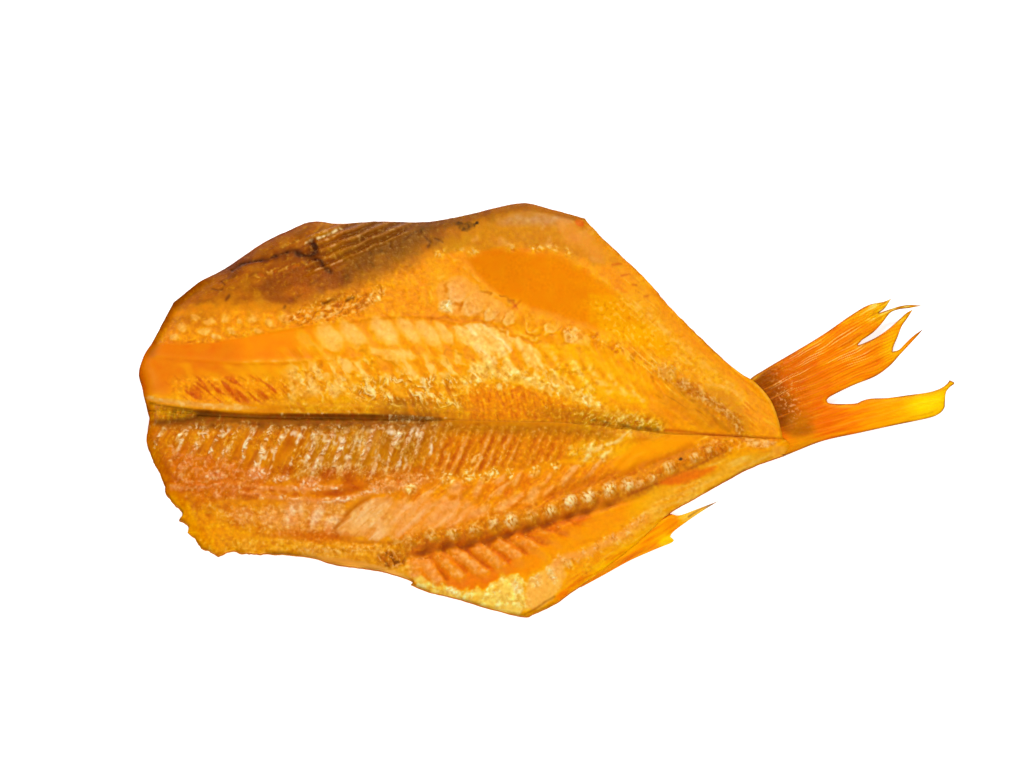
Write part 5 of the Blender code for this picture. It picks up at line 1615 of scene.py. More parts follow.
def crumbly_flesh(top):
    """Crumbly flesh at the tail end of the granular band, and the bright gem above it, both with painted
    glints.
    """
    u, v = top.u, top.v
    crumbly = top.patch((244, 154, 56), 0.75, CRUMBLY_PX, 8, 4, 8, 254)
    p, q = bent(u, v, 12, 255, 0.4)
    rifts = veins(p, q, 8, 256, 0.09, stretch=1.8, turn=-0.5)
    top.paint((176, 84, 22), 0.6 * crumbly * rifts)
    top.relief += MM * crumbly * (0.2 * rough(u, v, 6, 257, 2) - 0.25 * rifts)
    glint_specks(top, crumbly, 4.6, 258, (254, 206, 120), 0.7, 0.7, stretch=1.6, turn=-0.5)
    gem = top.patch((250, 180, 90), 0.6, GEM_PX, 5, 2)
    glint_specks(top, gem, 4.0, 259, (255, 230, 150), 0.85, 0.7, stretch=1.8, turn=1.0)


def bright_strip(top):
    """The smooth bright strip below the granular band."""
    u, v = top.u, top.v
    lower = np.interp(u, *BAND_FOOT_PX)
    strip = ease((v - lower) / 2 + 0.2) * window(u, (142, 330), 30)
    pale_line = at(u, SEAMS_PX[2])
    strip = strip * ease((pale_line - v) / 3 + 0.6)
    top.paint((253, 144, 2), 0.95 * strip * (1 - 0.6 * ease((u - 270) / 50)))
    top.paint((250, 130, 0), strip * ease(noise(u, v, 14, 260, stretch=3)) * 0.4)
    top.finish(strip, gloss=0.3, grit=0.12)
    top.relief -= 0.15 * MM * strip


def strip_seams(top):
    """The pale seam under the bright strip, its painted shadow, and the seam above, with a painted shadow
    line below it.
    """
    u, v = top.u, top.v
    crest = stroke(u, v, SEAMS_PX[2], 2.4)
    top.relief += SEAM_HEIGHT * crest * 0.5
    top.paint((254, 190, 110), 0.85 * crest * (0.65 + 0.6 * noise(u, v, 9, 261)))
    shadow = stroke(u, v, [(a, b + 3) for a, b in SEAMS_PX[2]], 1.3)
    top.paint((206, 98, 4), 0.4 * shadow * ease((330 - u) / 60) * ease(0.6 + noise(u, v, 8, 263)))
    upper_seam = stroke(u, v, SEAMS_PX[3][4:], 2.0)
    top.relief += SEAM_HEIGHT * upper_seam * 0.6
    # Painted shadow line just below the upper seam.
    top.paint((222, 122, 8), 0.6 * stroke(u, v, [(a, b + 1.5) for a, b in SEAMS_PX[3][5:]], 1.3))


def strip_spots(top):
    """Below the strip: deep orange with a red mark, a painted glow, and pale smears, each with a painted
    shadow below it.
    """
    u, v = top.u, top.v
    reddish = oval(u, v, *REDDISH_PX) + 0.7 * oval(u, v, *REDDISH_END_PX)
    top.paint((232, 100, 0), 0.6 * reddish)
    top.spot((254, 154, 18), 0.6, *HEAD_GLOW_PX)
    deep = window(u, (140, 225), 25) * window(v, (346, 385), 10)
    top.paint((236, 122, 0), 0.75 * deep)
    calm = window(u, (140, 300), 40) * window(v, (352, 402), 6)
    top.finish(calm, gloss=0.5, grit=0.12)
    p, q = bent(u, v, 20, 264, 0.3)
    for centre, radii, turn, strength in SMEARS_PX:
        smear = oval(p, q, centre, radii, turn, 1.1)
        top.paint((253, 182, 74), 0.6 * strength * smear)
        # A painted shadow below and to the right of each smear.
        under = oval(p, q, (centre[0] + 3, centre[1] + 4), radii, turn, 1.0)
        top.paint((232, 122, 4), 0.35 * strength * under * (1 - smear))


def pale_blotches(top):
    """Pale yellow flakes that slant down towards the tail."""
    u, v = top.u, top.v
    crown = u - FLAKE_SLANT * (v - FLAKE_BAND_PX[0])
    phase = np.interp(crown, *spaced(FLAKE_SPACING)) + 0.12 * noise(u, v, 20, 271)
    flakes = wave(phase) * window(v, FLAKE_BAND_PX, 10) * window(crown, FLAKE_ENDS_PX, 15)
    top.relief += FLAKE_HEIGHT * flakes
    top.patch((244, 144, 10), 0.9, BLOTCH_GAPS_PX, 12, 4, 10, 278)
    p, q = bent(u, v, 9, 272, 0.24)
    fleck = 0.9 + 0.25 * rough(u, v, 4, 273, 2)
    for centre, radii, turn, strength in BLOTCHES_PX:
        rim = oval(p, q, (centre[0] + 2.5, centre[1] - 2), radii, turn, 0.6)
        top.paint((240, 134, 4), 0.6 * strength * rim)
        blotch = oval(p, q, centre, radii, turn, 0.6)
        top.paint((251, 180, 72), 0.9 * strength * blotch)
        core = oval(p, q, (centre[0] + 1, centre[1] - 1), (radii[0] * 0.8, radii[1] * 0.7), turn, 1.0)
        top.paint((254, 203, 118), 0.7 * strength * core * fleck)
        top.relief += 0.2 * MM * blotch * strength
        top.finish(blotch * strength, gloss=0.6, grit=0.35)


def pale_block(top):
    """The large pale block with slanting grooves."""
    u, v = top.u, top.v
    p, q = bent(u, v, 9, 272, 0.24)
    block = region(p, q, PALE_BLOCK_PX, 8, 3, 7, 274)
    grooves = noise(p, q, 5, 265, stretch=4, turn=0.75)
    top.paint((253, 200, 108), 0.9 * block)
    top.mottle(block, grooves, ((255, 224, 152), 1.6, 0, 0.8), ((246, 168, 60), -1.6, -0.2, 0.6))
    top.paint((240, 148, 20), 0.55 * block * stroke(u, v, BLOCK_EDGE_PX, 3))
    top.relief += MM * block * (0.2 + 0.12 * grooves)
    top.finish(block, gloss=0.7, grit=0.45)


def speckled_band(top):
    """The wet speckled band between the blotches and the fold, with painted glints and painted glows."""
    u, v = top.u, top.v
    p, q = bent(u, v, 9, 272, 0.24)
    band = window(v, (352, 402), 14) * window(u, (300, 585), 30) * ease((at(u, LIP_PX) - 4 - v) / 14)
    fine = rough(p, q, 8, 275, 3, stretch=2.4, turn=0.9)
    low = ease((v - 358) / 10)
    top.paint((252, 200, 104), band * ease(fine * 1.6 + 0.25 * low) * (0.6 + 0.3 * low))
    top.mottle(band, fine, ((232, 134, 10), -1.6, -0.2, 0.6))
    top.relief += 0.16 * MM * band * fine
    wet = band * ease((v - 352) / 20) * ease(0.3 + noise(u, v, 18, 276) * 2)
    glint_specks(top, wet, 4.0, 277, (255, 228, 150), 0.85, 0.45, stretch=2.0, turn=0.9)
    top.paint((252, 194, 90), 0.5 * oval(u, v, *BLOCK_FOOT_PX) * ease(0.7 + fine))
    top.paint((251, 194, 96), 0.6 * oval(u, v, *BAND_GLOW_PX) * ease(0.8 + fine))
    top.paint((250, 190, 98), 0.6 * oval(u, v, *HEAD_BAND_GLOW_PX) * ease(0.8 + fine))
    for knots in FINE_LINES_PX:
        top.paint((196, 108, 14), 0.45 * stroke(p, q, knots, 1.3) * ease(0.6 + noise(u, v, 6, 279)))


def dent_chain(top):
    """The row of dents that the backbone pressed into the far fillet, with pale scalloped rims, made
    lighter on their lower left sides with painted light and a painted highlight.
    """
    u, v = top.u, top.v
    off = v - at(u, CHAIN_PX)
    beat = 0.5 + 0.5 * wave((u - CHAIN_ENDS_PX[0]) / CHAIN_PITCH)
    shown = window(u, CHAIN_ENDS_PX, 15)
    top.relief += CHAIN_HEIGHT * hump(off, 9) * beat * shown
    top.patch((249, 174, 80), 0.85, ROSY_DENTS_PX, 8, 2, 9, 281)
    p, q = bent(u, v, 7, 282, 0.36)
    speck = 0.85 + 0.25 * rough(u, v, 3.6, 283, 2)
    for centre, radii, turn, colour in SCALLOPS_PX:
        du, dv = p - centre[0], q - centre[1]
        a = (du * math.cos(turn) + dv * math.sin(turn)) / radii[0]
        b = (dv * math.cos(turn) - du * math.sin(turn)) / radii[1]
        reach = np.hypot(a, b)
        # The lower left side of each dent faces the light and is painted lighter.
        lit_lower_left = ease(0.5 + (dv - 0.8 * du) / (2.2 * radii[1]))
        inner = (1 - ease((reach - 0.55) / 0.7)) * (0.35 + 0.65 * lit_lower_left)
        arc = hump(reach - 1.22, 0.17) * lit_lower_left * ease(0.5 + 1.3 * noise(u, v, 7, 288))
        top.paint(colour, 0.95 * inner * speck)
        # Painted highlight along the lower left rim.
        top.paint((254, 210, 134), 0.65 * hump(reach - 0.85, 0.22) * lit_lower_left * speck)
        top.paint((206, 106, 14), 0.65 * arc)
        top.relief += MM * (0.25 * inner - 0.18 * arc)
        top.finish(inner, gloss=0.65, grit=0.5)


def chain_end(top):
    """The bumpy tail end of the row of dents, with painted glints."""
    u, v = top.u, top.v
    off = v - at(u, CHAIN_PX)
    p, q = bent(u, v, 7, 282, 0.36)
    band = hump(off + 1, 10) * window(u, (560, 690), 16)
    bumps = rough(p, q, 10, 284, 3)
    top.mottle(band, bumps, ((251, 184, 82), 1.6, 0.2, 0.75), ((224, 130, 34), -1.8, -0.2, 0.6))
    top.relief += 0.25 * MM * band * bumps
    glint_specks(top, band * ease(noise(u, v, 12, 285) * 2 + 0.3), 4, 286, (254, 216, 140), 0.6, 0.6)
    for centre in DENT_PITS_PX:
        top.paint((196, 96, 20), 0.5 * oval(p, q, centre, (3.0, 1.3), -0.8, 1.2))


def chain_lines(top):
    """The knob at the head end of the row, pale with a painted highlight and painted glints, and the lines
    along it.
    """
    u, v = top.u, top.v
    p, q = bent(u, v, 7, 282, 0.36)
    # Painted highlight and glints on the knob.
    bright = oval(p, q, *GLINTING_KNOB_PX)
    top.paint((255, 226, 140), 0.85 * bright)
    glint_specks(top, bright, 3.4, 287, (255, 246, 196), 0.9, 0.3)
    top.relief += 0.4 * MM * bright
    for knots, width, colour, lift in CHAIN_LINES_PX:
        line = stroke(p, q, knots, 1.15 * width) * ease(0.7 + noise(u, v, 8, 289))
        top.paint(colour, 0.65 * line)
        top.relief += lift * MM * line
    cross = stroke(u, v, CROSS_DOWN_PX, 1.3) + stroke(u, v, CROSS_UP_PX, 1.3)
    top.paint((214, 96, 10), 0.6 * cross)


def tail_side_stripes(top):
    """Narrow pale stripes behind the blotches."""
    u, v = top.u, top.v
    p, q = bent(u, v, 14, 291, 0.1)
    zone = region(u, v, STRIPE_GROUND_PX, 12, 3)
    top.paint((249, 172, 34), 0.95 * zone)
    for start, end, width in STRIPES_PX:
        middle = ((start[0] + end[0]) / 2 - 1, (start[1] + end[1]) / 2 + 1)
        stripe = stroke(p, q, (start, middle, end), width)
        dark = stroke(p, q, ((start[0] + 6, start[1] + 2), (end[0] + 6, end[1] - 5)), 0.8 * width)
        top.paint((238, 140, 2), 0.75 * dark)
        top.paint((254, 202, 100), 0.85 * stripe * ease(0.7 + 0.8 * noise(u, v, 5, 297)))
        top.relief += MM * (0.2 * stripe - 0.1 * dark)


def golden_border(top):
    """The sparkling border below the stripes, and the golden streaks over it."""
    u, v = top.u, top.v
    p, q = bent(u, v, 14, 291, 0.1)
    bright = top.patch((244, 168, 42), 0.45, BRIGHT_BORDER_PX, 12, 4, 9, 294)
    wet = bright * ease(0.3 + 1.2 * noise(u, v, 12, 295))
    glint_specks(top, wet, 4.0, 296, (255, 228, 140), 0.7, 0.35, stretch=3, turn=1.0)
    for knots, width in GOLDEN_STREAKS_PX:
        streak = stroke(p, q, knots, width) * ease(0.75 + noise(u, v, 6, 298))
        top.paint((255, 220, 128), 0.8 * streak)
        top.relief += 0.2 * MM * streak
    border = stroke(p, q, STRIPE_BORDER_PX, 7)
    top.paint((250, 192, 84), 0.75 * border)
    wet = border * ease(0.8 + noise(u, v, 14, 292))
    glint_specks(top, wet, 4.2, 293, (255, 236, 160), 0.9, 0.4, stretch=1.7, turn=0.7)


def hairy_triangle(top):
    """Red-orange muscle above the fold with fine upright striations, and threads with painted highlights
    and painted shadow lines.
    """
    u, v = top.u, top.v
    zone = region(u, v, STRIATED_PX, 11, 5, 7, 301)
    hair = noise(u, v, 2.4, 302, stretch=6, turn=1.3)
    top.paint((236, 130, 2), 0.9 * zone)
    top.mottle(zone, hair, ((253, 162, 28), 1.7, -0.1, 0.7), ((220, 100, 2), -1.7, -0.1, 0.65))
    dim = zone * ease((u - 515) / 40) * ease((v - 400) / 12)
    top.paint((196, 122, 14), 0.65 * dim)
    top.relief += 0.12 * MM * zone * hair
    top.finish(zone, gloss=0.75, grit=0.8)
    threads = zone * ease(noise(u, v, 12, 303) * 2 - 0.3)
    painted_glint_threads(top, threads, 5, 304, (253, 206, 120), 0.5, 0.12, 0.3, stretch=2.5, turn=1.3)


def far_by_the_fold(top):
    """Along the lip: red strokes at the head end, and pale strands further on with painted glints, a
    painted glow and threads with painted highlights.
    """
    u, v = top.u, top.v
    low_band = window(v, (380, 400), 9) * window(u, (178, 300), 16)
    strokes = noise(u, v, 3.6, 311, stretch=5, turn=0.72)
    top.paint((252, 166, 44), 0.5 * low_band)
    top.mottle(low_band, strokes, ((214, 88, 2), 2.2, -0.1, 0.9))
    top.relief += 0.15 * MM * low_band * strokes
    for centre, radii in FOLD_REDS_PX:
        top.paint((208, 86, 2), 0.65 * oval(u, v, centre, radii, 0.62, 1.1))
    strands = window(v, (380, 408), 9) * window(u, (292, 456), 14)
    top.paint((238, 152, 26), 0.6 * strands)
    rusty = noise(u, v, 6, 312, stretch=2.2, turn=1.05)
    top.mottle(strands, rusty, ((196, 92, 6), 2, -0.5, 0.65))
    wet = strands * ease(0.5 + 1.2 * noise(u, v, 14, 313))
    glint_specks(top, wet, 4.4, 314, (255, 226, 146), 0.8, 0.5, stretch=2.6, turn=1.05)
    broken = ease(0.2 + 1.4 * noise(u, v, 9, 317, stretch=2, turn=0.9))
    top.paint((255, 206, 112), strands * ease((360 - u) / 30) * broken * 0.7)
    top.paint((132, 56, 6), 0.95 * oval(u, v, *FOLD_BLOT_PX) * ease(0.85 + rusty))
    top.paint((250, 192, 100), 0.5 * oval(u, v, *STRANDS_GLOW_PX) * ease(0.8 + rusty))
    sinews = strands * ease((u - 330) / 40) * ease(0.5 + 1.3 * noise(u, v, 16, 315))
    painted_glint_threads(top, sinews, 5, 316, (255, 234, 166), 0.85, 0.14, 0.55, stretch=2.4, turn=1.1)
    top.finish(low_band, gloss=0.7, grit=0.6)


def rolled_lip(top):
    """The rolled lip above the fold: amber, with a pale bead at the head end that has painted glints."""
    u, v = top.u, top.v
    lip = at(u, LIP_PX)
    amber = hump(v - lip + 7, 8) * window(u, (275, 450), 40)
    top.paint((222, 144, 20), 0.65 * amber)
    bead = hump(v - lip + 3.5, 3.4) * window(u, (146, 238), 35)
    top.paint((255, 188, 96), 0.9 * bead)
    glint_specks(top, 0.7 * bead, 4, 318, (255, 226, 150), 0.8, 0.2, stretch=2, turn=0.1)
    top.finish(bead, gloss=0.5, grit=0.2)


def far_tail_end(top):
    """Towards the tail: long streaks and fine lines that follow the edge."""
    u, v = top.u, top.v
    shown = ease((u - 590) / 50)
    flow = noise(u, v, 5, 321, stretch=6, turn=0.66)
    top.mottle(shown, flow, ((253, 178, 44), 1.5, -0.1, 0.45), ((240, 142, 6), -1.5, -0.1, 0.45))
    lined = ease((u - 590 - 1.2 * np.maximum(v - 350, 0)) / 40) * ease((v - 258) / 20)
    lines = noise(u, v, 2.0, 330, stretch=9, turn=0.72) * lined
    top.paint((255, 210, 112), ease(lines * 2 - 0.4) * 0.65)
    top.paint((218, 122, 14), ease(-lines * 2 - 0.5) * 0.55)
    top.relief += 0.06 * MM * lines
    top.relief += 0.1 * MM * shown * flow


def tail_hollows(top):
    """Pocked flesh, the olive hollow behind it and the streaky flesh below."""
    u, v = top.u, top.v
    fuzz = rough(u, v, 4.5, 322, 2)
    pocked = region(u, v, POCKED_PX, 14, 4)
    top.paint((249, 178, 56), 0.65 * pocked)
    top.mottle(pocked, fuzz, ((255, 196, 84), 1.8, -0.2, 0.65), ((224, 130, 16), -1.8, -0.5, 0.6))
    top.relief += 0.1 * MM * pocked * fuzz
    hollow = region(u, v, OLIVE_HOLLOW_PX, 8, 2)
    top.paint((222, 140, 4), 0.7 * hollow)
    top.line((250, 190, 92), 0.6, HOLLOW_RIM_PX, 2.2)
    lower = region(u, v, LOWER_END_PX, 12, 4)
    top.paint((228, 142, 26), 0.7 * lower)
    streaks = noise(u, v, 2.6, 323, stretch=7, turn=0.56)
    top.mottle(lower, streaks, ((188, 104, 14), 2, -0.5, 0.6))


def tail_strand(top):
    """The rough grey-brown strand and the lines along it."""
    u, v = top.u, top.v
    lump = top.spot((232, 160, 70), 0.75, *STRAND_LUMP_PX)
    top.relief += 0.35 * MM * lump
    top.spot((240, 168, 66), 0.5, *STRAND_GLOW_PX)
    strand = top.line((196, 122, 46), 0.8, STRAND_PX, 6)
    scurf = rough(u, v, 4, 324, 3)
    top.mottle(strand, scurf, ((236, 180, 106), 2, -0.1, 0.65))
    top.relief += MM * strand * (0.35 + 0.25 * scurf)
    glint_specks(top, np.maximum(strand, 0.8 * lump), 3.2, 325, (246, 198, 128), 0.5, 0.6, stretch=2.2, turn=0.9)
    p, q = bent(u, v, 10, 327, 0.25)
    outline_line = stroke(p, q, STRAND_LINE_PX, 1.6)
    top.paint((252, 200, 126), 0.6 * outline_line * ease(0.6 + noise(u, v, 6, 328)))
    ditch = stroke(p, q, STRAND_DITCH_PX, 2.4)
    top.paint((176, 98, 18), 0.6 * ditch * ease(0.6 + noise(u, v, 8, 329)))


def far_edge_bands(top):
    """The bands along the far edge, red nicks in it, and the pale end of the flap."""
    u, v = top.u, top.v
    margin = stroke(u, v, FAR_EDGE_LINE_PX, 3)
    broken = ease(0.5 + 1.2 * noise(u, v, 10, 326))
    top.paint((252, 188, 88), 0.65 * margin * broken)
    top.relief += 0.2 * MM * margin * broken
    top.line((244, 162, 56), 0.45, EDGE_BAND_PX, 8)
    top.line((246, 148, 16), 0.55, OUTER_BAND_PX, 5)
    for knots in EDGE_NICKS_PX:
        top.paint((206, 84, 4), 0.6 * stroke(u, v, knots, 1.1))
    flap = top.line((252, 186, 80), 0.8, FLAP_EDGE_PX, 2.2)
    top.spot((246, 156, 40), 0.7, *FLAP_GLOW_PX)
    top.finish(flap, gloss=0.7)


def all_over(top):
    """Fine relief that the flesh has everywhere, its raised crinkles painted lighter and its dips darker as
    painted light and shade, with tiny painted highlights.
    """
    u, v = top.u, top.v
    crinkle = rough(u, v, 5.0, 401, 2) * ease((top.grit - 0.1) / 0.6)
    top.relief += MM * (0.11 * crinkle + 0.12 * rough(u, v, 22, 402, 2))
    pores = rough(u, v, 3.4, 403, 2) * ease(1.5 * top.grit)
    # Painted light and shade that follow the crinkles, and tiny painted highlights.
    top.shade(0.995 + 0.1 * crinkle + 0.07 * pores)
    top.paint((255, 226, 160), 0.35 * top.grit * ease(pores * 3 - 1.0))


def far_painted_shade(top):
    """Painted shade: the far fillet is painted a little darker to offset the stronger light on it, except
    in the golden flakes above the fold.
    """
    u, v = top.u, top.v
    golden = window(u, (330, 640), 50) * window(v, (335, 400), 16)
    top.shade(0.955 + 0.05 * golden)


def rim_tone(top, from_rim):
    """A thin brown line round the outline, and a darker margin at the head end."""
    head = ease((330 - top.u) / 60)
    near = ease((top.v - 430) / 20)
    margin = hump(from_rim / MM, 2.4) * head
    top.shade(1 - 0.28 * margin * (1 - 0.9 * near))
    strength = 0.4 + 0.5 * head * (1 - 0.5 * near)
    line = hump(from_rim / MM, 0.8) * strength * ease(0.7 + noise(top.u, top.v, 20, 404))
    line = line * (1 - window(top.u, (560, 700), 8) * ease((top.v - 470) / 12))
    line = line * (1 - 0.85 * ease((top.u - 740) / 14))
    top.paint((104, 56, 8), line)
    dull = np.maximum(hump(from_rim / MM, 2.2), ease((6 - from_rim / MM) / 3) * ease((240 - top.u) / 40))
    top.finish(dull, gloss=0.0)


FOLD_LAYERS = (fold_shade, fold_lump, fold_fringe, fold_slit)
NEAR_LAYERS = (
    paint_near_ground, near_ridges, near_swellings, peach_patch, belly_strip, belly_corners, near_seams,
    rosy_flesh, near_feathers, slanting_flesh, golden_flesh, rib_cells, near_valley, belly_rim, fin_base,
    near_tail_end, backbone, vertebrae, backbone_ends, *FOLD_LAYERS, all_over,
)
FAR_LAYERS = (
    paint_far_ground, upper_rim, orange_lens, granular_band, crumbly_flesh, bright_strip, strip_seams,
    strip_spots, lining, pale_blotches, pale_block, speckled_band, dent_chain, chain_end, chain_lines,
    tail_side_stripes, golden_border, hairy_triangle, far_by_the_fold, rolled_lip, far_tail_end,
    tail_hollows, tail_strand, far_edge_bands, far_painted_shade, *FOLD_LAYERS, all_over,
)


# The body's form

def edge_line(runs, height):
    """One edge of the body as a line that can be read at any x."""
    line = line_of_sight(np.vstack([smooth_line(run) for run in BODY_RUNS_PX[runs]]), height)
    return line[np.argsort(line[:, 0])]


def body_places(x, y):
    """How far along the body each point is, which fillet it is in, and how far across that fillet."""
    fold = line_of_sight(smooth_line(LIP_PX), 15 * MM)
    far_edge = edge_line(FAR_EDGE_RUNS, RIM_LIFT)
    near_edge_line = edge_line(NEAR_EDGE_RUNS, RIM_LIFT)
    middle = np.interp(x, fold[:, 0], fold[:, 1])
    far = y > middle
    edge = np.where(
        far,
        np.interp(x, far_edge[:, 0], far_edge[:, 1]),
        np.interp(x, near_edge_line[:, 0], near_edge_line[:, 1]),
    )
    across = np.clip(np.abs(y - middle) / np.maximum(np.abs(edge - middle), 6 * MM), 0, 1)
    along = np.clip((x - fold[0, 0]) / (fold[-1, 0] - fold[0, 0]), 0, 1)
    return along, far, across


def slab_height(x, y, from_rim):
    """The flesh's smooth upper side: each fillet's thickness, rounded over at the rim."""
    along, far, across = body_places(x, y)
    thickness = MM * np.where(
        far,
        at(across, FAR_ACROSS) * at(along, FAR_ALONG),
        at(across, NEAR_ACROSS) * at(along, NEAR_ALONG),
    )
    width = MM * np.where(far, at(along, FAR_ROUND), at(along, NEAR_ROUND))
    t = np.clip(from_rim / width, 0, 1)
    low = RIM_LIFT + RIM_THICKNESS
    return low + (thickness - low) * np.sqrt(1 - (1 - t) ** 2)


def skin_height(from_rim):
    """The underside: flat where the fish rests, lifting towards the rim."""
    t = 1 - np.clip(from_rim / BASE_EDGE_WIDTH, 0, 1)
    return RIM_LIFT * t**2


def evenly(line, step):
    """The line's points, the same distance apart, without its last one."""
    along = np.append(0, np.cumsum(np.linalg.norm(np.diff(line, axis=0), axis=1)))
    count = max(1, round(along[-1] / step))
    places = np.linspace(0, along[-1], count, endpoint=False)
    return np.column_stack([np.interp(places, along, line[:, 0]), np.interp(places, along, line[:, 1])])


def seen_on(places, height_of):
    """The points x and y of a surface, whose height is height_of(x, y), shown at these pixels."""
    plan = line_of_sight(places, 0)
    for _ in range(5):
        plan = line_of_sight(places, height_of(*plan.T))
    return plan


def outline(runs, height_of, step):
    """The closed outline through these runs, in metres, its corners kept."""
    return np.vstack([evenly(seen_on(smooth_line(run), height_of), step) for run in runs])


def outward(loop):
    """The directions that point out of a clockwise loop at its points."""
    ways = np.roll(loop, -2, axis=0) - np.roll(loop, 2, axis=0)
    ways /= np.linalg.norm(ways, axis=1)[:, None]
    return np.column_stack([-ways[:, 1], ways[:, 0]])


def ragged_rim(rim):
    """The body's rim with its small nicks, deeper where the belly wall is torn."""
    u, v = pixel_of(*rim.T, np.full(len(rim), RIM_LIFT))
    head_corner = ease((290 - u) / 30) * ease((v - 440) / 30)
    tail_side = window(u, (590, 700), 20) * ease((400 - v) / 30) * 0.35
    torn = head_corner + tail_side
    nicks = rough(u, v, 9, 601, 3)
    return rim + outward(rim) * (MM * nicks * (0.1 + 0.4 * torn))[:, None]


def inset(loop, depth):
    """The loop moved inwards."""
    return loop - outward(loop) * depth


def lattice(loop, step, clear):
    """Points of a triangular lattice inside the loop, further than clear from it."""
    low, high = loop.min(axis=0), loop.max(axis=0)
    rows = np.arange(low[1], high[1], step * math.sqrt(3) / 2)
    x, y = np.meshgrid(np.arange(low[0], high[0], step), rows)
    x = (x + (np.arange(len(rows)) % 2)[:, None] * step / 2).ravel()
    y = y.ravel()
    found = inside(x, y, loop)
    found[found] = distance_to(x[found], y[found], loop[::2]) > clear
    return np.column_stack([x, y])[found]


def triangles(loop, points):
    """A triangle mesh of the loop and the points in it: its vertices, its faces, the loop's vertices."""
    count = len(loop)
    edges = [(i, (i + 1) % count) for i in range(count)]
    flat = [Vector(place) for place in np.vstack([loop, points])]
    made, _, faces, origins, _, _ = delaunay_2d_cdt(flat, edges, [], 1, 1e-7)
    places = np.array([tuple(place) for place in made])
    index = {source: i for i, sources in enumerate(origins) for source in sources}
    return places, np.array(faces), np.array([index[i] for i in range(count)])


def add_object(name, data):
    """Makes an object of this mesh, light or camera and puts it into the scene."""
    made = bpy.data.objects.new(name, data)
    bpy.context.scene.collection.objects.link(made)
    return made


def close_slab(name, upper_side, lower_side, upper_z, lower_z, looks):
    """A closed mesh between two sides that share the loop as their rim, with its looks as attributes."""
    upper, upper_faces, upper_loop = upper_side
    lower, lower_faces, lower_loop = lower_side
    count = len(upper)
    places = np.vstack([np.column_stack([upper, upper_z]), np.column_stack([lower, lower_z])])
    a, b = upper_loop, np.roll(upper_loop, -1)
    c, d = lower_loop + count, np.roll(lower_loop, -1) + count
    walls = np.vstack([np.column_stack([a, b, d]), np.column_stack([a, d, c])])
    faces = np.vstack([upper_faces, lower_faces[:, ::-1] + count, walls])
    mesh = bpy.data.meshes.new(name)
    mesh.from_pydata(places + np.append(SHIFT, 0), [], faces.tolist())
    tint = np.vstack([looks.tint, np.tile(looks.tint[upper_loop].mean(axis=0), (len(lower), 1))])
    tint[count + lower_loop] = looks.tint[upper_loop]
    linear = np.where(tint > 0.04045, ((np.clip(tint, 0, 1) + 0.055) / 1.055) ** 2.4, tint / 12.92)
    colours = mesh.attributes.new("tint", "FLOAT_COLOR", "POINT")
    opaque = np.column_stack([linear, np.ones(len(linear))]).astype(np.float32)
    colours.data.foreach_set("color", opaque.ravel())
    for title, values in (("gloss", looks.gloss), ("grit", looks.grit)):
        layer = mesh.attributes.new(title, "FLOAT", "POINT")
        layer.data.foreach_set("value", np.append(values, np.full(len(lower), 0.4)).astype(np.float32))
    mesh.shade_smooth()
    mesh.validate()
    made = add_object(name, mesh)
    return made


def fold_rows(first, last):
    """Rows of points along the fold's lip, wall, floor and shoulder, between two shares of its width."""
    u = np.arange(143, 780, FOLD_ROW_STEP_PX)
    lip = at(u, LIP_PX)
    gap = at(u, SHOULDER_PX) - lip
    shares = [share for share in (0, 0.07, 0.13, 0.2, 0.3, 0.5, 0.6, 0.8, 1) if first <= share <= last]
    return np.vstack([np.column_stack([u, lip + share * gap]) for share in shares])


def away_from(points, others, gap):
    """The points that are further than the gap from all the others, tested cell by cell."""
    cells = {}
    for place in others:
        cells.setdefault((int(place[0] // gap), int(place[1] // gap)), []).append(place)
    kept = []
    for place in points:
        column, row = int(place[0] // gap), int(place[1] // gap)
        close = [p for i in (-1, 0, 1) for j in (-1, 0, 1) for p in cells.get((column + i, row + j), ())]
        kept.append(not close or np.min(np.hypot(*(np.array(close) - place).T)) > gap)
    return points[kept]


def make_fillet(name, loop, rim, layers, shares):
    """One fillet's flesh: its upper side with all its relief, closed below by a plain inner side."""
    def smooth(x, y):
        return slab_height(x, y, distance_to(x, y, rim))

    rows = seen_on(fold_rows(*shares), smooth)
    rows = rows[inside(*rows.T, loop)]
    rows = rows[distance_to(*rows.T, loop) > 0.4 * FLESH_STEP]
    plain = away_from(lattice(loop, FLESH_STEP, 0.6 * FLESH_STEP), rows, 0.6 * FLESH_STEP)
    upper = triangles(loop, np.vstack([rows, plain]))
    x, y = upper[0].T
    from_rim = distance_to(x, y, rim)
    height = slab_height(x, y, from_rim)
    top = Surface(*pixel_of(x, y, height), ORANGE)
    for layer in layers:
        layer(top)
    rim_tone(top, from_rim)
    flap = FLAP_RISE * hump(from_rim, 2 * MM) * ease((top.u - 742) / 12) * ease((441 - top.v) / 6)
    height = height + top.relief * ease(from_rim / RELIEF_FADE) + fold_relief(top.u, top.v) + flap
    height = np.maximum(height, RIM_LIFT + RIM_THICKNESS)
    lower = triangles(loop, lattice(loop, INNER_STEP, INNER_STEP / 2))
    inner = skin_height(distance_to(*lower[0].T, rim)) + SKIN_THICKNESS - SKIN_SUNK
    return close_slab(name, upper, lower, height, inner, top)


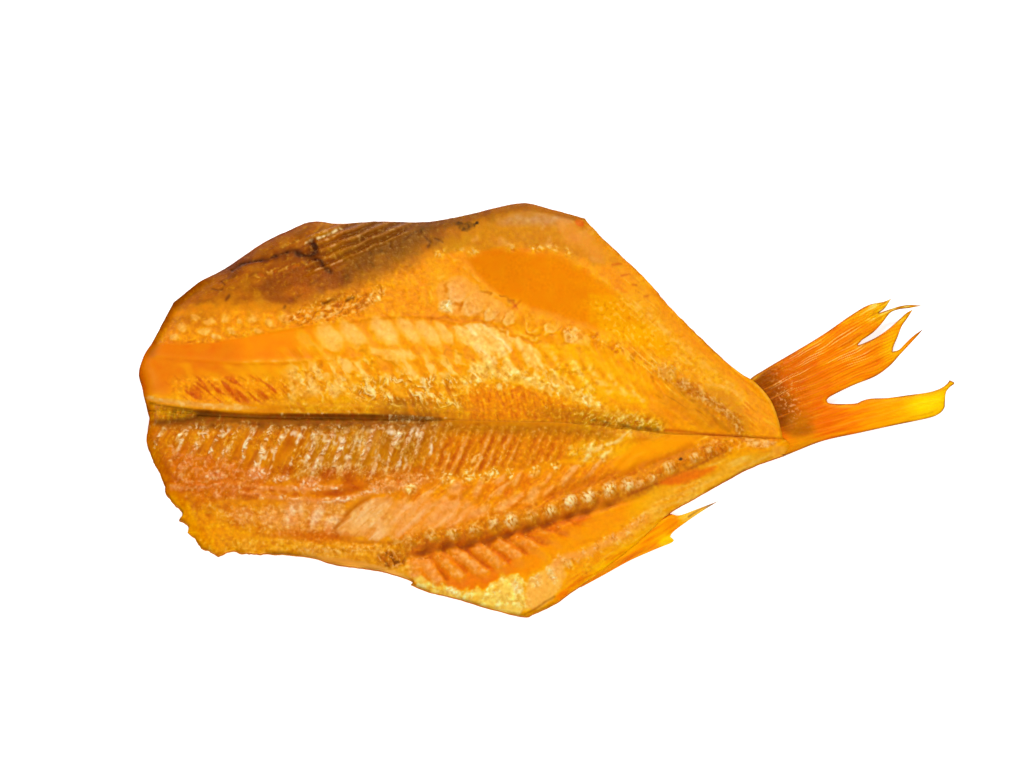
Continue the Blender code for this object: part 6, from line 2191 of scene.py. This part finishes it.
def split_rim(rim):
    """The outlines of the far and of the near fillet, which share the seam in the fold."""
    u = np.arange(146, 783, 1.2)
    lip = at(u, LIP_PX)
    seam = seen_on(
        np.column_stack([u, lip + FOLD_SEAM * (at(u, SHOULDER_PX) - lip)]),
        lambda x, y: slab_height(x, y, distance_to(x, y, rim)),
    )
    seam = seam[inside(*seam.T, rim)]
    seam = seam[distance_to(*seam.T, rim) > 0.5 * RIM_STEP]
    first = np.linalg.norm(rim - seam[0], axis=1).argmin()
    last = np.linalg.norm(rim - seam[-1], axis=1).argmin()
    far = np.vstack([rim[first:last + 1], seam[::-1]])
    near = np.vstack([rim[last:], rim[:first + 1], seam])
    return far, near


def scale_relief(x, y):
    """Overlapping scales in rows, 0 at their bases and 1 at their free rims, and their edges."""
    pitch = 3.4 * MM
    row = x / (0.55 * pitch)
    best = np.zeros(len(x))
    edge = np.zeros(len(x))
    for step in (2, 1, 0):
        number = np.floor(row) - step
        middle = (np.round(y / pitch - 0.5 * (number % 2)) + 0.5 * (number % 2)) * pitch
        reach = np.hypot(x - number * 0.55 * pitch, (y - middle) * 1.05) / (1.0 * pitch)
        shown = reach < 1
        best = np.where(shown, reach, best)
        edge = np.where(shown, hump(reach - 1, 0.12), edge)
    return best, edge


def make_skin(rim):
    """The skin under both fillets: a thin sheet that shows as a rim, with scales on its underside."""
    rim = rim + outward(rim) * (0.1 * MM)
    lower = triangles(rim, lattice(rim, SKIN_STEP, 0.6 * SKIN_STEP))
    x, y = lower[0].T
    from_rim = distance_to(x, y, rim)
    risen, edge = scale_relief(x, y)
    back = hump(y - np.interp(x, *line_of_sight(smooth_line(LIP_PX), 0).T), 26 * MM)
    looks = Surface(*pixel_of(x, y, np.zeros(len(x))), SKIN_GOLD)
    looks.paint(SKIN_COPPER, 0.25 + 0.6 * back + 0.4 * rough(looks.u, looks.v, 40, 701, 3))
    looks.paint((244, 176, 92), 0.45 * (1 - edge) * hump(risen - 0.75, 0.2))
    looks.paint((120, 56, 20), 0.55 * edge)
    courses = (FAR_LATERAL_LINE_PX, NEAR_LATERAL_LINE_PX)
    line = sum(stroke(looks.u, looks.v, course, 2.5) for course in courses)
    looks.paint((150, 84, 40), 0.5 * line)
    looks.finish(np.ones(len(x)), gloss=0.6, grit=0.4)
    fade = ease(from_rim / (4 * MM))
    underside = skin_height(from_rim) + SCALE_HEIGHT * (1 - risen) * fade
    upper = triangles(rim, lattice(rim, INNER_STEP, INNER_STEP / 2))
    sheet = skin_height(distance_to(*upper[0].T, rim)) + SKIN_THICKNESS
    return close_slab("skin", lower, upper, underside, sheet, looks)


# The fins

def tail_base(x, y):
    """The tail fin's underside, which rises from the body to the tips."""
    root, tip = line_of_sight(((760, 420), (950, 360)), TAIL_LIFT)[:, 0]
    t = np.clip((x - root) / (tip - root), 0, 1)
    return TAIL_LIFT + TAIL_RISE * t**1.5


def tail_middle(x, y):
    """The height halfway through the tail fin."""
    return tail_base(x, y) + FIN_THICKNESS / 2


def anal_base(x, y):
    """The height of the anal fin's underside."""
    return np.full(np.shape(x), ANAL_LIFT)


def rim_base(x, y):
    """The height of the body's rim."""
    return np.full(np.shape(x), RIM_LIFT)


def fin_sheet(rim):
    """A fin's points and the triangles between them that lie within its torn outline."""
    points, faces, edge = triangles(rim, lattice(rim, FIN_STEP, 0.6 * FIN_STEP))
    shown = inside(*points[faces].mean(axis=1).T, rim)
    return points, faces[shown], edge


def tail_form(x, y, rim):
    """Where the tail's points are seen, its rays, and the heights of its upper and lower side."""
    under = tail_base(x, y)
    u, v = pixel_of(x, y, under + FIN_THICKNESS / 2)
    out = np.hypot(u - TAIL_FAN_PX[0], v - TAIL_FAN_PX[1])
    turn = np.arctan2(TAIL_FAN_PX[1] - v, u - TAIL_FAN_PX[0])
    ray = (turn - TAIL_TURNS[0]) / (TAIL_TURNS[1] - TAIL_TURNS[0]) * TAIL_RAYS
    thick = TAIL_ROOT_THICKNESS + (FIN_THICKNESS - TAIL_ROOT_THICKNESS) * ease((out - 255) / 70)
    thin = FIN_EDGE_THICKNESS + (thick - FIN_EDGE_THICKNESS) * ease(distance_to(x, y, rim) / (2.2 * MM))
    root = 1 - ease((out - 238) / 22)
    thin = thin + (thick - thin) * root
    return u, v, out, ray, under + (thick - thin) / 2, thin


def paint_tail(top, out, ray, from_rim):
    """The tail fin's colours, with how far each point is in its root, scales and pale streaks."""
    tail_ground(top, out, ray, from_rim)
    tail_tips(top, out, ray)
    root = tail_root(top, out, ray)
    scales = tail_scales(top)
    streaks = tail_streaks(top, out, ray)
    tail_outline(top, from_rim)
    top.finish(np.ones(len(out)), gloss=0.35, grit=0.3)
    top.finish(root, gloss=0.7, grit=0.8)
    return root, scales, streaks


def tail_ground(top, out, ray, from_rim):
    """Orange with fine rays, redder in the lower lobe and brighter along the upper edges."""
    u, v = top.u, top.v
    fine = noise(ray * 34, out / 3.5, 9, 801)
    top.paint((250, 136, 10), np.full(len(u), 0.7))
    top.paint((234, 104, 0), 0.6 * ease(fine * 1.6))
    top.paint((255, 170, 28), 0.5 * ease(-fine * 1.6 - 0.1))
    brush = noise(ray * 60, out / 3, 9, 813)
    top.paint((216, 92, 4), 0.5 * ease(brush * 2 - 0.7))
    top.paint((255, 200, 92), 0.55 * ease(-brush * 2 - 0.7))
    lower_lobe = ease((v - 392 + 0.1 * (u - 800)) / 14)
    top.paint((236, 104, 0), 0.7 * lower_lobe * ease((868 - u) / 50) * ease(0.6 + fine))
    top.paint((253, 168, 16), 0.7 * lower_lobe * ease((u - 846) / 36))
    upper_edges = window(v, (300, 372), 8) * ease((u - 800) / 30)
    bright = hump(from_rim / MM - 1.6, 1.4) * upper_edges * ease(0.3 + 1.4 * fine)
    top.paint((255, 190, 50), 0.5 * bright)


def tail_tips(top, out, ray):
    """The yellow tips of both lobes and the yellow notch between them."""
    u, v = top.u, top.v
    upper_tip = ease((u - 846) / 34) * ease((328 - v) / 14)
    lower_tip = ease((u - 880) / 50) * ease((v - 376) / 8)
    notch = oval(u, v, *TAIL_NOTCH_PX)
    top.paint((249, 198, 46), np.clip(0.85 * upper_tip + 0.9 * lower_tip + 0.7 * notch, 0, 0.95))
    speckle = rough(ray * 20, out / 2, 7, 808, 2)
    top.paint((198, 122, 20), (upper_tip + 0.5 * lower_tip) * ease(speckle * 2 - 0.2) * 0.7)
    top.mottle(upper_tip, speckle, ((255, 242, 150), -2, 0, 0.8))
    top.spot((255, 222, 50), 0.75, *TAIL_GLOW_PX)


def tail_root(top, out, ray):
    """The dark root beside the body, with pale fibres, grey and brown places, and a painted shadow next to
    the body.
    """
    u, v = top.u, top.v
    root = 1 - ease((out - np.interp(ray, *ROOT_REACH_PX) + 6 * noise(u, v, 12, 802)) / 40)
    root = root * ease((441 - v + 0.35 * (u - 790)) / 16)
    top.paint((206, 104, 24), 0.9 * root)
    top.paint((172, 74, 6), root * ease(noise(ray * 30, out / 2, 14, 809) * 1.6) * 0.65)
    shadow = 1 - ease((u - np.interp(v, *ROOT_SHADOW_PX)) / 18)
    top.paint((128, 60, 16), 0.85 * root * shadow)
    top.paint((236, 130, 40), root * ease(noise(ray * 30, out / 2.5, 10, 811) * 2 - 0.3) * 0.5)
    top.spot((192, 118, 48), 0.7, *TAIL_GREY_PX)
    top.spot((150, 84, 14), 0.5, *TAIL_BROWN_PX)
    rusty = window(out, (275, 300), 25) * (0.4 + 0.6 * ease((ray - 5.5) / 2))
    top.paint((226, 98, 2), 0.6 * rusty)
    return root


def tail_scales(top):
    """Pale scales on the root."""
    u, v = top.u, top.v
    scales = ease(rough(u, v, 3.0, 803, 2) * 2.2 - 0.3) * oval(u, v, *TAIL_SCALES_PX)
    top.paint((240, 172, 120), 0.75 * scales)
    return scales


def tail_streaks(top, out, ray):
    """Pale streaks along the upper rays, partly painted highlights, and dark streaks between them."""
    u, v = top.u, top.v
    comb = wave(ray * 3.6 + 0.9 * noise(u, v, 26, 805))
    hair = ease(comb * 2.4 - 1.3) * ease((ray - 6.4) / 1.5)
    streaks = hair * window(out, (268, 352), 24) * ease(0.3 + 1.6 * noise(ray * 40, out / 2, 18, 806))
    # Pale streaks, partly painted highlights on the rays.
    top.paint((255, 222, 146), 0.8 * streaks)
    top.paint((206, 96, 8), 0.4 * ease(-comb * 2 - 0.6) * ease((ray - 4) / 2) * window(out, (252, 380), 30))
    return streaks


def tail_outline(top, from_rim):
    """The pale joint with the body, a rusty stain, and the fin's thin bright and brown outlines."""
    u, v = top.u, top.v
    top.spot((234, 150, 48), 0.8, *TAIL_JOINT_PX)
    top.line((206, 90, 4), 0.45, TAIL_STAIN_PX, 2.2)
    top.paint((255, 188, 30), 0.6 * hump(from_rim / MM - 1.0, 0.7) * ease(0.4 + noise(u, v, 20, 807)))
    line = hump(from_rim / MM, 0.45) * (0.35 + 0.6 * ease(0.5 + noise(u, v, 16, 810)))
    top.paint((150, 80, 12), line)


def make_tail():
    """The tail fin, with its rays standing out a little from both lobes."""
    rim = outline(TAIL_RUNS_PX, tail_middle, 0.8 * FIN_STEP)
    side = fin_sheet(rim)
    x, y = side[0].T
    u, v, out, ray, under, thick = tail_form(x, y, rim)
    top = Surface(u, v, FIN_ORANGE)
    from_rim = distance_to(x, y, rim)
    root, scales, streaks = paint_tail(top, out, ray, from_rim)
    spread = ease((out - TAIL_RAY_START_PX) / 30)
    slender = ease(from_rim / (1.2 * MM))
    waves = 0.4 * wave(ray) + 0.2 * wave(ray * 2.5 + 0.4 * noise(u, v, 30, 811))
    rays = waves + 0.35 * noise(ray * 34, out / 3.5, 9, 801)
    relief = FIN_RAY_HEIGHT * 0.5 * rays * spread * slender
    relief = relief + MM * (0.25 * scales + 0.15 * streaks * slender + 0.15 * root * noise(u, v, 3.5, 812))
    return close_slab("tail_fin", side, side, under + thick + np.maximum(relief, -0.35 * thick),
                      under - 0.4 * np.clip(relief, -0.2 * MM, 0.2 * MM), top)


def make_anal_fin():
    """The anal fin, thickest where it leaves the body."""
    rim = outline(ANAL_RUNS_PX, anal_base, 0.8 * FIN_STEP)
    side = fin_sheet(rim)
    x, y = side[0].T
    u, v = pixel_of(x, y, np.full(len(x), ANAL_LIFT + FIN_THICKNESS))
    root = 1 - ease(distance_to(u, v, smooth_line(BODY_RUNS_PX[4]), closed=False) / ANAL_ROOT_PX)
    full = FIN_THICKNESS + (ANAL_ROOT_THICKNESS - FIN_THICKNESS) * root
    thick = FIN_EDGE_THICKNESS + (full - FIN_EDGE_THICKNESS) * ease(distance_to(x, y, rim) / (2 * MM))
    u, v = pixel_of(x, y, ANAL_LIFT + thick)
    turn = np.arctan2(ANAL_FAN_PX[1] - v, u - ANAL_FAN_PX[0])
    out = np.hypot(u - ANAL_FAN_PX[0], v - ANAL_FAN_PX[1])
    fine = noise(turn * 900, out / 4, 9, 821)
    top = Surface(u, v, ANAL_ORANGE)
    paint_anal_fin(top, out, fine)
    relief = FIN_RAY_HEIGHT * 0.5 * fine * ease(distance_to(x, y, rim) / (1.2 * MM))
    return close_slab("anal_fin", side, side, ANAL_LIFT + thick + relief, np.full(len(x), ANAL_LIFT), top)


def paint_anal_fin(top, out, fine):
    """Orange fibres and rays, yellow towards the outer edge, and a grey tip."""
    u, v = top.u, top.v
    fibres = noise(u, v, 3.0, 118, stretch=9, turn=-0.6)
    top.paint((236, 116, 0), ease(fibres * 1.8 - 0.2) * 0.7)
    top.paint((255, 190, 60), ease(-fibres * 1.8 - 0.2) * 0.6)
    top.paint((228, 112, 4), 0.4 * ease(fine * 1.6))
    top.paint((253, 190, 40), 0.4 * ease(-fine * 1.6))
    top.paint((252, 196, 30), 0.75 * ease((out - 392) / 25))
    top.spot((255, 214, 50), 0.8, *ANAL_GLOW_PX)
    top.paint((248, 200, 92), 0.65 * ease((u - 674) / 10) * ease((526 - v) / 8))
    top.paint((170, 140, 110), 0.85 * ease((u - 701) / 8))
    top.line((120, 72, 30), 0.5, ANAL_FIN_CRACK_PX, 1.0)
    top.finish(np.ones(len(u)), gloss=0.6, grit=0.4)


# Materials

class Nodes:
    """A short way to add shader nodes to one material."""

    def __init__(self, name):
        self.material = bpy.data.materials.new(name)
        self.material.use_nodes = True
        self.tree = self.material.node_tree
        self.shader = self.tree.nodes["Principled BSDF"]

    def add(self, kind, links=(), **values):
        node = self.tree.nodes.new("ShaderNode" + kind)
        for key, value in values.items():
            if key in node.inputs.keys() or key.replace("_", " ") in node.inputs.keys():
                node.inputs[key.replace("_", " ")].default_value = value
            else:
                setattr(node, key, value)
        for socket, source in dict(links).items():
            self.tree.links.new(source, node.inputs[socket])
        return node

    def link(self, source, socket):
        self.tree.links.new(source, self.shader.inputs[socket])

    def attribute(self, name):
        return self.add("Attribute", attribute_name=name).outputs

    def maths(self, operation, *values):
        node = self.add("Math", operation=operation)
        for socket, value in zip(node.inputs, values):
            if isinstance(value, bpy.types.NodeSocket):
                self.tree.links.new(value, socket)
            else:
                socket.default_value = value
        return node.outputs[0]


def wet_material(name, grain_per_mm, spark_per_mm, bump_mm, scatter, shine):
    """Smoked flesh, skin or fin: the mesh's own tint with fine mottling, wet gloss and fine bumps."""
    nodes = Nodes(name)
    place = nodes.add("TexCoord").outputs["Object"]
    mottle = nodes.add("TexNoise", {"Vector": place}, Scale=grain_per_mm / MM, Detail=5.0, Roughness=0.65)
    cloud = nodes.add("TexNoise", {"Vector": place}, Scale=0.22 / MM, Detail=3.0, Roughness=0.55)
    spark = nodes.add("TexNoise", {"Vector": place}, Scale=spark_per_mm / MM, Detail=2.5,
                      Roughness=0.6, Distortion=0.6)
    tint = nodes.attribute("tint")["Color"]
    around = nodes.maths("SUBTRACT", mottle.outputs["Fac"], 0.5)
    uneven_tone = nodes.maths("MULTIPLY", around, nodes.attribute("grit")["Fac"])
    value = nodes.maths("MULTIPLY_ADD", uneven_tone, 0.45, 1.0)
    shift = nodes.maths("MULTIPLY_ADD", cloud.outputs["Fac"], 0.02, 0.49)
    varied = nodes.add("HueSaturation", {"Color": tint, "Value": value, "Hue": shift}, Saturation=1.03)
    nodes.link(varied.outputs["Color"], "Base Color")
    gloss = nodes.attribute("gloss")["Fac"]
    dull = nodes.maths("MULTIPLY_ADD", gloss, -0.34, 0.58)
    uneven = nodes.maths("MULTIPLY_ADD", mottle.outputs["Fac"], 0.22, dull)
    lower = nodes.maths("SUBTRACT", uneven, 0.11)
    nodes.link(lower, "Roughness")
    grit = nodes.attribute("grit")["Fac"]
    fine = nodes.maths("MULTIPLY_ADD", mottle.outputs["Fac"], 0.5, spark.outputs["Fac"])
    bump = nodes.add("Bump", {"Height": fine, "Strength": grit}, Distance=bump_mm * MM)
    nodes.link(bump.outputs["Normal"], "Normal")
    level = nodes.maths("MULTIPLY", gloss, 2 * shine)
    capped = nodes.maths("MINIMUM", level, shine)
    nodes.link(capped, "Specular IOR Level")
    fixed = {
        "Subsurface Weight": scatter,
        "Subsurface Radius": (1.0, 0.35, 0.08),
        "Subsurface Scale": 1.6 * MM,
        "Specular Tint": (1.0, 0.74, 0.28, 1),
        "IOR": 1.42,
    }
    for socket, amount in fixed.items():
        nodes.shader.inputs[socket].default_value = amount
    return nodes.material


# The studio

def make_camera():
    """The camera that matches the photograph."""
    lens = bpy.data.cameras.new("camera")
    lens.lens = LENS_MM
    lens.sensor_width = SENSOR_MM
    camera = add_object("camera", lens)
    camera.location = camera_place() + np.append(SHIFT + FRAMING, 0)
    camera.rotation_euler = (math.pi / 2 - VIEW_ELEVATION, 0, 0)
    bpy.context.scene.camera = camera


def make_floor():
    """A white paper floor, bright enough to look like the photograph's ground."""
    mesh = bpy.data.meshes.new("floor")
    half = 3.0
    corners = [(-half, -half, 0), (half, -half, 0), (half, half, 0), (-half, half, 0)]
    mesh.from_pydata(corners, [], [(0, 1, 2, 3)])
    floor = add_object("floor", mesh)
    floor.location.z = -0.05 * MM
    paper = bpy.data.materials.new("white paper")
    paper.use_nodes = True
    shader = paper.node_tree.nodes["Principled BSDF"]
    shader.inputs["Base Color"].default_value = (0.6, 0.6, 0.6, 1)
    shader.inputs["Emission Color"].default_value = (1, 1, 1, 1)
    shader.inputs["Emission Strength"].default_value = 0.8
    shader.inputs["Roughness"].default_value = 0.9
    shader.inputs["Specular IOR Level"].default_value = 0.0
    mesh.materials.append(paper)


def add_softbox(name, azimuth, elevation, distance, size, power):
    """A soft area light that aims at the fish, from a compass direction (0 is +Y, 90 is +X)."""
    light = bpy.data.lights.new(name, "AREA")
    light.shape = "SQUARE"
    light.size = size
    light.energy = power
    lamp = add_object(name, light)
    turn, rise = math.radians(azimuth), math.radians(elevation)
    way = Vector((math.sin(turn) * math.cos(rise), math.cos(turn) * math.cos(rise), math.sin(rise)))
    lamp.location = way * distance
    lamp.rotation_euler = way.to_track_quat("Z", "Y").to_euler()


def make_light():
    """Three soft lights and a faint white world."""
    add_softbox("key", azimuth=14, elevation=43, distance=1.5, size=0.24, power=14.5)
    add_softbox("side", azimuth=-70, elevation=40, distance=1.6, size=0.5, power=6)
    add_softbox("front", azimuth=172, elevation=44, distance=1.8, size=0.9, power=17)
    world = bpy.data.worlds.new("world")
    bpy.context.scene.world = world
    world.use_nodes = True
    background = world.node_tree.nodes["Background"]
    background.inputs["Color"].default_value = (1, 1, 1, 1)
    background.inputs["Strength"].default_value = 0.15
    bpy.context.scene.view_settings.view_transform = "Standard"


def dress(piece, material):
    """Gives the piece its material and slot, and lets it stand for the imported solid."""
    piece.data.materials.append(material)
    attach(piece, "root")
    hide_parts(NODE)


def main():
    """Makes the fish, the floor, the lights and the camera."""
    rim = ragged_rim(outline(BODY_RUNS_PX, rim_base, RIM_STEP))
    far_loop, near_loop = split_rim(inset(rim, FLESH_INSET))
    flesh = wet_material("smoked flesh", grain_per_mm=0.9, spark_per_mm=1.4, bump_mm=0.45,
                         scatter=0.12, shine=0.28)
    skin = wet_material("smoked skin", grain_per_mm=0.7, spark_per_mm=1.0, bump_mm=0.15,
                        scatter=0.05, shine=0.5)
    fin = wet_material("smoked fin", grain_per_mm=1.2, spark_per_mm=1.8, bump_mm=0.12,
                       scatter=0.2, shine=0.2)
    dress(make_fillet("far_fillet", far_loop, rim, FAR_LAYERS, (0, FOLD_SEAM)), flesh)
    dress(make_fillet("near_fillet", near_loop, rim, NEAR_LAYERS, (FOLD_SEAM, 1)), flesh)
    dress(make_skin(rim), skin)
    dress(make_tail(), fin)
    dress(make_anal_fin(), fin)
    make_floor()
    make_light()
    make_camera()


def part_shift():
    """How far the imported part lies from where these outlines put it, because its origin is its middle."""
    body = outline(BODY_RUNS_PX, rim_base, RIM_STEP)
    tail = outline(TAIL_RUNS_PX, tail_middle, RIM_STEP)
    low, high = np.vstack([body, tail]).min(axis=0), np.vstack([body, tail]).max(axis=0)
    return -(low + high) / 2


SHIFT = part_shift()
main()
